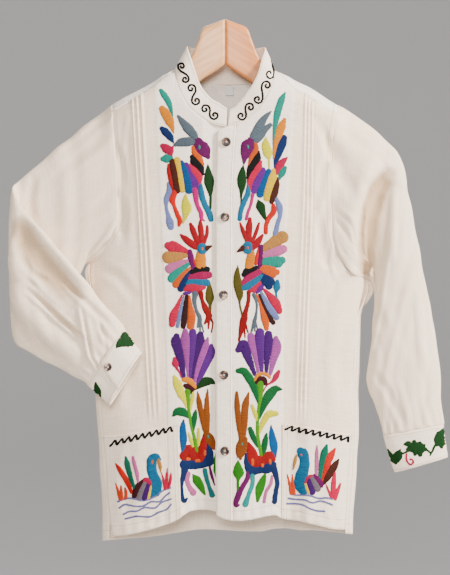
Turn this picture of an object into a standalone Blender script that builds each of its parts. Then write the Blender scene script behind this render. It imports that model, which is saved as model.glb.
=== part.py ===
"""Embroidered guayabera shirt on a wooden hanger.

Z is up, the front faces -Y, and the origin is the top centre of the hanger.
The tables give each point as it is seen from the front, in millimetres in the
hanger's plane, with its depth y beside it; placed() moves it along the line of
sight to that depth.
"""

import math

import bmesh
import bpy
import numpy as np

# Viewpoint of the seen positions, millimetres.
EYE_DISTANCE = 2000.0
EYE_HEIGHT = -295.4

# Cloth, millimetres.
WALL = 1.6
SEAM_GAP = 0.3
POCKET_WALL = 1.2
PLACKET_WALL = 1.3
LAYER_GAP = 0.35
TUCK_HEIGHT = 1.0
TUCK_FACE = 0.7
UNDERLAP_DROP = 2.3

# Rows up a panel. Levels: 0 hem, 1 vent top, 2 pocket top, 3 underarm, 4 top.
LOWER_LEVELS = [0.0, 0.28, 1.0, 1.5, 2.0, 2.25, 2.5, 2.75]
ARMHOLE_ROWS = 9
OVER_LEVELS = [4.5, 5.0]
OVER_SHARE = 0.4
VENT_SHARE = 0.34

# Outline of the body at a height: left and right edge of the silhouette, and
# the depths of the front and of the back from the middle plane.
BODY = {
    "z": [-575.0, -538.0, -498.0, -455.0, -400.0, -345.0, -300.0, -276.0, -200.0, -90.0],
    "left": [-134.0, -134.8, -137.0, -140.3, -143.0, -144.8, -146.4, -148.0, -149.0, -149.0],
    "right": [139.6, 141.0, 143.8, 147.0, 147.6, 148.8, 152.6, 155.0, 154.0, 152.0],
    "front": [31.0, 30.0, 29.0, 28.0, 28.0, 28.0, 28.0, 28.0, 29.0, 30.0],
    "back": [23.0, 22.0, 21.0, 20.0, 20.0, 21.0, 22.0, 23.0, 25.0, 28.0],
}

# Side seam: how far in from the silhouette it lies on each side.
SEAM_INSET = {
    "z": [-575.0, -530.0, -490.0, -440.0, -380.0, -320.0, -290.0, -267.0],
    "left": [7.0, 6.8, 6.6, 5.6, 4.6, 2.4, 0.9, 0.0],
    "right": [7.6, 7.0, 7.2, 7.6, 6.6, 3.2, 0.6, 0.0],
}

# Free front edge beside the vents, from hem to vent top.
VENT_EDGE = {
    "z": [-568.0, -550.0, -533.0, -526.0],
    "left": [-123.8, -126.0, -127.9, -128.4],
    "right": [131.2, 133.0, 134.6, 135.2],
}

# Heights of the side edges: hem front, hem back, vent top, pocket, underarm, shoulder.
SIDE_LEVELS = {
    "left": {"front": -568.0, "back": -573.0, "vent": -531.0, "pocket": -459.0, "arm": -267.3},
    "right": {"front": -561.5, "back": -566.0, "vent": -526.0, "pocket": -457.0, "arm": -286.0},
}

# Front hem and back hem from side to side.
FRONT_HEM = {
    "x": [-123.8, -108.0, -89.0, -66.0, -53.0, -44.0, -36.0, -28.5, -12.5, -9.5, 3.5, 13.0,
          22.0, 35.0, 45.0, 55.0, 65.0, 77.5, 91.5, 107.0, 122.0, 131.2],
    "z": [-569.5, -566.8, -563.0, -556.5, -551.0, -544.5, -540.7, -539.6, -541.2, -545.5,
          -551.0, -552.2, -551.0, -550.0, -546.7, -545.6, -550.0, -551.2, -554.5, -557.2,
          -561.0, -562.4],
}
BACK_HEM = {
    "x": [-134.0, -108.0, -89.0, -74.0, -44.0, -27.5, -10.5, 6.6, 27.5, 43.5, 57.0, 68.0,
          80.0, 96.0, 114.0, 133.0, 139.6],
    "z": [-574.0, -571.0, -569.8, -568.0, -563.2, -561.0, -561.0, -562.4, -563.2, -562.9,
          -560.0, -560.0, -562.0, -561.8, -563.2, -565.4, -567.0],
}

# Top of both pockets.
POCKET_TOP = {
    "x": [-136.0, -103.4, -72.6, -50.6, 0.0, 62.7, 147.0],
    "z": [-458.5, -455.4, -449.9, -445.5, -440.0, -445.5, -457.0],
}

# Shoulder ridge, the seam in front of it, and how broadly the ridge is rounded.
RIDGE = {
    "x": [-123.8, -99.0, -77.5, -55.5, 0.0, 55.0, 76.5, 98.0, 123.2],
    "z": [-95.2, -80.4, -68.0, -57.0, -52.0, -57.2, -67.6, -79.0, -94.6],
    "drop": [7.0, 6.2, 5.4, 0.0, 0.0, 0.0, 9.6, 10.4, 10.0],
    "round": [18.0, 20.0, 26.0, 40.0, 44.0, 40.0, 26.0, 20.0, 18.0],
}

# Neckline, front and back.
FRONT_NECK = {
    "x": [-55.5, -54.4, -52.0, -47.3, -38.5, -27.5, -14.3, 1.1, 14.6, 27.5, 37.4, 46.2,
          51.6, 54.0, 55.0],
    "z": [-57.0, -64.0, -73.0, -85.8, -98.0, -107.8, -115.2, -118.3, -114.6, -107.8, -98.0,
          -85.8, -73.0, -64.0, -57.2],
}
BACK_NECK = {
    "x": [-55.5, -53.0, -45.0, -30.0, 0.0, 30.0, 45.0, 53.0, 55.0],
    "z": [-57.0, -61.5, -67.0, -70.8, -72.6, -70.8, -67.0, -61.5, -57.2],
}

# Armhole edges at fractions of the way from underarm to shoulder.
ARMHOLE = {
    "rise": [0.0, 0.03, 0.09, 0.18, 0.30, 0.45, 0.62, 0.80, 0.92, 1.0],
    "left_front": [-148.0, -141.5, -134.0, -123.0, -117.8, -117.4, -118.6, -121.6, -123.0,
                   -123.8],
    "left_back": [-148.0, -144.5, -139.5, -131.5, -125.0, -121.5, -121.5, -122.5, -123.4,
                  -123.8],
    "right_front": [155.0, 141.0, 131.0, 122.5, 117.8, 116.9, 116.7, 117.6, 120.4, 123.2],
    "right_back": [155.0, 150.5, 145.0, 136.0, 126.5, 122.0, 121.3, 122.3, 123.0, 123.2],
}

# Lines down each front from the centre outwards: x at five heights.
GUIDE_HEIGHTS = [-560.0, -450.0, -310.0, -200.0, -85.0]
FRONT_RIGHT_GUIDES = [
    # name           hem     pocket  waist   chest   top
    ("underlap", 4.4, 4.4, 4.4, 4.4, 4.4),
    ("fold_back", -12.0, -12.4, -12.4, -12.4, -12.0),
    ("centre", -26.0, -26.0, -26.0, -26.0, -24.0),
    ("motif", -38.0, -37.0, -37.0, -35.0, -33.0),
    ("pocket", -48.4, -51.4, -48.0, -45.0, -43.0),
    ("neck_side", -51.5, -54.0, -51.5, -49.0, -51.0),
    ("neck_high", -53.7, -56.0, -55.5, -53.0, -54.4),
    ("neck_ridge", -56.0, -58.0, -60.0, -58.5, -55.5),
    ("seam_mid", -58.0, -60.0, -63.0, -65.0, -66.5),
    ("band", -60.6, -62.6, -66.6, -71.5, -77.5),
    ("tuck_foot", -68.0, -70.0, -76.5, -83.0, -89.5),
    ("tuck_1", -71.5, -73.7, -80.8, -87.2, -93.5),
    ("tuck_2", -77.0, -79.2, -86.4, -92.4, -98.6),
    ("tuck_3", -82.5, -84.2, -91.3, -96.8, -103.4),
]
FRONT_LEFT_GUIDES = [
    ("placket", 8.3, 8.0, 8.0, 8.2, 14.6),
    ("centre_a", 17.0, 16.0, 16.0, 17.0, 22.0),
    ("centre", 28.0, 27.0, 27.0, 28.0, 31.0),
    ("motif", 42.0, 41.0, 41.0, 41.0, 42.0),
    ("neck_side", 51.0, 50.0, 50.5, 49.4, 50.6),
    ("neck_high", 55.0, 54.0, 54.8, 54.4, 54.0),
    ("neck_ridge", 58.0, 57.5, 58.5, 58.0, 55.0),
    ("seam_mid", 60.0, 60.0, 61.0, 63.5, 65.8),
    ("band", 62.4, 62.8, 64.4, 69.0, 76.5),
    ("tuck_foot", 73.0, 73.0, 76.5, 82.0, 86.0),
    ("tuck_1", 78.5, 79.5, 83.0, 87.4, 89.5),
    ("tuck_2", 83.5, 84.0, 87.8, 91.4, 93.2),
    ("tuck_3", 88.0, 88.4, 92.0, 95.8, 97.0),
]
SIDE_FRACTIONS = [0.36, 0.70, 1.0]
MIDDLE_ARM = -276.5

# Flutes of the front near the hem: centre, half width, depth (positive goes back).
FLUTES = [
    # x       half   depth
    (-30.0, 24.0, 9.0),
    (70.0, 24.0, 8.0),
    (18.0, 26.0, -3.5),
    (-100.0, 34.0, -3.0),
    (118.0, 24.0, -2.5),
]
BACK_FLUTES = [
    (-62.0, 26.0, 4.0),
    (-4.0, 30.0, -4.5),
    (58.0, 24.0, 4.5),
    (96.0, 22.0, -3.0),
]
FLUTE_REACH = 330.0

# Broad folds of the chest: from, to, half width, depth.
CHEST_FOLDS = [
    # x0      z0      x1      z1      half   depth
    (103.0, -112.0, 117.0, -150.0, 8.0, 4.0),
    (96.0, -196.0, 112.0, -268.0, 9.0, 2.5),
    (-108.0, -120.0, -113.0, -230.0, 9.0, 2.0),
]

# Back panel: each column's share of the way to the side seam, and where it ends above.
BACK_COLUMNS = [
    # share  left    right at the neckline or the shoulder seam
    (0.0, 0.0, 0.0),
    (0.08, -17.0, 17.0),
    (0.145, -31.0, 31.0),
    (0.20, -44.0, 44.0),
    (0.235, -52.0, 52.0),
    (0.26, -55.5, 55.0),
    (0.33, -66.5, 65.8),
    (0.40, -77.5, 76.5),
    (0.49, -89.5, 86.0),
    (0.58, -98.6, 93.2),
    (0.70, -110.75, 106.43),
    (0.84, -117.68, 115.34),
    (0.93, -121.2, 119.8),
    (1.0, -123.8, 123.2),
]
NECK_COLUMN = 5
BACK_NECK_LOW = -72.0
NECK_CLIMB = [0.94, 0.94, 0.945, 0.955, 0.965, 0.984]

# Sleeves, section by section from the armhole: top end, bottom end, depth of the
# middle, half thickness, turn about the elbow fold in degrees.
SLEEVE_RIGHT = [
    # ax      az      bx      bz      y      half  turn
    (-134.5, -102.6, -153.6, -270.8, 0.0, 16.5, 0.0),
    (-150.0, -114.0, -158.0, -279.0, -0.5, 15.5, 0.0),
    (-168.0, -128.0, -166.0, -291.5, -1.0, 14.0, 0.0),
    (-187.0, -143.8, -179.0, -305.5, -1.5, 12.0, 0.0),
    (-204.0, -158.5, -196.0, -322.0, -2.0, 9.5, 0.0),
    (-216.5, -169.0, -211.0, -336.5, -2.0, 7.5, 0.0),
    (-224.6, -176.0, -222.0, -346.0, -2.0, 6.4, 0.0),
    (-229.0, -180.0, -226.0, -350.0, -2.0, 6.2, 30.0),
    (-232.4, -183.0, -229.5, -353.0, -2.0, 6.2, 60.0),
    (-233.6, -186.0, -231.0, -355.4, -2.0, 6.2, 90.0),
    (-232.4, -190.5, -229.5, -358.0, -2.0, 6.2, 120.0),
    (-229.0, -197.5, -226.0, -361.0, -2.0, 6.4, 150.0),
    (-224.6, -204.6, -221.0, -363.5, -20.0, 6.8, 180.0),
    (-209.0, -223.5, -210.5, -370.0, -22.0, 7.4, 180.0),
    (-190.5, -245.0, -196.0, -378.0, -24.5, 8.2, 180.0),
    (-170.5, -268.5, -183.5, -384.5, -27.5, 9.2, 180.0),
    (-150.5, -292.0, -173.0, -390.0, -30.5, 10.0, 180.0),
    (-132.0, -314.0, -163.5, -395.0, -33.5, 10.4, 180.0),
    (-119.0, -329.5, -157.0, -398.5, -36.0, 10.2, 180.0),
    (-110.5, -339.6, -152.4, -402.0, -37.5, 9.2, 180.0),
]
CUFF_RIGHT = [
    (-110.2, -340.0, -152.2, -402.2, -37.6, 9.4, 180.0),
    (-103.5, -350.5, -144.0, -410.0, -38.2, 9.4, 180.0),
    (-97.5, -359.5, -136.0, -417.5, -38.8, 9.2, 180.0),
    (-91.3, -367.4, -127.6, -425.2, -39.4, 9.0, 180.0),
]
FOLD_RADIUS = 9.0

SLEEVE_LEFT = [
    (131.5, -98.5, 160.2, -289.4, 0.0, 16.5, 0.0),
    (145.0, -107.5, 162.8, -295.0, 0.0, 16.5, 0.0),
    (160.5, -119.3, 164.2, -301.5, -0.5, 16.0, 0.0),
    (176.0, -132.0, 164.5, -308.0, -1.0, 15.0, 0.0),
    (188.5, -144.5, 164.5, -314.5, -1.5, 14.0, 0.0),
    (195.5, -159.5, 164.0, -322.0, -2.0, 13.5, 0.0),
    (200.3, -182.6, 163.0, -331.0, -2.5, 13.0, 0.0),
    (205.2, -210.0, 161.7, -342.0, -3.0, 12.5, 0.0),
    (212.9, -248.5, 160.0, -359.7, -3.5, 12.0, 0.0),
    (220.0, -286.0, 157.8, -378.5, -4.0, 12.0, 0.0),
    (227.0, -322.3, 156.0, -398.2, -4.5, 12.0, 0.0),
    (232.7, -354.2, 158.0, -411.5, -5.0, 12.0, 0.0),
    (236.3, -386.0, 162.8, -421.0, -5.5, 12.0, 0.0),
    (238.0, -419.0, 168.0, -434.5, -6.0, 11.5, 0.0),
    (240.3, -446.2, 174.0, -458.4, -6.5, 10.0, 0.0),
]
CUFF_LEFT = [
    (240.5, -446.8, 174.2, -459.0, -6.5, 10.2, 0.0),
    (241.8, -458.0, 177.8, -473.0, -6.8, 10.0, 0.0),
    (243.6, -469.5, 181.6, -486.0, -7.1, 9.8, 0.0),
    (245.4, -481.5, 186.4, -498.4, -7.4, 9.6, 0.0),
]
SLEEVE_FACE_STEPS = 11
SLEEVE_BACK_STEPS = 9
ARMHOLE_CARRY = [0.7, 0.4, 0.18, 0.05]

# Deep fold down the front of the hanging sleeve, seen position and depth.
SLEEVE_LEFT_FOLD = [
    # x      z       half  depth
    (186.0, -162.0, 7.0, 0.0),
    (175.5, -173.0, 8.0, 4.0),
    (159.0, -210.0, 10.0, 7.0),
    (156.0, -250.0, 10.0, 7.0),
    (157.0, -284.0, 9.0, 4.0),
]

# Cuffs, in degrees from the top end by way of the first face: the strip starts
# under the lap and ends on it; the lap rises between two angles. The free end of
# the buttoned face draws back by draw. The button: share down the cuff, angle.
CUFF_LAP = {
    "right": {"start": 290.0, "seam_end": -105.0, "free_end": -119.0, "draw": 3.0},
    "left": {"start": 290.0, "seam_end": -105.0, "free_end": -112.0, "draw": 1.0},
}
CUFF_STEPS = 34
CUFF_LAP_LIFT = 2.1
CUFF_LAP_RISE = (-46.0, -66.0)
CUFF_BUTTON_PLACE = (0.27, -99.4)

# Stand collar: top edge opposite each point of the neckline.
COLLAR_TOP_FRONT = [
    # neck   x      z      lean back
    (1.1, 1.6, -98.4, 3.5),
    (-12.0, -6.0, -93.0, 4.0),
    (-24.0, -14.3, -88.4, 4.5),
    (-33.0, -20.9, -81.6, 5.0),
    (-43.0, -27.0, -73.0, 5.5),
    (-51.0, -32.4, -59.0, 6.0),
    (-54.4, -37.6, -43.5, 5.0),
]
COLLAR_TOP_LEFT = [
    (54.0, 40.5, -45.0, 5.0),
    (50.6, 36.6, -59.0, 6.0),
    (42.0, 31.5, -70.0, 5.5),
    (31.0, 24.0, -80.5, 5.0),
    (22.0, 17.0, -90.0, 4.5),
    (14.6, 11.0, -96.5, 4.0),
    (3.0, 5.5, -100.0, 3.5),
]
COLLAR_TOP_BACK = {
    "base": [-55.5, -53.0, -45.0, -30.0, 0.0, 30.0, 45.0, 53.0, 55.0],
    "x": [-41.8, -39.6, -33.0, -21.0, 0.0, 21.0, 33.5, 41.6, 44.6],
    "y": [0.0, 8.0, 15.0, 19.0, 21.0, 19.0, 15.0, 8.0, 0.0],
    "z": [-30.3, -31.0, -33.2, -37.6, -42.4, -37.6, -33.6, -32.0, -31.9],
}
COLLAR_ROWS = 4

# Placket strip: its left edge; the right one follows the left front.
PLACKET = {
    "z": [-560.0, -450.0, -310.0, -200.0, -125.0],
    "left": [-9.4, -10.2, -10.4, -10.2, -8.8],
}
PLACKET_TOP_LEFT = -124.3
PLACKET_CORNER = (-8.8, 10.0)
PLACKET_TOP_GAP = 0.6

# Buttons: seen centre on the placket.
BUTTON_CENTRES = [(1.4, -135.3), (0.0, -217.8), (-1.6, -303.6), (-1.1, -391.6), (0.0, -475.2)]
BUTTON_RADIUS = 5.0
BUTTON_THICKNESS = 2.2
BUTTON_SIDES = 20
BUTTON_PROFILE = [
    # radius share, height share
    (0.86, 0.0),
    (1.0, 0.28),
    (1.0, 0.62),
    (0.88, 1.0),
    (0.66, 1.0),
    (0.56, 0.74),
]
CUFF_BUTTON_RADIUS = 4.4

# Label inside the back neck.
LABEL_BOX = (0.8, 9.2, -84.0, -74.6)
LABEL_WALL = 1.0

# Hanger, one half from the middle outwards: distance, top, bottom, depth, half thickness.
HANGER_SECTIONS = [
    # x      top     bottom  y     half
    (0.15, 0.0, -50.6, 0.0, 8.5),
    (12.0, -4.6, -58.6, 0.0, 8.5),
    (24.2, -9.9, -66.4, 0.0, 8.2),
    (30.0, -24.0, -70.6, 0.0, 7.8),
    (37.4, -42.0, -76.0, 0.0, 7.2),
    (46.0, -54.0, -81.4, 0.0, 6.4),
    (56.0, -64.5, -86.6, -0.6, 6.0),
    (80.0, -76.5, -97.0, -2.0, 5.6),
    (104.0, -89.5, -106.5, -3.4, 5.2),
    (116.0, -97.6, -109.0, -4.0, 4.4),
]
HANGER_CHAMFER = 0.3

CLOTH_COLOURS = {
    "front_right": (0.80, 0.71, 0.66),
    "front_left": (0.80, 0.71, 0.66),
    "back": (0.76, 0.67, 0.61),
    "sleeve_right": (0.80, 0.71, 0.64),
    "sleeve_left": (0.80, 0.71, 0.64),
    "cuff_right": (0.82, 0.73, 0.66),
    "cuff_left": (0.82, 0.73, 0.66),
    "collar_band": (0.84, 0.76, 0.69),
    "button_placket": (0.85, 0.77, 0.70),
    "pocket_right": (0.82, 0.73, 0.67),
    "pocket_left": (0.82, 0.73, 0.67),
}
BUTTON_COLOUR = (0.10, 0.07, 0.06)
LABEL_COLOUR = (0.88, 0.86, 0.86)
WOOD_COLOURS = {"hanger_right_half": (0.78, 0.55, 0.37), "hanger_left_half": (0.72, 0.44, 0.25)}


def curve(xs, ys, x):
    """Smooth curve through a table's points that never overshoots them."""
    xs = np.asarray(xs, float)
    ys = np.asarray(ys, float)
    x = np.clip(np.asarray(x, float), xs[0], xs[-1])
    step = np.diff(xs)
    slope = np.diff(ys) / step
    tangent = np.zeros_like(ys)
    tangent[0] = slope[0]
    tangent[-1] = slope[-1]
    for i in range(1, len(xs) - 1):
        if slope[i - 1] * slope[i] > 0:
            near = 2 * step[i] + step[i - 1]
            far = step[i] + 2 * step[i - 1]
            tangent[i] = (near + far) / (near / slope[i - 1] + far / slope[i])
    k = np.clip(np.searchsorted(xs, x, side="right") - 1, 0, len(xs) - 2)
    t = (x - xs[k]) / step[k]
    low = (1 + 2 * t) * (1 - t) ** 2 * ys[k] + t * (1 - t) ** 2 * step[k] * tangent[k]
    high = t * t * (3 - 2 * t) * ys[k + 1] + t * t * (t - 1) * step[k] * tangent[k + 1]
    return low + high


def line(xs, ys, x):
    """Straight lines through a table's points."""
    return np.interp(x, xs, ys)


def column(table, key, value, name):
    return float(curve(table[key], table[name], value))


def placed(x, y, z):
    """World point of a seen position at depth y."""
    k = 1.0 + y / EYE_DISTANCE
    return np.array([x * k, y, EYE_HEIGHT + (z - EYE_HEIGHT) * k])


def bump(distance, half):
    """1 in the middle, 0 beyond half, smooth between."""
    t = abs(distance) / half
    if t >= 1.0:
        return 0.0
    return (1.0 - t * t) ** 2


def near_segment(x, z, x0, z0, x1, z1):
    """Distance to a segment and the share of the way along it."""
    dx = x1 - x0
    dz = z1 - z0
    share = max(0.0, min(1.0, ((x - x0) * dx + (z - z0) * dz) / (dx * dx + dz * dz)))
    return math.hypot(x - x0 - share * dx, z - z0 - share * dz), share


def body_middle(z):
    return 0.5 * (column(BODY, "z", z, "left") + column(BODY, "z", z, "right"))


def body_half(z):
    return 0.5 * (column(BODY, "z", z, "right") - column(BODY, "z", z, "left"))


def side_share(x, z):
    """Position across the body: -1 at the left silhouette, 1 at the right."""
    return max(-1.0, min(1.0, (x - body_middle(z)) / body_half(z)))


def ridge_rounding(x, z):
    """0 at the shoulder ridge, rising to 1 well below it."""
    below = column(RIDGE, "x", x, "z") - z
    reach = column(RIDGE, "x", x, "round")
    share = max(0.0, min(1.0, below / reach))
    return math.sqrt(1.0 - (1.0 - share) ** 2)


def flute_depth(flutes, x, z, hem):
    fade = max(0.0, 1.0 - max(0.0, z - hem) / FLUTE_REACH) ** 2
    return fade * sum(depth * bump(x - centre, half) for centre, half, depth in flutes)


def front_depth(x, z):
    """Depth of the front's outer surface at a seen position."""
    share = side_share(x, z)
    full = column(BODY, "z", z, "front") * math.sqrt(1.0 - share * share)
    y = -full * ridge_rounding(x, z) + flute_depth(FLUTES, x, z, -560.0)
    for x0, z0, x1, z1, half, depth in CHEST_FOLDS:
        distance, along = near_segment(x, z, x0, z0, x1, z1)
        y += depth * bump(distance, half) * (0.4 + 0.6 * along)
    return y


def back_depth(x, z):
    share = side_share(x, z)
    full = column(BODY, "z", z, "back") * math.sqrt(1.0 - share * share)
    return full * ridge_rounding(x, z) + flute_depth(BACK_FLUTES, x, z, -565.0)


def armhole_rises():
    """Shares of the armhole's height, closer together at both ends."""
    return [0.5 * (1 - math.cos(math.pi * i / ARMHOLE_ROWS)) for i in range(ARMHOLE_ROWS + 1)]


def panel_levels(over):
    levels = LOWER_LEVELS + [3.0 + rise for rise in armhole_rises()]
    return levels + OVER_LEVELS if over else levels


def side_height(side, which, level):
    """Height of a side edge at a level up to the underarm."""
    heights = SIDE_LEVELS[side]
    anchors = [heights[which], heights["vent"], heights["pocket"], heights["arm"]]
    return float(line([0, 1, 2, 3], anchors, level))


def inner_height(x, hem, top, level):
    """Height of a level on a column away from the side edges."""
    pocket = column(POCKET_TOP, "x", x, "z")
    vent = hem + VENT_SHARE * (pocket - hem)
    arm = float(line([-148.0, 155.0], [SIDE_LEVELS["left"]["arm"], SIDE_LEVELS["right"]["arm"]], x))
    return float(line([0, 1, 2, 3, 4], [hem, vent, pocket, arm, top], level))


def seam_drop(x):
    """How far below the ridge the shoulder seam lies, straight between its points."""
    return float(line(RIDGE["x"], RIDGE["drop"], x))


def front_top(x):
    """Top of a front column: the neckline, or the seam before the shoulder ridge."""
    if FRONT_NECK["x"][0] < x < FRONT_NECK["x"][-1]:
        return column(FRONT_NECK, "x", x, "z")
    return column(RIDGE, "x", x, "z") - seam_drop(x)


def front_edge(side, level):
    """Seen position of the front's outer edge at a level."""
    if level >= 3.0:
        x = column(ARMHOLE, "rise", level - 3.0, side + "_front")
        arm = SIDE_LEVELS[side]["arm"]
        top = front_top(RIDGE["x"][0] if side == "left" else RIDGE["x"][-1])
        return x, arm + (top - arm) * (level - 3.0)
    z = side_height(side, "front", level)
    if level < 1.0:
        return column(VENT_EDGE, "z", z, side), z
    inset = column(SEAM_INSET, "z", z, side)
    edge = column(BODY, "z", z, side)
    return (edge + inset if side == "left" else edge - inset), z


class Grid:
    """Rows and columns of outer points with the way out at each of them."""

    def __init__(self, name, points, outwards, wall=WALL, ring=False, lift=None, shift=None):
        self.name = name
        self.points = np.array(points, float)
        self.wall = wall
        self.ring = ring
        self.normals = self.find_normals(outwards)
        flat = np.zeros(self.points.shape[:2])
        self.lift = flat if lift is None else np.array(lift, float)
        self.shift = flat if shift is None else np.array(shift, float)
        self.pulls = []

    def find_normals(self, outwards):
        p = self.points
        if self.ring:
            across = np.roll(p, -1, axis=1) - np.roll(p, 1, axis=1)
        else:
            across = np.gradient(p, axis=1)
        along = np.gradient(p, axis=0)
        normals = np.cross(across, along)
        length = np.linalg.norm(normals, axis=2, keepdims=True)
        normals = normals / np.maximum(length, 1e-9)
        middle = normals[normals.shape[0] // 2, normals.shape[1] // 2]
        if np.dot(middle, outwards(p)) < 0:
            normals = -normals
        return normals

    def pull_in(self, side):
        """Mark an edge as a seam whose points draw back by half the gap."""
        self.pulls.append(side)

    def drawn_points(self):
        p = self.points.copy()
        for side in self.pulls:
            edge, inner = {
                "first_row": (np.s_[0, :], np.s_[1, :]),
                "last_row": (np.s_[-1, :], np.s_[-2, :]),
                "first_column": (np.s_[:, 0], np.s_[:, 1]),
                "last_column": (np.s_[:, -1], np.s_[:, -2]),
            }[side]
            way = self.points[inner] - self.points[edge]
            run = np.gradient(self.points[edge], axis=0)
            run = run / np.linalg.norm(run, axis=1, keepdims=True)
            way = way - run * np.sum(way * run, axis=1, keepdims=True)
            way = way / np.linalg.norm(way, axis=1, keepdims=True)
            p[edge] = p[edge] + way * SEAM_GAP * 0.5
        return p


def weld_normals(grids):
    """Give grid points that share a place the same way out."""
    sums = {}
    for grid in grids:
        for index in np.ndindex(grid.points.shape[:2]):
            key = tuple(np.round(grid.points[index], 2))
            sums.setdefault(key, np.zeros(3))
            sums[key] += grid.normals[index]
    for grid in grids:
        for index in np.ndindex(grid.points.shape[:2]):
            key = tuple(np.round(grid.points[index], 2))
            total = sums[key]
            size = np.linalg.norm(total)
            if size > 0.3:
                grid.normals[index] = total / size


def seen(point):
    """Seen position of a world point."""
    k = 1.0 + point[1] / EYE_DISTANCE
    return point[0] / k, EYE_HEIGHT + (point[2] - EYE_HEIGHT) / k


def front_normal(x, z, step=0.6):
    """Way out of the front's smooth surface at a seen position."""
    east = placed(x + step, front_depth(x + step, z), z)
    west = placed(x - step, front_depth(x - step, z), z)
    above = placed(x, front_depth(x, z + step), z + step)
    below = placed(x, front_depth(x, z - step), z - step)
    normal = np.cross(east - west, above - below)
    normal = normal / np.linalg.norm(normal)
    return normal if normal[1] < 0 else -normal


def smooth_shoulder_seam(grid):
    """Take the way out along the shoulder seam from the surface both panels follow."""
    for j in range(1, grid.points.shape[1] - 1):
        x, z = seen(grid.points[-1, j])
        if x < RIDGE["x"][3] - 1.0 or x > RIDGE["x"][5] + 1.0:
            grid.normals[-1, j] = front_normal(x, z)


def shell(grid, base=0.0):
    """Vertices and faces of a closed wall between two offsets of a grid."""
    p = grid.drawn_points()
    rows, columns = p.shape[:2]
    level = base + grid.shift[:, :, None]
    outer = p + grid.normals * (level + grid.lift[:, :, None])
    inner = p + grid.normals * (level - grid.wall)
    vertices = np.concatenate([outer.reshape(-1, 3), inner.reshape(-1, 3)])
    count = rows * columns

    def at(row, col):
        return row * columns + col % columns

    def rim(a, b):
        """Wall along an edge, cut the same way in both pieces that meet there."""
        first = tuple(np.round(grid.points.reshape(-1, 3)[a], 2))
        other = tuple(np.round(grid.points.reshape(-1, 3)[b], 2))
        if first < other:
            return [(a, b, count + b), (a, count + b, count + a)]
        return [(a, b, count + a), (b, count + b, count + a)]

    faces = []
    across = columns if grid.ring else columns - 1
    for i in range(rows - 1):
        for j in range(across):
            quad = (at(i, j), at(i, j + 1), at(i + 1, j + 1), at(i + 1, j))
            faces.append(quad)
            faces.append(tuple(count + k for k in reversed(quad)))
    for j in range(across):
        faces += rim(at(0, j + 1), at(0, j))
        faces += rim(at(rows - 1, j), at(rows - 1, j + 1))
    if not grid.ring:
        for i in range(rows - 1):
            faces += rim(at(i, 0), at(i + 1, 0))
            faces += rim(at(i + 1, columns - 1), at(i, columns - 1))
    return vertices, faces


def material(name, colour, roughness):
    made = bpy.data.materials.new(name)
    made.use_nodes = True
    shader = made.node_tree.nodes["Principled BSDF"]
    shader.inputs["Base Color"].default_value = (*colour, 1.0)
    shader.inputs["Roughness"].default_value = roughness
    made.diffuse_color = (*colour, 1.0)
    return made


def add_object(collection, name, vertices, faces, colour, roughness=0.85, smooth=True):
    mesh = bpy.data.meshes.new(name)
    mesh.from_pydata([tuple(v * 0.001) for v in vertices], [], faces)
    work = bmesh.new()
    work.from_mesh(mesh)
    bmesh.ops.recalc_face_normals(work, faces=work.faces)
    work.to_mesh(mesh)
    work.free()
    mesh.materials.append(material(name, colour, roughness))
    for polygon in mesh.polygons:
        polygon.use_smooth = smooth
    made = bpy.data.objects.new(name, mesh)
    collection.objects.link(made)
    return made


def guide_x(guide, z):
    return float(curve(GUIDE_HEIGHTS, guide[1:], z))


def front_columns(guides, outward):
    """Columns of a front: guide, shift of x and raise, with two to each tuck."""
    columns = []
    for guide in guides:
        if guide[0].startswith("tuck_") and guide[0] != "tuck_foot":
            columns.append((guide, -outward * TUCK_FACE, TUCK_HEIGHT))
        columns.append((guide, 0.0, 0.0))
    return columns


def front_grid(name, side, guides):
    """A front panel from the centre outwards."""
    outward = -1.0 if side == "left" else 1.0
    columns = front_columns(guides, outward)
    points = []
    lifts = []
    shifts = []
    for level in panel_levels(False):
        edge_x, edge_z = front_edge(side, level)
        row = []
        lift = []
        shift_row = []
        last_x = 0.0
        for guide, shift, height in columns:
            x = guide[-1]
            top = front_top(x + shift)
            for _ in range(2):
                z = inner_height(x, column(FRONT_HEM, "x", x, "z"), top, level)
                x = guide_x(guide, z) + shift
            if level == 4.0:
                x = guide[-1] + shift
                z = top
            row.append(placed(x, front_depth(x, z), z))
            under = guide[0] in ("underlap", "fold_back")
            fade = min(1.0, max(0.0, (level - 2.0) / 0.25))
            lift.append(height * fade)
            shift_row.append(-UNDERLAP_DROP if under else 0.0)
            last_x = x
        for share in SIDE_FRACTIONS:
            x = last_x + (edge_x - last_x) * share
            top = front_top(guides[-1][-1] + (RIDGE["x"][0 if side == "left" else -1]
                                              - guides[-1][-1]) * share)
            z_in = inner_height(x, column(FRONT_HEM, "x", x, "z"), top, level)
            pull = share ** 2 * min(1.0, 4.0 - level)
            z = edge_z if share == 1.0 else z_in + (edge_z - z_in) * pull
            row.append(placed(x, front_depth(x, z), z))
            lift.append(0.0)
            shift_row.append(0.0)
        points.append(row)
        lifts.append(lift)
        shifts.append(shift_row)
    grid = Grid(name, points, lambda p: (0.0, -1.0, 0.0), lift=lifts, shift=shifts)
    for edge in ("last_row", "last_column"):
        grid.pull_in(edge)
    return grid


def back_edge(side, level):
    """Share across at the back's side edge: x, z and the angle past the silhouette."""
    if level >= 3.0:
        rise = min(1.0, level - 3.0)
        x = column(ARMHOLE, "rise", rise, side + "_back")
        return x, 0.0
    z = side_height(side, "back", level)
    edge = column(BODY, "z", z, side)
    inset = column(SEAM_INSET, "z", z, side)
    x = edge + inset if side == "left" else edge - inset
    return x, math.acos(min(1.0, abs(side_share(x, z))))


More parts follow.
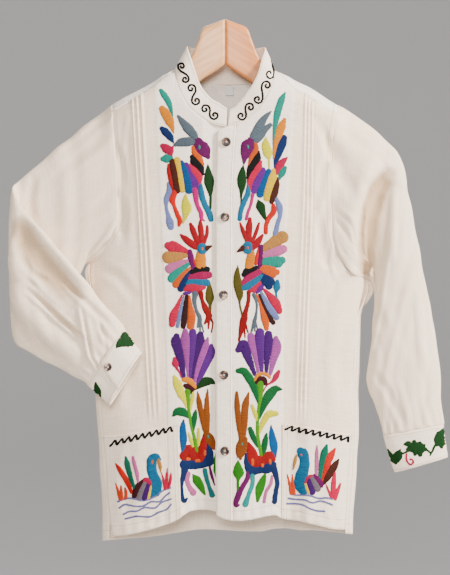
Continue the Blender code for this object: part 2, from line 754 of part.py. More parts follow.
def back_point(side, index, level):
    """Seen position and depth of a point of the back: its column and its level."""
    share, *tops = BACK_COLUMNS[index]
    target = tops[0 if side == "left" else 1]
    sign = -1.0 if side == "left" else 1.0
    if level < 3.0:
        _, past = back_edge(side, level)
        angle = share * (0.5 * math.pi + past)
        z_side = side_height(side, "back", level)
        x = body_middle(z_side) + sign * body_half(z_side) * math.sin(angle)
        z_in = inner_height(x, column(BACK_HEM, "x", x, "z"), BACK_NECK_LOW, level)
        z = z_in + (z_side - z_in) * share ** 4
        x = body_middle(z) + sign * body_half(z) * math.sin(angle)
        return x, (back_depth if angle <= 0.5 * math.pi else front_depth)(x, z), z
    edge_x, _ = back_edge(side, level)
    arm = SIDE_LEVELS[side]["arm"]
    z_arm = MIDDLE_ARM + (arm - MIDDLE_ARM) * share
    middle = body_middle(z_arm)
    x_side = middle + (edge_x - middle) * math.sin(0.5 * math.pi * share)
    if index <= NECK_COLUMN:
        top = column(BACK_NECK, "x", target, "z")
        near = NECK_CLIMB[index]
        climb = near * min(1.0, level - 3.0) + (1.0 - near) * max(0.0, level - 4.0)
        x = x_side + (target - x_side) * climb
        z = z_arm + (top - z_arm) * climb
        return x, back_depth(x, z), z
    rise = min(1.0, level - 3.0)
    x = edge_x if share == 1.0 else x_side + (target - x_side) * rise ** 1.5
    ridge = column(RIDGE, "x", x, "z")
    if level == 3.0 and share == 1.0:
        return x, front_depth(x, arm), arm
    if level <= 4.0:
        z = z_arm + (ridge - z_arm) * rise
        return x, back_depth(x, z), z
    z = ridge - seam_drop(x) * (OVER_SHARE if level == OVER_LEVELS[0] else 1.0)
    return x, front_depth(x, z), z


def back_grid():
    indices = range(len(BACK_COLUMNS))
    points = []
    for level in panel_levels(True):
        row = [placed(*back_point("left", i, level)) for i in reversed(indices[1:])]
        row += [placed(*back_point("right", i, level)) for i in indices]
        points.append(row)
    grid = Grid("back", points, lambda p: (0.0, 1.0, 0.0))
    for edge in ("last_row", "first_column", "last_column"):
        grid.pull_in(edge)
    return grid


def sleeve_angles():
    face = [math.pi * i / SLEEVE_FACE_STEPS for i in range(SLEEVE_FACE_STEPS + 1)]
    rest = [math.pi + math.pi * i / SLEEVE_BACK_STEPS for i in range(1, SLEEVE_BACK_STEPS)]
    return face + rest


def fold_depth(strokes, x, z):
    """Depth of a fold given as points with their own width and depth."""
    best = 0.0
    for (x0, z0, half0, depth0), (x1, z1, half1, depth1) in zip(strokes, strokes[1:]):
        distance, along = near_segment(x, z, x0, z0, x1, z1)
        half = half0 + (half1 - half0) * along
        depth = depth0 + (depth1 - depth0) * along
        best = max(best, depth * bump(distance, half))
    return best


def section_point(section, angle, fold=(), draw=0.0):
    """Point of a sleeve section: angle 0 at its top end, pi at its bottom end."""
    ax, az, bx, bz, y, half, turn = section
    theta = math.radians(turn)
    cx = 0.5 * (ax + bx) + 0.5 * (ax - bx) * math.cos(angle)
    cz = 0.5 * (az + bz) + 0.5 * (az - bz) * math.cos(angle)
    cy = y
    if 0.0 < turn < 180.0:
        cy = y - FOLD_RADIUS + FOLD_RADIUS * math.cos(theta)
    reach = half * math.sin(angle)
    x = cx + math.sin(theta) * reach
    y = cy - math.cos(theta) * reach
    if turn == 0.0 and math.sin(angle) > 0.0 and fold:
        y += fold_depth(fold, x, cz)
    z = cz - draw * math.sin(angle)
    return x, y, z


def sleeve_grid(name, side, sections, front, back, fold=()):
    """A sleeve from its armhole loop, shared with the panels, to the cuff seam."""
    arm_row = len(LOWER_LEVELS)
    ridge_row = arm_row + ARMHOLE_ROWS
    back_column = 0 if side == "left" else -1
    loop = [back.points[ridge_row, back_column], back.points[ridge_row + 1, back_column]]
    loop += [front.points[i, -1] for i in range(ridge_row, arm_row - 1, -1)]
    loop += [back.points[i, back_column] for i in range(arm_row + 1, ridge_row)]
    rows = [loop]
    top, bottom = loop[0], loop[SLEEVE_FACE_STEPS]
    first = (top[0], top[2], bottom[0], bottom[2], 0.0, sections[0][5], 0.0)
    angles = sleeve_angles()
    extra = [(p - np.array(section_point(first, a))) * math.sin(a) ** 2
             for p, a in zip(loop, angles)]
    for k, section in enumerate(sections):
        carry = ARMHOLE_CARRY[k] if k < len(ARMHOLE_CARRY) else 0.0
        rows.append([placed(*section_point(section, a, fold)) + e * carry
                     for a, e in zip(angles, extra)])

    def outwards(p):
        i = p.shape[0] // 2
        j = p.shape[1] // 2
        return p[i, j] - p[i].mean(axis=0)

    grid = Grid(name, rows, outwards, ring=True)
    for edge in ("first_row", "last_row"):
        grid.pull_in(edge)
    return grid


def cuff_grid(name, side, sections):
    """A cuff as one strip round the wrist whose end laps over its start."""
    lap = CUFF_LAP[side]
    rows = []
    lifts = []
    for k, section in enumerate(sections):
        down = k / (len(sections) - 1)
        end = lap["seam_end"] + (lap["free_end"] - lap["seam_end"]) * down
        row = []
        lift = []
        for i in range(CUFF_STEPS + 1):
            degrees = lap["start"] + (end - lap["start"]) * i / CUFF_STEPS
            point = section_point(section, math.radians(degrees), (), lap["draw"] * down)
            row.append(placed(*point))
            high, low = CUFF_LAP_RISE
            over = (high - degrees) / (high - low)
            lift.append(CUFF_LAP_LIFT * max(0.0, min(1.0, over)))
        rows.append(row)
        lifts.append(lift)

    def outwards(p):
        i = p.shape[0] // 2
        j = p.shape[1] // 2
        return p[i, j] - p[i].mean(axis=0)

    grid = Grid(name, rows, outwards, shift=lifts)
    grid.pull_in("first_row")
    return grid


def cuff_button_place(side, sections):
    """World point on a cuff's lap and the way out there."""
    down, degrees = CUFF_BUTTON_PLACE
    k = down * (len(sections) - 1)
    low = int(k)
    here = np.array(sections[low]) * (1 - k + low) + np.array(sections[low + 1]) * (k - low)
    draw = CUFF_LAP[side]["draw"] * down
    points = [placed(*section_point(tuple(here), math.radians(degrees + d), (), draw))
              for d in (0.0, 4.0)]
    onward = placed(*section_point(sections[low + 1], math.radians(degrees), (), draw))
    normal = np.cross(points[1] - points[0], onward - points[0])
    normal = normal / np.linalg.norm(normal)
    middle = placed(0.5 * (here[0] + here[2]), here[4], 0.5 * (here[1] + here[3]))
    if np.dot(normal, points[0] - middle) < 0:
        normal = -normal
    return points[0] + normal * (CUFF_LAP_LIFT + LAYER_GAP), normal


def collar_grid():
    """The stand collar from its right end round the back to its left end."""
    bases = []
    tops = []

    def add_front(table):
        for x, top_x, top_z, lean in table:
            z = column(FRONT_NECK, "x", x, "z")
            y = front_depth(x, z)
            bases.append((x, y, z))
            tops.append((top_x, y + lean, top_z))

    add_front(COLLAR_TOP_FRONT)
    back_xs = [c[1] for c in BACK_COLUMNS[NECK_COLUMN:0:-1]]
    back_xs += [c[2] for c in BACK_COLUMNS[:NECK_COLUMN + 1]]
    for x in back_xs:
        z = column(BACK_NECK, "x", x, "z")
        bases.append((x, back_depth(x, z), z))
        tops.append(tuple(column(COLLAR_TOP_BACK, "base", x, key) for key in ("x", "y", "z")))
    add_front(COLLAR_TOP_LEFT)
    rows = []
    for i in range(COLLAR_ROWS + 1):
        t = i / COLLAR_ROWS
        rows.append([placed(*(np.array(b) * (1 - t) + np.array(c) * t))
                     for b, c in zip(bases, tops)])
    grid = Grid("collar_band", rows, lambda p: (0.0, 1.0, 0.0))
    grid.pull_in("first_row")
    return grid


def pocket_grid(name, panel, columns):
    """A pocket made from its panel's own points, a gap in front of them."""
    rows = LOWER_LEVELS.index(2.0) + 1
    points = panel.points[:rows, columns]
    grid = Grid(name, points, lambda p: (0.0, -1.0, 0.0), wall=POCKET_WALL)
    grid.normals = panel.normals[:rows, columns].copy()
    return grid


def placket_grid():
    """The strip of the centre front, on the level of the left front."""
    points = []
    for level in panel_levels(False):
        row = []
        for share in (0.0, 0.5, 1.0):
            x = 0.0
            for _ in range(3):
                hem = column(FRONT_HEM, "x", x, "z")
                top = column(FRONT_NECK, "x", x, "z")
                low = PLACKET_TOP_LEFT
                corner, width = PLACKET_CORNER
                reach = min(1.0, max(0.0, (x - corner) / width))
                top = low + (top - PLACKET_TOP_GAP - low) * reach
                z = inner_height(x, hem, top, level)
                left = column(PLACKET, "z", z, "left")
                right = guide_x(FRONT_LEFT_GUIDES[0], z) - SEAM_GAP
                x = left + (right - left) * share
            row.append(placed(x, front_depth(x, z), z))
        points.append(row)
    grid = Grid("button_placket", points, lambda p: (0.0, -1.0, 0.0), wall=PLACKET_WALL)
    grid.pull_in("last_row")
    return grid


def disc(centre, normal, radius, thickness):
    """A round button with a raised rim: vertices and faces."""
    normal = np.array(normal, float) / np.linalg.norm(normal)
    side = np.cross(normal, (0.0, 0.0, 1.0))
    side = side / np.linalg.norm(side)
    up = np.cross(side, normal)
    vertices = []
    for share, height in BUTTON_PROFILE:
        for i in range(BUTTON_SIDES):
            angle = 2 * math.pi * i / BUTTON_SIDES
            rim = side * math.cos(angle) + up * math.sin(angle)
            vertices.append(centre + rim * radius * share + normal * thickness * height)
    vertices.append(np.array(centre, float))
    vertices.append(centre + normal * thickness * BUTTON_PROFILE[-1][1])
    under = len(vertices) - 2
    over = len(vertices) - 1
    faces = []
    last = (len(BUTTON_PROFILE) - 1) * BUTTON_SIDES
    for i in range(BUTTON_SIDES):
        k = (i + 1) % BUTTON_SIDES
        faces.append((under, k, i))
        faces.append((over, last + i, last + k))
        for ring in range(len(BUTTON_PROFILE) - 1):
            a = ring * BUTTON_SIDES
            b = a + BUTTON_SIDES
            faces.append((a + i, a + k, b + k, b + i))
    return vertices, faces


def hanger_half(sign):
    """Vertices and faces of one half of the hanger."""
    vertices = []
    faces = []
    ring = 8
    for x, top, bottom, y, half in HANGER_SECTIONS:
        cut = min(half, 0.5 * (top - bottom)) * HANGER_CHAMFER
        outline = [
            (y - half, top - cut), (y - half + cut, top), (y + half - cut, top),
            (y + half, top - cut), (y + half, bottom + cut), (y + half - cut, bottom),
            (y - half + cut, bottom), (y - half, bottom + cut),
        ]
        vertices += [placed(sign * x, py, pz) for py, pz in outline]
    for k in range(len(HANGER_SECTIONS) - 1):
        for i in range(ring):
            j = (i + 1) % ring
            faces.append((k * ring + i, k * ring + j, (k + 1) * ring + j, (k + 1) * ring + i))
    faces.append(tuple(range(ring)))
    end = (len(HANGER_SECTIONS) - 1) * ring
    faces.append(tuple(end + i for i in reversed(range(ring))))
    return vertices, faces


def label_box():
    """The bare label just inside the back."""
    x0, x1, z0, z1 = LABEL_BOX
    vertices = []
    for depth in (LAYER_GAP + WALL, LAYER_GAP + WALL + LABEL_WALL):
        for x, z in ((x0, z0), (x1, z0), (x1, z1), (x0, z1)):
            vertices.append(placed(x, back_depth(x, z) - depth, z))
    faces = [(0, 1, 2, 3), (7, 6, 5, 4), (0, 4, 5, 1), (1, 5, 6, 2), (2, 6, 7, 3), (3, 7, 4, 0)]
    return vertices, faces


def clear_file():
    for made in list(bpy.data.objects):
        bpy.data.objects.remove(made, do_unlink=True)
    for made in list(bpy.data.meshes):
        bpy.data.meshes.remove(made)
    for made in list(bpy.data.materials):
        bpy.data.materials.remove(made)


def main():
    clear_file()
    collection = bpy.data.collections.new("guayabera_shirt")
    bpy.context.scene.collection.children.link(collection)

    front_right = front_grid("front_right", "left", FRONT_RIGHT_GUIDES)
    front_left = front_grid("front_left", "right", FRONT_LEFT_GUIDES)
    back = back_grid()
    sleeve_right = sleeve_grid("sleeve_right", "left", SLEEVE_RIGHT, front_right, back)
    sleeve_left = sleeve_grid("sleeve_left", "right", SLEEVE_LEFT, front_left, back,
                              SLEEVE_LEFT_FOLD)
    cuff_right = cuff_grid("cuff_right", "right", CUFF_RIGHT)
    cuff_left = cuff_grid("cuff_left", "left", CUFF_LEFT)
    collar = collar_grid()
    placket = placket_grid()
    weld_normals([front_right, front_left, back, sleeve_right, sleeve_left, collar])
    for grid in (front_right, front_left, back):
        smooth_shoulder_seam(grid)

    for grid in (front_right, front_left, back, sleeve_right, sleeve_left, cuff_right,
                 cuff_left, collar):
        add_object(collection, grid.name, *shell(grid), CLOTH_COLOURS[grid.name])
    add_object(collection, placket.name, *shell(placket), CLOTH_COLOURS[placket.name])

    names = [c[0][0] for c in front_columns(FRONT_RIGHT_GUIDES, -1.0)]
    right_pocket = pocket_grid("pocket_right", front_right, slice(names.index("pocket"), None))
    names = [c[0][0] for c in front_columns(FRONT_LEFT_GUIDES, 1.0)]
    left_pocket = pocket_grid("pocket_left", front_left, slice(names.index("band"), None))
    for grid in (right_pocket, left_pocket):
        shape = shell(grid, base=LAYER_GAP + POCKET_WALL)
        add_object(collection, grid.name, *shape, CLOTH_COLOURS[grid.name])

    for number, (x, z) in enumerate(BUTTON_CENTRES, start=1):
        here = placed(x, front_depth(x, z), z)
        normal = front_normal(x, z, BUTTON_RADIUS)
        shape = disc(here + normal * LAYER_GAP, normal, BUTTON_RADIUS, BUTTON_THICKNESS)
        add_object(collection, f"button_{number}", *shape, BUTTON_COLOUR, 0.25)
    for side, sections in (("right", CUFF_RIGHT), ("left", CUFF_LEFT)):
        shape = disc(*cuff_button_place(side, sections), CUFF_BUTTON_RADIUS, BUTTON_THICKNESS)
        add_object(collection, f"cuff_button_{side}", *shape, BUTTON_COLOUR, 0.25)

    add_object(collection, "size_label", *label_box(), LABEL_COLOUR, 0.6, smooth=False)
    for name, sign in (("hanger_right_half", -1.0), ("hanger_left_half", 1.0)):
        add_object(collection, name, *hanger_half(sign), WOOD_COLOURS[name], 0.45, smooth=False)


main()
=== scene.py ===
"""Child's embroidered guayabera on a wooden hanger: its looks.

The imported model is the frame. Every cloth piece is laid again as a thin, finely
meshed shell on its solid's form, with its folds, tucks, stitching and needlework.
Tables give points as they are seen from the front, in millimetres in the hanger's
plane; placed() moves a point along the line of sight to its depth.
"""

import logging
import math
from dataclasses import dataclass, field
from enum import Enum, StrEnum
from typing import Callable, Optional, Sequence

import bmesh
import bpy
import numpy as np
from mathutils import Matrix, Vector
from mathutils.bvhtree import BVHTree


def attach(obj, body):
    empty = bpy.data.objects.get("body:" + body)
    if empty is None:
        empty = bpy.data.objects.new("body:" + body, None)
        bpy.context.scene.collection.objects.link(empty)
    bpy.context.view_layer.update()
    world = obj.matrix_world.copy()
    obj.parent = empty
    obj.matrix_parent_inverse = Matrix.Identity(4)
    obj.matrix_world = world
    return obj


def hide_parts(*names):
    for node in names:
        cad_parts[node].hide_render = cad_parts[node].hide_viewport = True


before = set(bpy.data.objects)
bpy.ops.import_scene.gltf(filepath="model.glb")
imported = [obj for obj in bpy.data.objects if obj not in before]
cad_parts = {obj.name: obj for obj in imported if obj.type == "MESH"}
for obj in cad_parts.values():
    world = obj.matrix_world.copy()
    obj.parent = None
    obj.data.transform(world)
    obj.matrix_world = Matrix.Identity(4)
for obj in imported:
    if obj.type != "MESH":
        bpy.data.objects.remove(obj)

Values = float | np.ndarray
Point = tuple[float, float]
Dot = tuple[float, float, float]

logging.basicConfig(level=logging.INFO, format="%(message)s")
LOG = logging.getLogger("guayabera")

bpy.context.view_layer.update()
SEED = 20
MM = 0.001

# Viewpoint of the seen positions, millimetres.
EYE_DISTANCE = 2000.0
EYE_HEIGHT = -295.4
PIXEL = 1.1
PICTURE_HEIGHT = 575.0
# The hanger's top centre in the picture, in its own pixels.
PICTURE_ORIGIN = (225.0, 19.0)

# Cloth, millimetres.
WALL = 1.6
SEAM_GAP = 0.3
LAYER_GAP = 0.35
TUCK_HEIGHT = 1.0
TUCK_FACE = 0.7
UNDERLAP_DROP = 2.3

# Rows up a panel, in levels: 0 is the hem, and these are the marks above it.
VENT = 1.0
POCKET = 2.0
UNDERARM = 3.0
TOP = 4.0
LOWER_LEVELS = [0.0, 0.28, 1.0, 1.5, 2.0, 2.25, 2.5, 2.75]
ARMHOLE_ROWS = 9
OVER_LEVELS = [4.5, 5.0]
OVER_SHARE = 0.4
VENT_SHARE = 0.34

# Outline of the body at a height: left and right edge of the silhouette, and
# the depths of the front and of the back from the middle plane.
BODY = {
    "z": [-575.0, -538.0, -498.0, -455.0, -400.0, -345.0, -300.0, -276.0, -200.0, -90.0],
    "left": [-134.0, -134.8, -137.0, -140.3, -143.0, -144.8, -146.4, -148.0, -149.0, -149.0],
    "right": [139.6, 141.0, 143.8, 147.0, 147.6, 148.8, 152.6, 155.0, 154.0, 152.0],
    "front": [31.0, 30.0, 29.0, 28.0, 28.0, 28.0, 28.0, 28.0, 29.0, 30.0],
    "back": [23.0, 22.0, 21.0, 20.0, 20.0, 21.0, 22.0, 23.0, 25.0, 28.0],
}

# Side seam: how far in from the silhouette it lies on each side.
SEAM_INSET = {
    "z": [-575.0, -530.0, -490.0, -440.0, -380.0, -320.0, -290.0, -267.0],
    "left": [7.0, 6.8, 6.6, 5.6, 4.6, 2.4, 0.9, 0.0],
    "right": [7.6, 7.0, 7.2, 7.6, 6.6, 3.2, 0.6, 0.0],
}

# Free front edge beside the vents, from hem to vent top.
VENT_EDGE = {
    "z": [-568.0, -550.0, -533.0, -526.0],
    "left": [-123.8, -126.0, -127.9, -128.4],
    "right": [131.2, 133.0, 134.6, 135.2],
}

# Heights of the side edges: hem front, hem back, vent top, pocket top and underarm.
SIDE_LEVELS = {
    "left": {"front": -568.0, "back": -573.0, "vent": -531.0, "pocket": -459.0, "arm": -267.3},
    "right": {"front": -561.5, "back": -566.0, "vent": -526.0, "pocket": -457.0, "arm": -286.0},
}

# Front hem and back hem from side to side.
FRONT_HEM = {
    "x": [-123.8, -108.0, -89.0, -66.0, -53.0, -44.0, -36.0, -28.5, -12.5, -9.5, 3.5, 13.0,
          22.0, 35.0, 45.0, 55.0, 65.0, 77.5, 91.5, 107.0, 122.0, 131.2],
    "z": [-569.5, -566.8, -563.0, -556.5, -551.0, -544.5, -540.7, -539.6, -541.2, -545.5,
          -551.0, -552.2, -551.0, -550.0, -546.7, -545.6, -550.0, -551.2, -554.5, -557.2,
          -561.0, -562.4],
}
BACK_HEM = {
    "x": [-134.0, -108.0, -89.0, -74.0, -44.0, -27.5, -10.5, 6.6, 27.5, 43.5, 57.0, 68.0,
          80.0, 96.0, 114.0, 133.0, 139.6],
    "z": [-574.0, -571.0, -569.8, -568.0, -563.2, -561.0, -561.0, -562.4, -563.2, -562.9,
          -560.0, -560.0, -562.0, -561.8, -563.2, -565.4, -567.0],
}

# Top of both pockets.
POCKET_TOP = {
    "x": [-136.0, -103.4, -72.6, -50.6, 0.0, 62.7, 147.0],
    "z": [-458.5, -455.4, -449.9, -445.5, -440.0, -445.5, -457.0],
}

# Shoulder ridge, the seam in front of it, and how broadly the ridge is rounded.
RIDGE = {
    "x": [-123.8, -99.0, -77.5, -55.5, 0.0, 55.0, 76.5, 98.0, 123.2],
    "z": [-95.2, -80.4, -68.0, -57.0, -52.0, -57.2, -67.6, -79.0, -94.6],
    "drop": [7.0, 6.2, 5.4, 0.0, 0.0, 0.0, 9.6, 10.4, 10.0],
    "round": [18.0, 20.0, 26.0, 40.0, 44.0, 40.0, 26.0, 20.0, 18.0],
}

# Neckline, front and back.
FRONT_NECK = {
    "x": [-55.5, -54.4, -52.0, -47.3, -38.5, -27.5, -14.3, 1.1, 14.6, 27.5, 37.4, 46.2,
          51.6, 54.0, 55.0],
    "z": [-57.0, -64.0, -73.0, -85.8, -98.0, -107.8, -115.2, -118.3, -114.6, -107.8, -98.0,
          -85.8, -73.0, -64.0, -57.2],
}
BACK_NECK = {
    "x": [-55.5, -53.0, -45.0, -30.0, 0.0, 30.0, 45.0, 53.0, 55.0],
    "z": [-57.0, -61.5, -67.0, -70.8, -72.6, -70.8, -67.0, -61.5, -57.2],
}

# Armhole edges at fractions of the way from underarm to shoulder.
ARMHOLE = {
    "rise": [0.0, 0.03, 0.09, 0.18, 0.30, 0.45, 0.62, 0.80, 0.92, 1.0],
    "left_front": [-148.0, -141.5, -134.0, -123.0, -117.8, -117.4, -118.6, -121.6, -123.0,
                   -123.8],
    "left_back": [-148.0, -144.5, -139.5, -131.5, -125.0, -121.5, -121.5, -122.5, -123.4,
                  -123.8],
    "right_front": [155.0, 141.0, 131.0, 122.5, 117.8, 116.9, 116.7, 117.6, 120.4, 123.2],
    "right_back": [155.0, 150.5, 145.0, 136.0, 126.5, 122.0, 121.3, 122.3, 123.0, 123.2],
}

# Lines down each front from the centre outwards: x at five heights.
GUIDE_HEIGHTS = [-560.0, -450.0, -310.0, -200.0, -85.0]
FRONT_RIGHT_GUIDES = [
    # name           hem     pocket  waist   chest   top
    ("underlap", 4.4, 4.4, 4.4, 4.4, 4.4),
    ("fold_back", -12.0, -12.4, -12.4, -12.4, -12.0),
    ("centre", -26.0, -26.0, -26.0, -26.0, -24.0),
    ("motif", -38.0, -37.0, -37.0, -35.0, -33.0),
    ("pocket", -48.4, -51.4, -48.0, -45.0, -43.0),
    ("neck_side", -51.5, -54.0, -51.5, -49.0, -51.0),
    ("neck_high", -53.7, -56.0, -55.5, -53.0, -54.4),
    ("neck_ridge", -56.0, -58.0, -60.0, -58.5, -55.5),
    ("seam_mid", -58.0, -60.0, -63.0, -65.0, -66.5),
    ("band", -60.6, -62.6, -66.6, -71.5, -77.5),
    ("tuck_foot", -68.0, -70.0, -76.5, -83.0, -89.5),
    ("tuck_1", -71.5, -73.7, -80.8, -87.2, -93.5),
    ("tuck_2", -77.0, -79.2, -86.4, -92.4, -98.6),
    ("tuck_3", -82.5, -84.2, -91.3, -96.8, -103.4),
]
FRONT_LEFT_GUIDES = [
    ("placket", 8.3, 8.0, 8.0, 8.2, 14.6),
    ("centre_a", 17.0, 16.0, 16.0, 17.0, 22.0),
    ("centre", 28.0, 27.0, 27.0, 28.0, 31.0),
    ("motif", 42.0, 41.0, 41.0, 41.0, 42.0),
    ("neck_side", 51.0, 50.0, 50.5, 49.4, 50.6),
    ("neck_high", 55.0, 54.0, 54.8, 54.4, 54.0),
    ("neck_ridge", 58.0, 57.5, 58.5, 58.0, 55.0),
    ("seam_mid", 60.0, 60.0, 61.0, 63.5, 65.8),
    ("band", 62.4, 62.8, 64.4, 69.0, 76.5),
    ("tuck_foot", 73.0, 73.0, 76.5, 82.0, 86.0),
    ("tuck_1", 78.5, 79.5, 83.0, 87.4, 89.5),
    ("tuck_2", 83.5, 84.0, 87.8, 91.4, 93.2),
    ("tuck_3", 88.0, 88.4, 92.0, 95.8, 97.0),
]
TUCKS = ("tuck_1", "tuck_2", "tuck_3")
SIDE_FRACTIONS = [0.36, 0.70, 1.0]
MIDDLE_ARM = -276.5

# Flutes of the front near the hem: centre, half width, depth (positive goes back).
FLUTES = [
    # x       half   depth
    (-30.0, 24.0, 9.0),
    (70.0, 24.0, 8.0),
    (18.0, 26.0, -3.5),
    (-100.0, 34.0, -3.0),
    (118.0, 24.0, -2.5),
]
BACK_FLUTES = [
    (-62.0, 26.0, 4.0),
    (-4.0, 30.0, -4.5),
    (58.0, 24.0, 4.5),
    (96.0, 22.0, -3.0),
]
FLUTE_REACH = 330.0
FLUTE_FOOT = -560.0
BACK_FLUTE_FOOT = -565.0

# Broad folds of the chest: from, to, half width, depth.
CHEST_FOLDS = [
    # x0      z0      x1      z1      half   depth
    (103.0, -112.0, 117.0, -150.0, 8.0, 4.0),
    (96.0, -196.0, 112.0, -268.0, 9.0, 2.5),
    (-108.0, -120.0, -113.0, -230.0, 9.0, 2.0),
]
# Share of its depth that such a fold starts with.
CHEST_FOLD_START = 0.4

# Back panel: each column's share of the way to the side seam, and where it ends above.
BACK_COLUMNS = [
    # share  left    right at the neckline or the shoulder seam
    (0.0, 0.0, 0.0),
    (0.08, -17.0, 17.0),
    (0.145, -31.0, 31.0),
    (0.20, -44.0, 44.0),
    (0.235, -52.0, 52.0),
    (0.26, -55.5, 55.0),
    (0.33, -66.5, 65.8),
    (0.40, -77.5, 76.5),
    (0.49, -89.5, 86.0),
    (0.58, -98.6, 93.2),
    (0.70, -110.75, 106.43),
    (0.84, -117.68, 115.34),
    (0.93, -121.2, 119.8),
    (1.0, -123.8, 123.2),
]
NECK_COLUMN = 5
BACK_NECK_LOW = -72.0
NECK_CLIMB = [0.94, 0.94, 0.945, 0.955, 0.965, 0.984]

# Sleeves, section by section from the armhole: top end, bottom end, depth of the
# middle, half thickness, turn about the elbow fold in degrees.
SLEEVE_RIGHT = [
    # ax      az      bx      bz      y      half  turn
    (-134.5, -102.6, -153.6, -270.8, 0.0, 16.5, 0.0),
    (-150.0, -114.0, -158.0, -279.0, -0.5, 15.5, 0.0),
    (-168.0, -128.0, -166.0, -291.5, -1.0, 14.0, 0.0),
    (-187.0, -143.8, -179.0, -305.5, -1.5, 12.0, 0.0),
    (-204.0, -158.5, -196.0, -322.0, -2.0, 9.5, 0.0),
    (-216.5, -169.0, -211.0, -336.5, -2.0, 7.5, 0.0),
    (-224.6, -176.0, -222.0, -346.0, -2.0, 6.4, 0.0),
    (-229.0, -180.0, -226.0, -350.0, -2.0, 6.2, 30.0),
    (-232.4, -183.0, -229.5, -353.0, -2.0, 6.2, 60.0),
    (-233.6, -186.0, -231.0, -355.4, -2.0, 6.2, 90.0),
    (-232.4, -190.5, -229.5, -358.0, -2.0, 6.2, 120.0),
    (-229.0, -197.5, -226.0, -361.0, -2.0, 6.4, 150.0),
    (-224.6, -204.6, -221.0, -363.5, -20.0, 6.8, 180.0),
    (-209.0, -223.5, -210.5, -370.0, -22.0, 7.4, 180.0),
    (-190.5, -245.0, -196.0, -378.0, -24.5, 8.2, 180.0),
    (-170.5, -268.5, -183.5, -384.5, -27.5, 9.2, 180.0),
    (-150.5, -292.0, -173.0, -390.0, -30.5, 10.0, 180.0),
    (-132.0, -314.0, -163.5, -395.0, -33.5, 10.4, 180.0),
    (-119.0, -329.5, -157.0, -398.5, -36.0, 10.2, 180.0),
    (-110.5, -339.6, -152.4, -402.0, -37.5, 9.2, 180.0),
]
CUFF_RIGHT = [
    (-110.2, -340.0, -152.2, -402.2, -37.6, 9.4, 180.0),
    (-103.5, -350.5, -144.0, -410.0, -38.2, 9.4, 180.0),
    (-97.5, -359.5, -136.0, -417.5, -38.8, 9.2, 180.0),
    (-91.3, -367.4, -127.6, -425.2, -39.4, 9.0, 180.0),
]
FOLD_RADIUS = 9.0

SLEEVE_LEFT = [
    (131.5, -98.5, 160.2, -289.4, 0.0, 16.5, 0.0),
    (145.0, -107.5, 162.8, -295.0, 0.0, 16.5, 0.0),
    (160.5, -119.3, 164.2, -301.5, -0.5, 16.0, 0.0),
    (176.0, -132.0, 164.5, -308.0, -1.0, 15.0, 0.0),
    (188.5, -144.5, 164.5, -314.5, -1.5, 14.0, 0.0),
    (195.5, -159.5, 164.0, -322.0, -2.0, 13.5, 0.0),
    (200.3, -182.6, 163.0, -331.0, -2.5, 13.0, 0.0),
    (205.2, -210.0, 161.7, -342.0, -3.0, 12.5, 0.0),
    (212.9, -248.5, 160.0, -359.7, -3.5, 12.0, 0.0),
    (220.0, -286.0, 157.8, -378.5, -4.0, 12.0, 0.0),
    (227.0, -322.3, 156.0, -398.2, -4.5, 12.0, 0.0),
    (232.7, -354.2, 158.0, -411.5, -5.0, 12.0, 0.0),
    (236.3, -386.0, 162.8, -421.0, -5.5, 12.0, 0.0),
    (238.0, -419.0, 168.0, -434.5, -6.0, 11.5, 0.0),
    (240.3, -446.2, 174.0, -458.4, -6.5, 10.0, 0.0),
]
CUFF_LEFT = [
    (240.5, -446.8, 174.2, -459.0, -6.5, 10.2, 0.0),
    (241.8, -458.0, 177.8, -473.0, -6.8, 10.0, 0.0),
    (243.6, -469.5, 181.6, -486.0, -7.1, 9.8, 0.0),
    (245.4, -481.5, 186.4, -498.4, -7.4, 9.6, 0.0),
]
SLEEVE_FACE_STEPS = 11
SLEEVE_BACK_STEPS = 9
ARMHOLE_CARRY = [0.7, 0.4, 0.18, 0.05]

# Cuffs, in degrees from the top end by way of the first face: the strip starts
# under the lap and ends on it; the lap rises between two angles. The free end of
# the buttoned face draws back by draw. The button: share down the cuff, angle.
CUFF_LAP = {
    "left": {"start": 290.0, "seam_end": -105.0, "free_end": -119.0, "draw": 3.0},
    "right": {"start": 290.0, "seam_end": -105.0, "free_end": -112.0, "draw": 1.0},
}
CUFF_STEPS = 34
CUFF_LAP_LIFT = 2.1
CUFF_LAP_RISE = (-46.0, -66.0)
CUFF_BUTTON_PLACE = (0.27, -99.4)

# Stand collar: top edge opposite each point of the neckline.
COLLAR_TOP_FRONT = [
    # neck   x      z      lean back
    (1.1, 1.6, -98.4, 3.5),
    (-12.0, -6.0, -93.0, 4.0),
    (-24.0, -14.3, -88.4, 4.5),
    (-33.0, -20.9, -81.6, 5.0),
    (-43.0, -27.0, -73.0, 5.5),
    (-51.0, -32.4, -59.0, 6.0),
    (-54.4, -37.6, -43.5, 5.0),
]
COLLAR_TOP_LEFT = [
    (54.0, 40.5, -45.0, 5.0),
    (50.6, 36.6, -59.0, 6.0),
    (42.0, 31.5, -70.0, 5.5),
    (31.0, 24.0, -80.5, 5.0),
    (22.0, 17.0, -90.0, 4.5),
    (14.6, 11.0, -96.5, 4.0),
    (3.0, 5.5, -100.0, 3.5),
]
COLLAR_TOP_BACK = {
    "base": [-55.5, -53.0, -45.0, -30.0, 0.0, 30.0, 45.0, 53.0, 55.0],
    "x": [-41.8, -39.6, -33.0, -21.0, 0.0, 21.0, 33.5, 41.6, 44.6],
    "y": [0.0, 8.0, 15.0, 19.0, 21.0, 19.0, 15.0, 8.0, 0.0],
    "z": [-30.3, -31.0, -33.2, -37.6, -42.4, -37.6, -33.6, -32.0, -31.9],
}
COLLAR_ROWS = 4

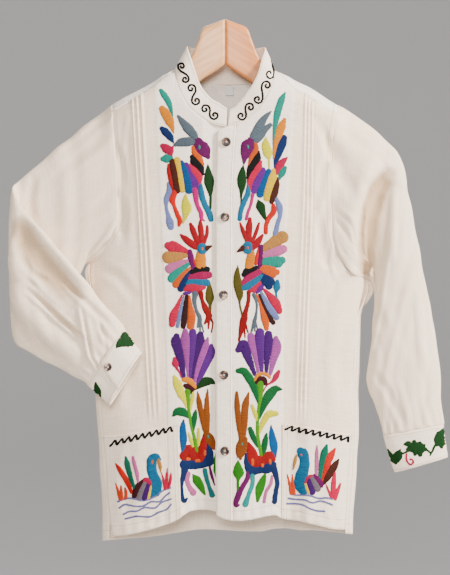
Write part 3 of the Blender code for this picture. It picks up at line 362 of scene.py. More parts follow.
# Placket strip: its left edge; the right one follows the left front.
PLACKET = {
    "z": [-560.0, -450.0, -310.0, -200.0, -125.0],
    "left": [-9.4, -10.2, -10.4, -10.2, -8.8],
}
PLACKET_TOP_LEFT = -124.3
PLACKET_CORNER = (-8.8, 10.0)
PLACKET_TOP_GAP = 0.6
PLACKET_SHARES = (0.0, 0.25, 0.5, 0.75, 1.0)

# Buttons: seen centre on the placket.
BUTTON_CENTRES = [(1.4, -135.3), (0.0, -217.8), (-1.6, -303.6), (-1.1, -391.6), (0.0, -475.2)]
BUTTON_RADIUS = 5.0
BUTTON_THICKNESS = 2.2
# Half of a button's section from the middle below to the middle above.
BUTTON_PROFILE = [
    # radius share, height share
    (0.0, 0.0),
    (0.80, 0.0),
    (0.93, 0.10),
    (1.0, 0.34),
    (1.0, 0.62),
    (0.97, 0.84),
    (0.90, 0.97),
    (0.82, 1.0),
    (0.74, 0.96),
    (0.66, 0.84),
    (0.55, 0.76),
    (0.30, 0.73),
    (0.0, 0.72),
]
CUFF_BUTTON_RADIUS = 4.4
# How far apart the placket is felt for a button's direction, and how far it stands off.
BUTTON_REACH = 4.0
BUTTON_LIFT = 0.35

# Label inside the back neck.
LABEL_BOX = (0.8, 9.2, -84.0, -74.6)

# Hanger, one half from the middle outwards: distance, top, bottom, depth, half thickness.
HANGER_SECTIONS = [
    # x      top     bottom  y     half
    (0.15, 0.0, -50.6, 0.0, 8.5),
    (12.0, -4.6, -58.6, 0.0, 8.5),
    (24.2, -9.9, -66.4, 0.0, 8.2),
    (30.0, -24.0, -70.6, 0.0, 7.8),
    (37.4, -42.0, -76.0, 0.0, 7.2),
    (46.0, -54.0, -81.4, 0.0, 6.4),
    (56.0, -64.5, -86.6, -0.6, 6.0),
    (80.0, -76.5, -97.0, -2.0, 5.6),
    (104.0, -89.5, -106.5, -3.4, 5.2),
    (116.0, -97.6, -109.0, -4.0, 4.4),
]


def curve(xs: Sequence[float], ys: Sequence[float], x: Values) -> np.ndarray:
    """Smooth curve through a table's points that never overshoots them.

    Args:
        xs: rising places of the points.
        ys: their values.
        x: where the curve is wanted.

    Returns:
        The values at x.
    """
    xs = np.asarray(xs, float)
    ys = np.asarray(ys, float)
    x = np.clip(np.asarray(x, float), xs[0], xs[-1])
    step = np.diff(xs)
    slope = np.diff(ys) / step
    tangent = np.zeros_like(ys)
    tangent[0] = slope[0]
    tangent[-1] = slope[-1]
    for i in range(1, len(xs) - 1):
        if slope[i - 1] * slope[i] > 0:
            near = 2 * step[i] + step[i - 1]
            far = step[i] + 2 * step[i - 1]
            tangent[i] = (near + far) / (near / slope[i - 1] + far / slope[i])
    k = np.clip(np.searchsorted(xs, x, side="right") - 1, 0, len(xs) - 2)
    t = (x - xs[k]) / step[k]
    low = (1 + 2 * t) * (1 - t) ** 2 * ys[k] + t * (1 - t) ** 2 * step[k] * tangent[k]
    high = t * t * (3 - 2 * t) * ys[k + 1] + t * t * (t - 1) * step[k] * tangent[k + 1]
    return low + high


def column(table: dict, key: str, value: Values, name: str) -> np.ndarray:
    """The column called name of a table at value of its column called key."""
    return curve(table[key], table[name], value)


def placed(x: Values, y: Values, z: Values) -> np.ndarray:
    """World point, in millimetres, of a seen position at depth y."""
    k = 1.0 + np.asarray(y, float) / EYE_DISTANCE
    return np.stack([x * k, y + 0.0 * k, EYE_HEIGHT + (z - EYE_HEIGHT) * k], axis=-1)


def seen(point: np.ndarray) -> tuple[np.ndarray, np.ndarray]:
    """Seen position of world points."""
    k = 1.0 + point[..., 1] / EYE_DISTANCE
    return point[..., 0] / k, EYE_HEIGHT + (point[..., 2] - EYE_HEIGHT) / k


def bump(distance: Values, half: float) -> np.ndarray:
    """1 in the middle, 0 beyond half, smooth between."""
    t = np.abs(distance) / half
    return np.where(t < 1.0, (1.0 - np.minimum(t, 1.0) ** 2) ** 2, 0.0)


def smooth_step(low: float, high: float, value: Values) -> np.ndarray:
    """0 below low, 1 above high, smooth between."""
    t = np.clip((value - low) / (high - low), 0.0, 1.0)
    return t * t * (3.0 - 2.0 * t)


def near_segment(x: Values, z: Values, start: Point, end: Point) -> tuple[np.ndarray, np.ndarray]:
    """Distance to a segment and the share of the way along it.

    Args:
        x: seen x.
        z: seen z.
        start: one end of the segment.
        end: its other end.

    Returns:
        The distances, and the shares of the way along.
    """
    dx = end[0] - start[0]
    dz = end[1] - start[1]
    share = np.clip(((x - start[0]) * dx + (z - start[1]) * dz) / (dx * dx + dz * dz), 0, 1)
    return np.hypot(x - start[0] - share * dx, z - start[1] - share * dz), share


def near_path(x: Values, z: Values, path: Sequence) -> tuple[np.ndarray, np.ndarray]:
    """Distance to a path of points and the share of the way along it.

    Args:
        x: seen x.
        z: seen z.
        path: corners of the path.

    Returns:
        The distances to the path's nearest segment, and the shares of the way along the path.
    """
    best = np.full(np.shape(x), 1e9)
    where = np.zeros(np.shape(x))
    count = len(path) - 1
    for i in range(count):
        distance, along = near_segment(x, z, path[i], path[i + 1])
        closer = distance < best
        best = np.where(closer, distance, best)
        where = np.where(closer, (i + along) / count, where)
    return best, where


class Side(StrEnum):
    """Side of the picture that a piece is on: the wearer's right is at its left."""

    LEFT = "left"
    RIGHT = "right"

    @property
    def sign(self) -> float:
        """-1 at the picture's left, 1 at its right."""
        return -1.0 if self is Side.LEFT else 1.0

    @property
    def end(self) -> int:
        """Index of this side's end in a row that runs from left to right."""
        return 0 if self is Side.LEFT else -1


class BodyForm:
    """The torso that the two fronts, the back, the placket and the pockets follow."""

    @staticmethod
    def middle(z: Values) -> np.ndarray:
        """Seen x of the silhouette's middle at a height."""
        return 0.5 * (column(BODY, "z", z, "left") + column(BODY, "z", z, "right"))

    @staticmethod
    def half(z: Values) -> np.ndarray:
        """Half the silhouette's width at a height."""
        return 0.5 * (column(BODY, "z", z, "right") - column(BODY, "z", z, "left"))

    @classmethod
    def share(cls, x: Values, z: Values) -> np.ndarray:
        """Position across the body: -1 at the left silhouette, 1 at the right."""
        return np.clip((x - cls.middle(z)) / cls.half(z), -1.0, 1.0)

    @staticmethod
    def rounding(x: Values, z: Values) -> np.ndarray:
        """How far the body stands out below the shoulder ridge.

        Args:
            x: seen x.
            z: seen z.

        Returns:
            0 at the ridge, rising to 1 well below it.
        """
        below = column(RIDGE, "x", x, "z") - z
        share = np.clip(below / column(RIDGE, "x", x, "round"), 0.0, 1.0)
        return np.sqrt(1.0 - (1.0 - share) ** 2)

    @staticmethod
    def flutes(table: Sequence, x: Values, z: Values, foot: float) -> np.ndarray:
        """Soft waves that start at the hem and fade out above it."""
        fade = np.clip(1.0 - np.maximum(0.0, z - foot) / FLUTE_REACH, 0.0, 1.0) ** 2
        return fade * sum(depth * bump(x - centre, half) for centre, half, depth in table)

    @classmethod
    def full(cls, x: Values, z: Values, name: str) -> np.ndarray:
        """Depth of the plain body, without its flutes and folds."""
        share = cls.share(x, z)
        return column(BODY, "z", z, name) * np.sqrt(1.0 - share * share) * cls.rounding(x, z)

    @classmethod
    def front(cls, x: Values, z: Values) -> np.ndarray:
        """Depth of the front's outer surface at a seen position.

        Args:
            x: seen x.
            z: seen z.

        Returns:
            The depth, which is negative towards the viewer.
        """
        y = -cls.full(x, z, "front") + cls.flutes(FLUTES, x, z, FLUTE_FOOT)
        for x0, z0, x1, z1, half, depth in CHEST_FOLDS:
            distance, along = near_segment(x, z, (x0, z0), (x1, z1))
            y = y + depth * bump(distance, half) * (CHEST_FOLD_START
                                                    + (1.0 - CHEST_FOLD_START) * along)
        return y

    @classmethod
    def back(cls, x: Values, z: Values) -> np.ndarray:
        """Depth of the back's outer surface at a seen position."""
        return cls.full(x, z, "back") + cls.flutes(BACK_FLUTES, x, z, BACK_FLUTE_FOOT)

    @classmethod
    def front_point(cls, x: Values, z: Values) -> np.ndarray:
        """World point on the front at a seen position."""
        return placed(x, cls.front(x, z), z)


def panel_levels(over: bool) -> list[float]:
    """Levels of a panel's rows, closer together at both ends of the armhole.

    Args:
        over: whether the rows of the strip over the shoulder are wanted too.

    Returns:
        The levels from the hem up.
    """
    rises = [0.5 * (1 - math.cos(math.pi * i / ARMHOLE_ROWS)) for i in range(ARMHOLE_ROWS + 1)]
    levels = LOWER_LEVELS + [UNDERARM + rise for rise in rises]
    return levels + OVER_LEVELS if over else levels


def side_height(side: Side, which: str, level: float) -> float:
    """Height of a side edge at a level up to the underarm.

    Args:
        side: side of the picture.
        which: front or back, for the hem.
        level: level up the panel.

    Returns:
        Seen z.
    """
    heights = SIDE_LEVELS[side]
    anchors = [heights[which], heights["vent"], heights["pocket"], heights["arm"]]
    return float(np.interp(level, [0.0, VENT, POCKET, UNDERARM], anchors))


def inner_height(x: float, hem: float, top: float, level: float) -> float:
    """Height of a level on a column away from the side edges.

    Args:
        x: seen x of the column.
        hem: height of its foot.
        top: height of its top.
        level: level up the panel.

    Returns:
        Seen z.
    """
    pocket = float(column(POCKET_TOP, "x", x, "z"))
    vent = hem + VENT_SHARE * (pocket - hem)
    arm = np.interp(x, [ARMHOLE["left_front"][0], ARMHOLE["right_front"][0]],
                    [SIDE_LEVELS["left"]["arm"], SIDE_LEVELS["right"]["arm"]])
    return float(np.interp(level, [0.0, VENT, POCKET, UNDERARM, TOP],
                           [hem, vent, pocket, arm, top]))


def seam_drop(x: float) -> float:
    """How far below the ridge the shoulder seam lies, straight between its points."""
    return float(np.interp(x, RIDGE["x"], RIDGE["drop"]))


def front_top(x: float) -> float:
    """Top of a front column: the neckline, or the seam before the shoulder ridge."""
    if FRONT_NECK["x"][0] < x < FRONT_NECK["x"][-1]:
        return float(column(FRONT_NECK, "x", x, "z"))
    return float(column(RIDGE, "x", x, "z")) - seam_drop(x)


def front_edge(side: Side, level: float) -> Point:
    """Seen position of the front's outer edge at a level.

    Args:
        side: side of the picture.
        level: level up the panel.

    Returns:
        Seen x and z.
    """
    if level >= UNDERARM:
        x = float(column(ARMHOLE, "rise", level - UNDERARM, side + "_front"))
        arm = SIDE_LEVELS[side]["arm"]
        top = front_top(RIDGE["x"][side.end])
        return x, arm + (top - arm) * (level - UNDERARM)
    z = side_height(side, "front", level)
    if level < VENT:
        return float(column(VENT_EDGE, "z", z, side)), z
    inset = float(column(SEAM_INSET, "z", z, side))
    return float(column(BODY, "z", z, side)) - side.sign * inset, z


def guide_x(guide: tuple, z: Values) -> np.ndarray:
    """Seen x of one of a front's lines at a height."""
    return curve(GUIDE_HEIGHTS, guide[1:], z)


@dataclass(frozen=True)
class Spread:
    """Where fine rows or columns lie between the ones of a table: index and share."""

    index: np.ndarray
    share: np.ndarray

    @classmethod
    def over(cls, lengths: np.ndarray, step: float, at_least: int = 1) -> "Spread":
        """Even steps within each interval of the given lengths.

        Args:
            lengths: lengths of the table's intervals.
            step: length of a fine step.
            at_least: fewest steps in an interval.

        Returns:
            The places of the fine rows or columns.
        """
        index = []
        share = []
        for k, length in enumerate(lengths):
            count = max(at_least, int(round(length / step)))
            index += [k] * count
            share += [i / count for i in range(count)]
        return cls(np.array(index + [len(lengths) - 1]), np.array(share + [1.0]))

    def smooth(self, values: np.ndarray, lengths: np.ndarray, ring: bool = False) -> np.ndarray:
        """Values along axis 0 through all the given ones, with no kink at them.

        Args:
            values: values at the table's rows or columns, along axis 0.
            lengths: distances between them.
            ring: whether the last is followed by the first.

        Returns:
            Values at the fine places.
        """
        shape = (-1,) + (1,) * (values.ndim - 1)
        places = np.concatenate([[0.0], np.cumsum(np.maximum(lengths, 1e-3))])
        if ring:
            values = np.concatenate([values[-1:], values, values[:2]])
            places = np.concatenate([[places[0] - lengths[-1]], places, [places[-1] + lengths[0]]])
        tangent = np.gradient(values, places, axis=0)
        if ring:
            values, tangent, places = values[1:-1], tangent[1:-1], places[1:-1]
        k = self.index
        t = self.share.reshape(shape)
        step = np.diff(places)[k].reshape(shape)
        low = (1 + 2 * t) * (1 - t) ** 2 * values[k] + t * (1 - t) ** 2 * step * tangent[k]
        high = t * t * (3 - 2 * t) * values[k + 1] + t * t * (t - 1) * step * tangent[k + 1]
        return low + high

    def straight(self, values: np.ndarray) -> np.ndarray:
        """Values along axis 0, straight between the given ones."""
        t = self.share.reshape((-1,) + (1,) * (values.ndim - 1))
        return values[self.index] * (1 - t) + values[self.index + 1] * t


def mean_lengths(points: np.ndarray, axis: int) -> np.ndarray:
    """Mean distance between neighbouring rows (axis 0) or columns (axis 1)."""
    return np.linalg.norm(np.diff(points, axis=axis), axis=2).mean(axis=1 - axis)


def columns_first(apply: Callable[..., np.ndarray], values: np.ndarray, *rest) -> np.ndarray:
    """Apply something that works along axis 0 to the columns of a table instead."""
    return apply(values.swapaxes(0, 1), *rest).swapaxes(0, 1)


@dataclass(frozen=True)
class Refinement:
    """The fine rows and columns that a piece's coarse table is filled in with."""

    rows: Spread
    columns: Spread
    down: np.ndarray
    across: np.ndarray

    @classmethod
    def over(cls, points: np.ndarray, grain: float, step: Optional[float] = None,
             at_least: int = 1) -> "Refinement":
        """Even steps of about a grain down and a step across a table of points.

        Args:
            points: the table's world points, in millimetres.
            grain: step between rows, and between columns unless a step is given.
            step: step between columns.
            at_least: fewest steps between two columns.

        Returns:
            The refinement.
        """
        down = mean_lengths(points, 0)
        across = mean_lengths(points, 1)
        return cls(Spread.over(down, grain), Spread.over(across, step or grain, at_least),
                   down, across)

    def smooth(self, values: np.ndarray) -> np.ndarray:
        """Values of the table at the fine rows and columns, with no kinks."""
        fine = self.rows.smooth(values, self.down)
        return columns_first(self.columns.smooth, fine, self.across)

    def straight(self, values: np.ndarray) -> np.ndarray:
        """Values of the table at the fine rows and columns, straight between."""
        return columns_first(self.columns.straight, self.rows.straight(values))


class Face(Enum):
    """The side of a tube or panel that a crease is pressed into."""

    SEEN = "towards the viewer"
    HIDDEN = "away from the viewer"


# A crease's ends taper over this share of it; its banks: place, width, share of height.
CREASE_TAPER = 0.22
BANK_PLACE = 1.25
BANK_WIDTH = 0.8
BANK_SHARE = 0.3
# How squarely cloth has to face the viewer for a crease to start and to be full.
FACING = (-0.05, 0.35)
ROW_FADE = 0.6

# Painted shade in folds: a fold this deep starts to darken the cloth in it, and this much further is its
# full painted shade, mm.
CREASE_SHADE_FROM = 0.8
CREASE_SHADE_SPAN = 4.5


@dataclass(frozen=True)
class Crease:
    """A fold: its line as seen, half width and height (below 0 goes in)."""

    path: tuple[tuple[float, float], ...]
    half: float
    height: float
    face: Face = Face.SEEN
    rows: tuple[float, float] = (-1.0, 99.0)

    def relief(self, x: Values, z: Values, facing: np.ndarray, row: np.ndarray) -> np.ndarray:
        """Height of the fold at seen positions.

        Args:
            x: seen x of the points.
            z: seen z.
            facing: y of the way out at each point.
            row: row of the piece's own table, with its share.

        Returns:
            The height to add.
        """
        distance, along = near_path(x, z, self.path)
        end = np.sqrt(np.clip(np.minimum(along, 1.0 - along) / CREASE_TAPER, 0.0, 1.0))
        core = bump(distance, self.half)
        bank = bump(distance - BANK_PLACE * self.half, BANK_WIDTH * self.half)
        size = self.height * end * (core - BANK_SHARE * bank)
        size = size * smooth_step(*FACING, -facing if self.face is Face.SEEN else facing)
        low, high = self.rows
        start = smooth_step(low - ROW_FADE, low, row)
        return size * start * (1.0 - smooth_step(high, high + ROW_FADE, row))


def px_path(*points: tuple[float, float]) -> tuple[tuple[float, float], ...]:
    """Seen millimetres of places given in the picture's own pixels."""
    left, top = PICTURE_ORIGIN
    return tuple(((x - left) * PIXEL, (top - y) * PIXEL) for x, y in points)


@dataclass(frozen=True)
class Unevenness:
    """Slight waviness of worn cloth: waves in many directions with a fixed seed."""

    seed: int
    size: float = 0.25
    shortest: float = 16.0
    longest: float = 75.0
    count: int = 14
    spread: float = 0.55

    def relief(self, u: np.ndarray, v: np.ndarray) -> np.ndarray:
        """Height at lengths u across and v along the cloth.

        Args:
            u: lengths across the cloth.
            v: lengths along it.

        Returns:
            The height to add.
        """
        dice = np.random.default_rng(SEED + self.seed)
        total = np.zeros(np.shape(u))
        for _ in range(self.count):
            wave = dice.uniform(self.shortest, self.longest)
            turn = dice.normal(0.0, self.spread)
            phase = dice.uniform(0.0, 2 * math.pi)
            way = u * math.cos(turn) + v * math.sin(turn)
            total += (wave / self.longest) * np.sin(2 * math.pi * way / wave + phase)
        return self.size * total / math.sqrt(self.count) * 2.0


# How far a shell's edge bulges past its faces, as a share of its thickness.
EDGE_ROUND = 0.4


@dataclass
class Cloth:
    """A fine grid of cloth with its thickness, in millimetres."""

    name: str
    points: np.ndarray
    outwards: Callable[[np.ndarray], Sequence[float]]
    ring: bool = False
    wall: float = 0.9
    rows: Optional[np.ndarray] = None
    tint: np.ndarray = field(init=False)
    # Painted shade in folds, from none to full, at every point.
    crease_shade: np.ndarray = field(init=False)
    normals: np.ndarray = field(init=False)

    def __post_init__(self) -> None:
        """Find the way out, and fill in what wasn't given."""
        self.find_normals()
        if self.rows is None:
            self.rows = np.zeros(self.points.shape[0])
        self.tint = np.zeros(self.points.shape[:2])
        self.crease_shade = np.zeros(self.points.shape[:2])

    def find_normals(self) -> None:
        """The way out at every point."""
        p = self.points
        if self.ring:
            across = np.roll(p, -1, axis=1) - np.roll(p, 1, axis=1)
        else:
            across = np.gradient(p, axis=1)
        normals = np.cross(across, np.gradient(p, axis=0))
        length = np.linalg.norm(normals, axis=2, keepdims=True)
        normals = normals / np.maximum(length, 1e-9)
        middle = normals[normals.shape[0] // 2, normals.shape[1] // 2]
        self.normals = -normals if np.dot(middle, self.outwards(p)) < 0 else normals

    def lengths(self) -> tuple[np.ndarray, np.ndarray]:
        """Length across from the first column, and along from the first row.

        Returns:
            Both in millimetres, for every point.
        """
        p = self.points
        u = np.zeros(p.shape[:2])
        v = np.zeros(p.shape[:2])
        u[:, 1:] = np.cumsum(np.linalg.norm(np.diff(p, axis=1), axis=2), axis=1)
        v[1:, :] = np.cumsum(np.linalg.norm(np.diff(p, axis=0), axis=2), axis=0)
        return u, v

    def raise_by(self, height: np.ndarray) -> None:
        """Move every point out along its normal."""
        self.points = self.points + self.normals * height[:, :, None]
        self.find_normals()

    def press(self, creases: Sequence[Crease]) -> None:
        """Lay the given folds into the piece.

        Args:
            creases: the folds.
        """
        x, z = seen(self.points)
        row = np.repeat(self.rows[:, None], self.points.shape[1], axis=1)
        total = np.zeros(x.shape)
        for crease in creases:
            total += crease.relief(x, z, self.normals[:, :, 1], row)
        self.raise_by(total)
        # Painted shade: the deeper the cloth lies in a fold, the darker it is painted.
        self.crease_shade = self.crease_shade + np.clip((-total - CREASE_SHADE_FROM) / CREASE_SHADE_SPAN, 0.0, 1.0)

    def line(self, edge: str, inset: float) -> np.ndarray:
        """The path at a length in from an edge: first_row, last_row, first_column, last_column.

        Args:
            edge: first_row, last_row, first_column or last_column.
            inset: length in from the edge, in millimetres.

        Returns:
            The path's points.
        """
        p = self.points if edge.endswith("row") else self.points.transpose(1, 0, 2)
        p = p if edge.startswith("first") else p[::-1]
        steps = np.linalg.norm(np.diff(p, axis=0), axis=2)
        run = np.concatenate([np.zeros((1, p.shape[1])), np.cumsum(steps, axis=0)])
        path = []
        for j in range(p.shape[1]):
            path.append([np.interp(inset, run[:, j], p[:, j, k]) for k in range(3)])
        return np.array(path)

    @staticmethod
    def open_quads(index: np.ndarray) -> np.ndarray:
        """Quads of a grid of point numbers that isn't closed round."""
        return np.stack([index[:-1, :-1], index[:-1, 1:], index[1:, 1:], index[1:, :-1]], axis=-1)

    def index(self) -> np.ndarray:
        """Number of every point, row by row."""
        rows, columns = self.points.shape[:2]
        return np.arange(rows * columns).reshape(rows, columns)

    def tree(self) -> BVHTree:
        """Search tree of the outer face, in metres."""
        quads = self.open_quads(self.index()).reshape(-1, 4)
        return BVHTree.FromPolygons((self.points * MM).reshape(-1, 3).tolist(), quads.tolist())

    def shell(self) -> tuple[np.ndarray, np.ndarray, np.ndarray]:
        """Points and quads of the closed shell with rounded edges, and each point's source.

        Returns:
            The points in millimetres, the quads, and the grid point that each point comes from.
        """
        rows, columns = self.points.shape[:2]
        inner = self.points - self.normals * self.wall
        index = self.index()
        count = index.size
        if self.ring:
            right = np.roll(index, -1, axis=1)
            quads = np.stack([index[:-1], right[:-1], right[1:], index[1:]], axis=-1)
            loops = [(index[0], index[1]), (index[-1], index[-2])]
        else:
            quads = self.open_quads(index)
            rim = np.concatenate([index[0, :-1], index[:-1, -1], index[-1, :0:-1],
                                  index[:0:-1, 0]])
            near = np.concatenate([index[1, :-1], index[:-1, -2], index[-2, :0:-1],
                                   index[:0:-1, 1]])
            near[0] = index[1, 1]
            near[columns - 1] = index[1, -2]
            near[columns + rows - 2] = index[-2, -2]
            near[2 * columns + rows - 3] = index[-2, 1]
            loops = [(rim, near)]
        quads = quads.reshape(-1, 4)
        faces = [quads, quads[:, ::-1] + count]
        flat = self.points.reshape(-1, 3)
        under = inner.reshape(-1, 3)
        vertices = [flat, under]
        source = [index.ravel(), index.ravel()]
        base = 2 * count
        for loop, near in loops:
            way = flat[loop] - flat[near]
            way = way / np.maximum(np.linalg.norm(way, axis=1, keepdims=True), 1e-6)
            vertices.append(0.5 * (flat[loop] + under[loop]) + way * self.wall * EDGE_ROUND)
            source.append(loop)
            middle = np.arange(base, base + len(loop))
            after = np.roll(loop, -1)
            beyond = np.roll(middle, -1)
            faces.append(np.stack([after, loop, middle, beyond], axis=-1))
            faces.append(np.stack([beyond, middle, loop + count, after + count], axis=-1))
            base += len(loop)
        return np.concatenate(vertices), np.concatenate(faces), np.concatenate(source)

    def make(self) -> bpy.types.Object:
        """The mesh object, with lengths as its UV map, and its tint and painted crease shade as
        attributes.

        Returns:
            The object, not yet finished with a material.
        """
        vertices, faces, source = self.shell()
        made = new_object(self.name, vertices * MM, faces)
        lengths = np.stack([side.ravel()[source] for side in self.lengths()], axis=-1)
        set_lengths(made.data, lengths * MM)
        for name, values in (("tint", self.tint), ("crease_shade", self.crease_shade)):
            layer = made.data.attributes.new(name, "FLOAT", "POINT")
            layer.data.foreach_set("value", values.ravel()[source].astype(np.float32))
        return made


def new_object(name: str, vertices: np.ndarray, faces: Sequence[Sequence[int]],
               smooth: bool = True) -> bpy.types.Object:
    """A mesh object with its normals outwards.

    Args:
        name: of the piece.
        vertices: points in metres.
        faces: vertex numbers of each face.
        smooth: shaded smooth.

    Returns:
        The object, in the scene.
    """
    mesh = bpy.data.meshes.new(name)
    mesh.from_pydata(np.asarray(vertices).tolist(), [], [list(map(int, f)) for f in faces])
    work = bmesh.new()
    work.from_mesh(mesh)
    bmesh.ops.recalc_face_normals(work, faces=work.faces)
    work.to_mesh(mesh)
    work.free()
    mesh.polygons.foreach_set("use_smooth", [smooth] * len(mesh.polygons))
    return linked(name, mesh)


def linked(name: str, data: bpy.types.ID) -> bpy.types.Object:
    """A new object in the scene with the given mesh, lamp or camera.

    Args:
        name: of the object.
        data: its mesh, lamp or camera.

    Returns:
        The object.
    """
    made = bpy.data.objects.new(name, data)
    bpy.context.scene.collection.objects.link(made)
    return made


def baked(source: bpy.types.Object, *spares: bpy.types.Object) -> bpy.types.Mesh:
    """The mesh of an object with its modifiers applied; it and the spares are removed.

    Args:
        source: object with live modifiers.
        spares: other objects that are only needed for it.

    Returns:
        The final mesh.
    """
    graph = bpy.context.evaluated_depsgraph_get()
    mesh = bpy.data.meshes.new_from_object(source.evaluated_get(graph))
    for spare in (source, *spares):
        bpy.data.objects.remove(spare, do_unlink=True)
    return mesh


def circle(sides: int) -> list[Point]:
    """Cosine and sine of every corner of a regular polygon."""
    turns = [2 * math.pi * i / sides for i in range(sides)]
    return [(math.cos(turn), math.sin(turn)) for turn in turns]


def tube_faces(rings: int, sides: int, base: int = 0) -> list[tuple[int, ...]]:
    """Quads between rings of points that follow each other.

    Args:
        rings: number of rings.
        sides: points in each ring.
        base: number of the first point.

    Returns:
        The quads.
    """
    faces = []
    for k in range(rings - 1):
        for i in range(sides):
            j = (i + 1) % sides
            a, b = base + k * sides, base + (k + 1) * sides
            faces.append((a + i, a + j, b + j, b + i))
    return faces


def set_lengths(mesh: bpy.types.Mesh, lengths: np.ndarray) -> None:
    """Give a mesh a UV map of lengths, in metres.

    Args:
        mesh: mesh of the piece.
        lengths: length across and along at every point.
    """
    layer = mesh.uv_layers.new(name="lengths")
    loops = np.zeros(len(mesh.loops), dtype=np.int32)
    mesh.loops.foreach_get("vertex_index", loops)
    layer.data.foreach_set("uv", lengths[loops].astype(np.float32).ravel())


@dataclass
class FrontPanel:
    """One front with its three pin-tucks, from the centre outwards."""

    name: str
    side: Side
    guides: list[tuple]
    creases: tuple[Crease, ...]
    seed: int
    flat: Point
    area: float
    grain: float = 2.2
    tuck_step: float = 1.2
    tuck_start: float = 0.12
    band_white: float = 0.55
    band_ridge: float = 0.45
    pucker: float = 0.22
    hem_pucker: float = 0.3
    groove: float = 0.95
    row_levels: np.ndarray = field(init=False)
    column_places: np.ndarray = field(init=False)

    def columns(self) -> list[tuple]:
        """Lines of the panel: guide, shift of x and raise, with two to each tuck.

        Returns:
            Guide, shift of x and raise of each column.
        """
        found = []
        for guide in self.guides:
            if guide[0] in TUCKS:
                found.append((guide, -self.side.sign * TUCK_FACE, TUCK_HEIGHT))
            found.append((guide, 0.0, 0.0))
        return found

    def off_band(self, x: np.ndarray, z: np.ndarray) -> np.ndarray:
        """How far inside the whiter centre band each seen position is."""
        band = guide_x(next(guide for guide in self.guides if guide[0] == "band"), z)
        return np.abs(band) - np.abs(x)

    def table_points(self) -> tuple[np.ndarray, np.ndarray, np.ndarray]:
        """Seen positions, raises and drops at the table's own rows and columns.

        Returns:
            Seen positions, raises and drops, row by row.
        """
        points, raises, drops = [], [], []
        end = RIDGE["x"][self.side.end]
        for level in panel_levels(False):
            edge_x, edge_z = front_edge(self.side, level)
            row, lift, drop = [], [], []
            last_x = 0.0
            for guide, shift, height in self.columns():
                x = guide[-1]
                top = front_top(x + shift)
                for _ in range(2):
                    z = inner_height(x, float(column(FRONT_HEM, "x", x, "z")), top, level)
                    x = float(guide_x(guide, z)) + shift
                if level == TOP:
                    x = guide[-1] + shift
                    z = top
                row.append((x, z))
                lift.append(height * min(1.0, max(0.0, (level - POCKET) / self.tuck_start)))
                drop.append(-UNDERLAP_DROP if guide[0] in ("underlap", "fold_back") else 0.0)
                last_x = x
            for share in SIDE_FRACTIONS:
                x = last_x + (edge_x - last_x) * share
                top = front_top(self.guides[-1][-1] + (end - self.guides[-1][-1]) * share)
                inside = inner_height(x, float(column(FRONT_HEM, "x", x, "z")), top, level)
                pull = share ** 2 * min(1.0, TOP - level)
                z = edge_z if share == 1.0 else inside + (edge_z - inside) * pull
                row.append((x, z))
                lift.append(0.0)
                drop.append(0.0)
            points.append(row)
            raises.append(lift)
            drops.append(drop)
        return np.array(points), np.array(raises), np.array(drops)

    def cloth(self) -> Cloth:
        """The panel as fine cloth, with its tucks, band seam and creases.

        Returns:
            The cloth.
        """
        seen_points, raises, drops = self.table_points()
        fine = Refinement.over(BodyForm.front_point(seen_points[..., 0], seen_points[..., 1]),
                               self.grain, self.tuck_step, 2)
        x, z = np.moveaxis(fine.smooth(seen_points), -1, 0)
        self.row_levels = fine.rows.straight(np.array(panel_levels(False)))
        self.column_places = fine.columns.index + fine.columns.share
        made = Cloth(self.name, BodyForm.front_point(x, z), lambda p: (0.0, -1.0, 0.0),
                     rows=self.row_levels)
        height = fine.straight(drops) + fine.straight(raises)
        height += Unevenness(self.seed).relief(x, z)
        height += self.band_seam(x, z)
        height += self.tuck_grooves(x, z)
        height += self.puckers(x, z)
        made.raise_by(height)
        made.press(self.creases)
        made.tint = self.band_white * smooth_step(-1.2, 1.2, self.off_band(x, z))
        return made

    def band_seam(self, x: Values, z: Values) -> np.ndarray:
        """The edge of the whiter centre band: a small ridge with a groove beside it.

        Args:
            x: seen x.
            z: seen z.

        Returns:
            The height to add.
        """
        off = self.off_band(x, z)
        return self.band_ridge * smooth_step(-0.7, 0.7, off) - self.band_ridge * smooth_step(
            2.0, 14.0, off)

    def tuck_grooves(self, x: Values, z: Values) -> np.ndarray:
        """The sewn line at each tuck's foot, drawn in a little on both sides.

        Args:
            x: seen x.
            z: seen z.

        Returns:
            The height to add.
        """
        total = np.zeros(x.shape)
        for guide in self.guides:
            if guide[0] in TUCKS:
                off = (x - guide_x(guide, z)) * self.side.sign
                total -= self.groove * bump(off - 1.1, 1.5)
                total += 0.45 * self.groove * bump(off + 1.6, 1.6)
        return total * smooth_step(POCKET + 0.05, POCKET + 0.2, self.row_levels)[:, None]

    def puckers(self, x: Values, z: Values) -> np.ndarray:
        """Short ripples beside the tuck seams, the band's seam and the hem.

        Args:
            x: seen x.
            z: seen z.

        Returns:
            The height to add.
        """
        dice = np.random.default_rng(SEED + self.seed + 50)
        total = np.zeros(x.shape)
        for guide in self.guides:
            if guide[0] in ("band", *TUCKS):
                off = x - guide_x(guide, z)
                wave = dice.uniform(7.0, 10.0)
                drift = dice.uniform(0, 6.0) + 2.0 * np.sin(z / 37.0 + dice.uniform(0, 6.0))
                ripple = np.sin(2 * math.pi * z / wave + drift) * (0.6 + 0.4 * np.sin(z / 23.0))
                total += self.pucker * ripple * bump(off, 6.5)
        hem = smooth_step(0.0, 0.02, self.row_levels) * (1 - smooth_step(0.2, 0.6, self.row_levels))
        ripple = np.sin(2 * math.pi * x / 11.0 + 2.0 * np.sin(x / 31.0))
        return total + self.hem_pucker * hem[:, None] * ripple


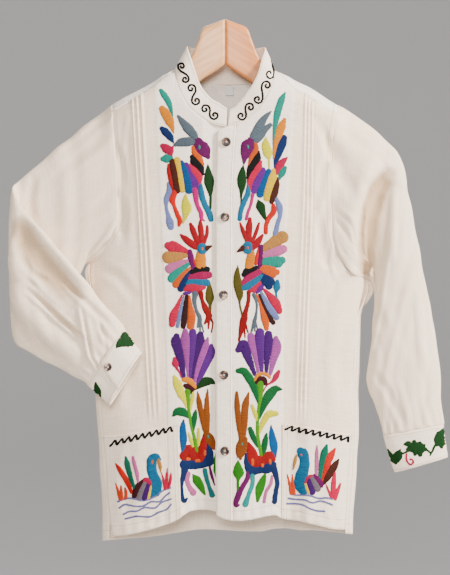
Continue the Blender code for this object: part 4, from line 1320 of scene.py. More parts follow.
@dataclass
class Pocket:
    """A patch pocket laid on its panel's own lines, with its mouth a little slack."""

    name: str
    panel: FrontPanel
    first_line: str
    flat: Point
    wall: float = 0.8
    slack: float = 0.9
    edge_ridge: float = 0.25
    white: float = 0.25
    uneven: Unevenness = Unevenness(91, 0.1, 9.0, 30.0)

    def cloth(self, panel_cloth: Cloth) -> Cloth:
        """The pocket as fine cloth, a layer above its panel's cloth.

        Args:
            panel_cloth: the fine cloth of the front below it.

        Returns:
            The cloth.
        """
        names = [guide[0] for guide, _, _ in self.panel.columns()]
        keep = self.panel.column_places >= names.index(self.first_line) - 1e-6
        rows = self.panel.row_levels <= POCKET + 1e-6
        base = panel_cloth.points[rows][:, keep]
        normals = panel_cloth.normals[rows][:, keep]
        u = np.linspace(0.0, 1.0, base.shape[1])[None, :]
        level = self.panel.row_levels[rows][:, None] / POCKET
        mouth = smooth_step(0.8, 1.0, level) * np.sin(math.pi * u) ** 0.7
        lift = LAYER_GAP + self.wall + self.slack * mouth
        lift = lift + self.edge_ridge * bump(1.0 - level, 0.09) + self.edge_ridge * bump(u, 0.02)
        made = Cloth(self.name, base + normals * lift[:, :, None],
                     lambda p: (0.0, -1.0, 0.0), wall=self.wall)
        made.raise_by(self.uneven.relief(*seen(made.points)))
        made.tint[:] = self.white
        return made


@dataclass
class BackPanel:
    """The back, carried over the shoulder ridge to the seam in front of it."""

    name: str = "back_panel"
    flat: Point = (0.335, 0.55)
    area: float = 0.160
    grain: float = 2.6
    creases: tuple[Crease, ...] = ()
    uneven: Unevenness = Unevenness(3, 0.45, 22.0, 95.0)
    white: float = 0.25
    # Painted light: the back grows whiter between these heights, brightening its inside seen through the
    # neck opening.
    neck_light_from: float = -210.0
    neck_light_full: float = -60.0

    @staticmethod
    def edge(side: Side, level: float) -> Point:
        """Side edge at a level: x and the angle past the silhouette.

        Args:
            side: side of the picture.
            level: level up the panel.

        Returns:
            Seen x, and the angle in radians.
        """
        if level >= UNDERARM:
            rise = min(1.0, level - UNDERARM)
            return float(column(ARMHOLE, "rise", rise, side + "_back")), 0.0
        z = side_height(side, "back", level)
        inset = float(column(SEAM_INSET, "z", z, side))
        x = float(column(BODY, "z", z, side)) - side.sign * inset
        return x, math.acos(min(1.0, abs(float(BodyForm.share(x, z)))))

    @classmethod
    def point(cls, side: Side, index: int, level: float) -> Dot:
        """Seen x, depth and seen z of a point: its column and its level.

        Args:
            side: side of the picture.
            index: number of the column, from the middle outwards.
            level: level up the panel.

        Returns:
            Seen x, depth and seen z.
        """
        share, *tops = BACK_COLUMNS[index]
        target = tops[side.end]
        sign = side.sign
        form = BodyForm
        if level < UNDERARM:
            _, past = cls.edge(side, level)
            angle = share * (0.5 * math.pi + past)
            z_side = side_height(side, "back", level)
            x = float(form.middle(z_side) + sign * form.half(z_side) * math.sin(angle))
            z_in = inner_height(x, float(column(BACK_HEM, "x", x, "z")), BACK_NECK_LOW, level)
            z = z_in + (z_side - z_in) * share ** 4
            x = float(form.middle(z) + sign * form.half(z) * math.sin(angle))
            depth = form.back if angle <= 0.5 * math.pi else form.front
            return x, float(depth(x, z)), z
        edge_x, _ = cls.edge(side, level)
        arm = SIDE_LEVELS[side]["arm"]
        z_arm = MIDDLE_ARM + (arm - MIDDLE_ARM) * share
        middle = float(form.middle(z_arm))
        x_side = middle + (edge_x - middle) * math.sin(0.5 * math.pi * share)
        if index <= NECK_COLUMN:
            top = float(column(BACK_NECK, "x", target, "z"))
            near = NECK_CLIMB[index]
            climb = near * min(1.0, level - UNDERARM) + (1.0 - near) * max(0.0, level - TOP)
            x = x_side + (target - x_side) * climb
            z = z_arm + (top - z_arm) * climb
            return x, float(form.back(x, z)), z
        rise = min(1.0, level - UNDERARM)
        x = edge_x if share == 1.0 else x_side + (target - x_side) * rise ** 1.5
        ridge = float(column(RIDGE, "x", x, "z"))
        if level == UNDERARM and share == 1.0:
            return x, float(form.front(x, arm)), arm
        if level <= TOP:
            z = z_arm + (ridge - z_arm) * rise
            return x, float(form.back(x, z)), z
        z = ridge - seam_drop(x) * (OVER_SHARE if level == OVER_LEVELS[0] else 1.0)
        return x, float(form.front(x, z)), z

    def cloth(self) -> Cloth:
        """The back as fine cloth.

        Returns:
            The cloth.
        """
        indices = range(len(BACK_COLUMNS))
        levels = panel_levels(True)
        table = np.array([[self.point(Side.LEFT, i, level) for i in reversed(indices[1:])]
                          + [self.point(Side.RIGHT, i, level) for i in indices]
                          for level in levels])
        points = placed(*np.moveaxis(table, -1, 0))
        fine = Refinement.over(points, self.grain)
        made = Cloth(self.name, fine.smooth(points), lambda p: (0.0, 1.0, 0.0),
                     rows=fine.rows.straight(np.array(levels)))
        x, z = seen(made.points)
        made.raise_by(self.uneven.relief(x, z))
        made.press(self.creases)
        # Painted light: whiter towards the neck, lighting the back's inside seen through the neck
        # opening.
        made.tint = self.white + (1.0 - self.white) * smooth_step(self.neck_light_from, self.neck_light_full, z)
        return made


def sleeve_angles() -> list[float]:
    """Angles round a sleeve section, from its top end by way of its first face.

    Returns:
        The angles in radians.
    """
    face = [math.pi * i / SLEEVE_FACE_STEPS for i in range(SLEEVE_FACE_STEPS + 1)]
    rest = [math.pi + math.pi * i / SLEEVE_BACK_STEPS for i in range(1, SLEEVE_BACK_STEPS)]
    return face + rest


def section_point(section: Sequence[float], angle: float, draw: float = 0.0) -> Dot:
    """Point of a sleeve section: angle 0 at its top end, pi at its bottom end.

    Args:
        section: both ends, depth, half thickness and turn.
        angle: place round the section, in radians.
        draw: how far the middle of the seen face is drawn up.

    Returns:
        Seen x, depth and seen z.
    """
    ax, az, bx, bz, y, half, turn = section
    theta = math.radians(turn)
    cx = 0.5 * (ax + bx) + 0.5 * (ax - bx) * math.cos(angle)
    cz = 0.5 * (az + bz) + 0.5 * (az - bz) * math.cos(angle)
    cy = y
    if 0.0 < turn < 180.0:
        cy = y - FOLD_RADIUS + FOLD_RADIUS * math.cos(theta)
    reach = half * math.sin(angle)
    return (cx + math.sin(theta) * reach, cy - math.cos(theta) * reach,
            cz - draw * math.sin(angle))


@dataclass
class Sleeve:
    """A sleeve from its armhole to the cuff seam."""

    name: str
    side: Side
    sections: list[tuple]
    creases: tuple[Crease, ...]
    uneven: Unevenness
    flat: Point
    area: float
    gathers: float
    grain: float = 2.5
    cap_pucker: float = 0.25
    cap_reach: float = 26.0
    gather_reach: float = 30.0
    slow_gather_reach: float = 55.0
    ring_radius: float = 30.0

    def loop(self, front: np.ndarray, back: np.ndarray) -> list[np.ndarray]:
        """Armhole points shared with the panels, at the tables' own places.

        Args:
            front: points of the front's armhole edge at the table's levels.
            back: points of the back's first and last column at them.

        Returns:
            The loop's points from the top by way of the front.
        """
        arm = len(LOWER_LEVELS)
        ridge = arm + ARMHOLE_ROWS
        edge = self.side.end
        found = [back[ridge, edge], back[ridge + 1, edge]]
        found += [front[i] for i in range(ridge, arm - 1, -1)]
        return found + [back[i, edge] for i in range(arm + 1, ridge)]

    def cloth(self, front: np.ndarray, back: np.ndarray) -> Cloth:
        """The sleeve as fine cloth.

        Args:
            front: points of the front's armhole edge at the table's levels.
            back: points of the back at the table's levels, its first and last column.

        Returns:
            The cloth.
        """
        loop = self.loop(front, back)
        top, bottom = loop[0], loop[SLEEVE_FACE_STEPS]
        first = (top[0], top[2], bottom[0], bottom[2], 0.0, self.sections[0][5], 0.0)
        angles = sleeve_angles()
        extra = [(p - np.array(section_point(first, a))) * math.sin(a) ** 2
                 for p, a in zip(loop, angles)]
        table = [loop]
        for k, section in enumerate(self.sections):
            carry = ARMHOLE_CARRY[k] if k < len(ARMHOLE_CARRY) else 0.0
            table.append([placed(*section_point(section, a)) + e * carry
                          for a, e in zip(angles, extra)])
        table = np.array(table)
        down = mean_lengths(table, 0)
        around = np.linalg.norm(np.roll(table, -1, axis=1) - table, axis=2).mean(axis=0)
        rows = Spread.over(down, self.grain)
        ring = Spread.over(around, self.grain)
        ring = Spread(ring.index[:-1], ring.share[:-1])
        fine = rows.smooth(columns_first(ring.smooth, table, around, True), down)
        made = Cloth(self.name, fine, way_out, ring=True, rows=rows.index + rows.share)
        u, v = made.lengths()
        made.raise_by(self.relief(2 * math.pi * u / np.maximum(u[:, -1:], 1.0), v))
        made.press(self.creases)
        return made

    def relief(self, turn: np.ndarray, v: np.ndarray) -> np.ndarray:
        """Unevenness, the puckered cap and the gathers at the cuff, round the sleeve.

        Args:
            turn: angle round the sleeve at each point.
            v: length from the armhole.

        Returns:
            The height to add.
        """
        height = self.uneven.relief(v, self.ring_radius * np.sin(turn))
        cap = bump(v, self.cap_reach)
        height += self.cap_pucker * cap * np.sin(turn * 17.0 + 1.3 * np.sin(3 * turn))
        left = v[-1:, :] - v
        gather = bump(left, self.gather_reach) * np.sin(turn * 15.0
                                                        + 1.1 * np.sin(turn * 2.0 + 0.7))
        gather += 0.6 * bump(left, self.slow_gather_reach) * np.sin(turn * 9.0 + 0.4)
        return height + self.gathers * gather * smooth_step(0.0, 3.0, left)


def way_out(p: np.ndarray) -> np.ndarray:
    """Way out of a tube at the middle of its grid of points."""
    i, j = p.shape[0] // 2, p.shape[1] // 2
    return p[i, j] - p[i].mean(axis=0)


@dataclass
class Cuff:
    """A straight cuff: one strip round the wrist whose end laps over its start."""

    name: str
    side: Side
    sections: list[tuple]
    flat: Point
    grain: float = 1.8
    wall: float = 1.2
    pucker: float = 0.16
    white: float = 0.3
    uneven: Unevenness = Unevenness(31, 0.14, 12.0, 40.0)

    def cloth(self) -> Cloth:
        """The cuff as fine cloth, its lapped end raised above its start.

        Returns:
            The cloth.
        """
        lap = CUFF_LAP[self.side]
        high, low = CUFF_LAP_RISE
        table, raises = [], []
        for k, section in enumerate(self.sections):
            down = k / (len(self.sections) - 1)
            end = lap["seam_end"] + (lap["free_end"] - lap["seam_end"]) * down
            row, lift = [], []
            for i in range(CUFF_STEPS + 1):
                degrees = lap["start"] + (end - lap["start"]) * i / CUFF_STEPS
                row.append(placed(*section_point(section, math.radians(degrees),
                                                 lap["draw"] * down)))
                lift.append(CUFF_LAP_LIFT * np.clip((high - degrees) / (high - low), 0.0, 1.0))
            table.append(row)
            raises.append(lift)
        fine = Refinement.over(np.array(table), self.grain)
        made = Cloth(self.name, fine.smooth(np.array(table)), way_out, wall=self.wall)
        u, v = made.lengths()
        edge = np.minimum(v, v[-1:] - v)
        lift = fine.straight(np.array(raises))
        lift = lift + self.pucker * np.sin(u / 4.3 + np.sin(v / 9.0)) * bump(edge - 2.0, 5.0)
        made.raise_by(lift + self.uneven.relief(u, v))
        made.tint[:] = self.white
        return made

    def button_place(self) -> tuple[np.ndarray, np.ndarray]:
        """World point on the lap, in millimetres, and the way out there.

        Returns:
            The point and the unit normal.
        """
        down, degrees = CUFF_BUTTON_PLACE
        k = down * (len(self.sections) - 1)
        low = int(k)
        here = (np.array(self.sections[low]) * (1 - k + low)
                + np.array(self.sections[low + 1]) * (k - low))
        draw = CUFF_LAP[self.side]["draw"] * down
        spots = [placed(*section_point(here, math.radians(degrees + d), draw))
                 for d in (0.0, 4.0)]
        onward = placed(*section_point(self.sections[low + 1], math.radians(degrees), draw))
        normal = np.cross(spots[1] - spots[0], onward - spots[0])
        normal = normal / np.linalg.norm(normal)
        middle = placed(0.5 * (here[0] + here[2]), here[4], 0.5 * (here[1] + here[3]))
        if np.dot(normal, spots[0] - middle) < 0:
            normal = -normal
        return spots[0] + normal * (CUFF_LAP_LIFT + LAYER_GAP), normal


@dataclass
class Collar:
    """The stand collar from its right end round the back to its left end."""

    name: str = "collar_stand"
    flat: Point = (0.34, 0.030)
    grain: float = 1.3
    wall: float = 1.3
    roll: float = 0.5
    seam_groove: float = 0.35
    pucker: float = 0.12
    white: float = 0.45

    @staticmethod
    def edges() -> list[tuple[Dot, Dot]]:
        """Seen x, depth and seen z of the lower and the upper edge, point by point.

        Returns:
            A pair for each column, from the right end to the left.
        """
        def front(table: list[tuple]) -> list[tuple[Dot, Dot]]:
            """Pairs of points along one front end.

            Args:
                table: the end's places on the neckline, and the top opposite each.

            Returns:
                A pair for each place.
            """
            found = []
            for x, top_x, top_z, lean in table:
                z = float(column(FRONT_NECK, "x", x, "z"))
                y = float(BodyForm.front(x, z))
                found.append(((x, y, z), (top_x, y + lean, top_z)))
            return found

        behind = []
        places = [c[1] for c in BACK_COLUMNS[NECK_COLUMN:0:-1]]
        places += [c[2] for c in BACK_COLUMNS[:NECK_COLUMN + 1]]
        for x in places:
            z = float(column(BACK_NECK, "x", x, "z"))
            top = tuple(float(column(COLLAR_TOP_BACK, "base", x, key)) for key in "xyz")
            behind.append(((x, float(BodyForm.back(x, z)), z), top))
        return front(COLLAR_TOP_FRONT) + behind + front(COLLAR_TOP_LEFT)

    def cloth(self) -> Cloth:
        """The collar as fine cloth, rolled a little between its edges.

        Returns:
            The cloth.
        """
        table = []
        for i in range(COLLAR_ROWS + 1):
            t = i / COLLAR_ROWS
            table.append([placed(*(np.array(low) * (1 - t) + np.array(high) * t))
                          for low, high in self.edges()])
        fine = Refinement.over(np.array(table), self.grain)
        made = Cloth(self.name, fine.smooth(np.array(table)), lambda p: (0.0, 1.0, 0.0),
                     wall=self.wall)
        if np.mean(made.normals[:, :3, 1]) > 0:
            made.normals = -made.normals
        u, v = made.lengths()
        height = self.roll * np.sin(math.pi * (v / v[-1:])) - self.seam_groove * bump(v, 2.2)
        height += self.pucker * np.sin(u / 3.4) * bump(v - 3.0, 5.0)
        made.points = made.points + made.normals * height[:, :, None]
        made.tint[:] = self.white
        return made


@dataclass
class Placket:
    """The strip of the centre front, left over right."""

    name: str = "placket_strip"
    flat: Point = (0.022, 0.43)
    grain: float = 1.8
    wall: float = 1.0
    puff: float = 0.45
    lift: float = 0.3
    pucker: float = 0.16
    white: float = 0.5
    uneven: Unevenness = Unevenness(17, 0.12, 10.0, 40.0)

    @staticmethod
    def point(share: float, level: float) -> Point:
        """Seen position at a share of the way across and a level.

        Args:
            share: share of the way from its left edge to its right.
            level: level up the panel.

        Returns:
            Seen x and z.
        """
        x = 0.0
        corner, width = PLACKET_CORNER
        for _ in range(3):
            hem = float(column(FRONT_HEM, "x", x, "z"))
            top = float(column(FRONT_NECK, "x", x, "z"))
            reach = min(1.0, max(0.0, (x - corner) / width))
            top = PLACKET_TOP_LEFT + (top - PLACKET_TOP_GAP - PLACKET_TOP_LEFT) * reach
            z = inner_height(x, hem, top, level)
            left = float(column(PLACKET, "z", z, "left"))
            right = float(guide_x(FRONT_LEFT_GUIDES[0], z)) - SEAM_GAP
            x = left + (right - left) * share
        return x, z

    def cloth(self) -> Cloth:
        """The placket as fine cloth, puffed a little between its seams.

        Returns:
            The cloth.
        """
        levels = panel_levels(False)
        table = np.array([[self.point(share, level) for share in PLACKET_SHARES]
                          for level in levels])
        fine = Refinement.over(BodyForm.front_point(table[..., 0], table[..., 1]), self.grain)
        x, z = np.moveaxis(fine.smooth(table), -1, 0)
        made = Cloth(self.name, BodyForm.front_point(x, z), lambda p: (0.0, -1.0, 0.0),
                     wall=self.wall, rows=fine.rows.straight(np.array(levels)))
        u, v = made.lengths()
        height = self.puff * np.sin(math.pi * (u / u[:, -1:])) ** 0.6 + self.lift
        edge = np.minimum(u, u[:, -1:] - u)
        height += self.pucker * np.sin(v / 1.7 + 1.5 * np.sin(v / 19.0)) * bump(edge - 1.5, 4.0)
        made.raise_by(height + self.uneven.relief(x, z))
        made.tint[:] = self.white
        return made


@dataclass(frozen=True)
class HangerHalf:
    """One half of the wooden hanger, from the middle outwards."""

    name: str
    side: Side
    step: float = 2.5
    sides: int = 36
    power: float = 2.0 / 7.0
    end_share: float = 0.86
    end_drop: float = 1.5
    inner_round: float = 1.6
    outer_round: float = 5.0

    def make(self) -> bpy.types.Object:
        """The half as a closed mesh with rounded edges.

        Returns:
            The object.
        """
        table = np.array(HANGER_SECTIONS)
        lengths = np.hypot(np.diff(table[:, 0]), np.diff(table[:, 1]))
        rows = Spread.over(lengths, self.step)
        cuts = np.array([[curve(np.arange(len(table)), table[:, k], rows.index + rows.share)]
                         for k in range(table.shape[1])])[:, 0].T
        vertices = []
        for x, top, bottom, y, half in cuts:
            tall = 0.5 * (top - bottom)
            ends = min(1.0, (x - cuts[0][0]) / self.inner_round,
                       (cuts[-1][0] - x) / self.outer_round)
            ends = self.end_share + (1.0 - self.end_share) * max(0.0, ends) ** 0.5
            for c, s in circle(self.sides):
                dy = math.copysign(abs(c) ** self.power, c) * half * ends
                dz = math.copysign(abs(s) ** self.power, s) * (
                    tall - self.end_drop + self.end_drop * ends)
                vertices.append(placed(self.side.sign * x, y + dy, 0.5 * (top + bottom) + dz))
        faces = tube_faces(len(cuts), self.sides)
        for k in (0, len(cuts) - 1):
            ring = range(k * self.sides, (k + 1) * self.sides)
            middle = len(vertices)
            vertices.append(np.mean([vertices[i] for i in ring], axis=0))
            faces += [(ring[i], ring[(i + 1) % self.sides], middle) for i in range(self.sides)]
        return new_object(self.name, np.array(vertices) * MM, faces)


@dataclass(frozen=True)
class SizeLabel:
    """The bare tape label just inside the back of the neck, folded at its ends."""

    name: str = "neck_label"
    grain: float = 0.6
    wall: float = 0.45
    flat: Point = (0.010, 0.012)
    fall: float = 0.9
    wave: float = 0.25

    def cloth(self) -> Cloth:
        """The label as fine cloth, falling away from the back at its free end.

        Returns:
            The cloth.
        """
        x0, x1, z0, z1 = LABEL_BOX
        xs = np.linspace(x0, x1, int((x1 - x0) / self.grain))
        zs = np.linspace(z0, z1, int((z1 - z0) / self.grain))
        x, z = np.meshgrid(xs, zs)
        y = BodyForm.back(x, z) - LAYER_GAP - WALL - self.wall
        share = (z - z0) / (z1 - z0)
        y = y - self.fall * (1.0 - share) ** 2 + self.wave * np.sin(x / 2.1) * (1.0 - share)
        return Cloth(self.name, placed(x, y, z), lambda p: (0.0, -1.0, 0.0), wall=self.wall)


@dataclass(frozen=True)
class Button:
    """A four-hole shirt button with a raised rim, sewn on with crossed thread."""

    radius: float = BUTTON_RADIUS
    thickness: float = BUTTON_THICKNESS
    hole: float = 0.62
    hole_place: float = 1.15
    sides: int = 40
    drill_sides: int = 12
    sharp: float = math.radians(38)
    thread: float = 0.17
    thread_sides: int = 6
    thread_steps: int = 6
    thread_arch: float = 0.28
    thread_gap: float = 0.2
    thread_lift: float = -0.078

    def blank(self) -> bpy.types.Object:
        """The button without its holes, lying flat with its face up, in millimetres.

        Returns:
            The blank, to be drilled.
        """
        vertices, faces = [(0.0, 0.0, 0.0)], []
        rings = BUTTON_PROFILE[1:-1]
        for share, height in rings:
            vertices += [(self.radius * share * c, self.radius * share * s,
                          self.thickness * height) for c, s in circle(self.sides)]
        vertices.append((0.0, 0.0, self.thickness * BUTTON_PROFILE[-1][1]))
        last = 1 + (len(rings) - 1) * self.sides
        for i in range(self.sides):
            j = (i + 1) % self.sides
            faces.append((0, 1 + j, 1 + i))
            faces.append((last + i, last + j, len(vertices) - 1))
        faces += tube_faces(len(rings), self.sides, 1)
        return new_object("button_blank", np.array(vertices), faces)

    def drill(self) -> bpy.types.Object:
        """Four pins where the holes go.

        Returns:
            The pins.
        """
        vertices, faces = [], []
        sides = self.drill_sides
        for k in range(4):
            angle = math.pi * (0.25 + 0.5 * k)
            cx, cy = self.hole_place * math.cos(angle), self.hole_place * math.sin(angle)
            base = len(vertices)
            for z in (self.thickness * 0.3, self.thickness * 1.4):
                vertices += [(cx + self.hole * c, cy + self.hole * s, z)
                             for c, s in circle(sides)]
            faces += tube_faces(2, sides, base)
            faces.append(tuple(base + i for i in reversed(range(sides))))
            faces.append(tuple(base + sides + i for i in range(sides)))
        return new_object("button_drill", np.array(vertices), faces)

    def template(self) -> bpy.types.Mesh:
        """The drilled button's mesh, which every button is a copy of.

        Returns:
            The mesh, in millimetres.
        """
        body, drill = self.blank(), self.drill()
        cut = body.modifiers.new("holes", "BOOLEAN")
        cut.operation = "DIFFERENCE"
        cut.object = drill
        cut.solver = "EXACT"
        return baked(body, drill)

    @staticmethod
    def axes(normal: np.ndarray) -> tuple[Vector, Vector, Vector]:
        """Level, upward and outward directions of a button on the cloth.

        Args:
            normal: way out of the cloth.

        Returns:
            Unit vectors.
        """
        z = Vector(normal).normalized()
        x = Vector((0.0, 0.0, 1.0)).cross(z).normalized()
        return x, z.cross(x), z

    def place(self, name: str, blank: bpy.types.Mesh, centre: np.ndarray, normal: np.ndarray,
              turn: float, scale: float = 1.0) -> bpy.types.Object:
        """A copy of the blank set on the cloth, its face along the normal.

        Args:
            name: of the piece.
            blank: mesh of the button.
            centre: world point, in millimetres.
            normal: way out of the cloth.
            turn: angle about the normal, in radians.
            scale: size against the blank.

        Returns:
            The button.
        """
        mesh = blank.copy()
        mesh.name = name
        turned = Matrix(self.axes(normal)).transposed() @ Matrix.Rotation(turn, 3, "Z")
        mesh.transform(Matrix.Translation(Vector(centre) * MM) @ (turned * (MM * scale)).to_4x4())
        mesh.polygons.foreach_set("use_smooth", [True] * len(mesh.polygons))
        mesh.set_sharp_from_angle(angle=self.sharp)
        return linked(name, mesh)

    def strand(self, centre: np.ndarray, normal: np.ndarray, angle: float, shift: float,
               rise: float) -> list[Vector]:
        """Rings of points along one thread that arches over the button's middle.

        Args:
            centre: world point of the button, in millimetres.
            normal: way out of the cloth.
            angle: direction of the thread on the button, in radians.
            shift: how far it lies to the side of the middle.
            rise: how far above the lowest thread it lies.

        Returns:
            The points, ring by ring.
        """
        x, y, z = self.axes(normal)
        way = x * math.cos(angle) + y * math.sin(angle)
        side = z.cross(way)
        points = []
        for i in range(self.thread_steps + 1):
            t = -1.0 + 2.0 * i / self.thread_steps
            arch = self.thread_arch * math.sqrt(max(0.0, 1 - t ** 4))
            high = self.thickness * BUTTON_PROFILE[-2][1] + self.thread_lift + arch + rise
            middle = (Vector(centre) + way * t * (self.hole_place + self.thread_gap)
                      + side * shift + z * high)
            points += [middle + side * self.thread * c + z * self.thread * s
                       for c, s in circle(self.thread_sides)]
        return points

    def shank(self, name: str, spots: list[tuple[np.ndarray, np.ndarray, float]]
              ) -> bpy.types.Object:
        """The crossed sewing thread of all the buttons.

        Args:
            name: of the piece.
            spots: centre, normal and turn of each button.

        Returns:
            The threads as one piece.
        """
        vertices, faces = [], []
        sides = self.thread_sides
        for centre, normal, turn in spots:
            for k in (0, 1):
                angle = turn + math.pi * (0.25 + 0.5 * k)
                for shift in (-self.thread_gap, self.thread_gap):
                    base = len(vertices)
                    vertices += self.strand(centre, normal, angle, shift, 0.1 * k)
                    faces += tube_faces(self.thread_steps + 1, sides, base)
                    faces.append(tuple(base + a for a in range(sides)))
                    faces.append(tuple(base + self.thread_steps * sides + a
                                       for a in reversed(range(sides))))
        return new_object(name, np.array([tuple(v) for v in vertices]) * MM, faces)


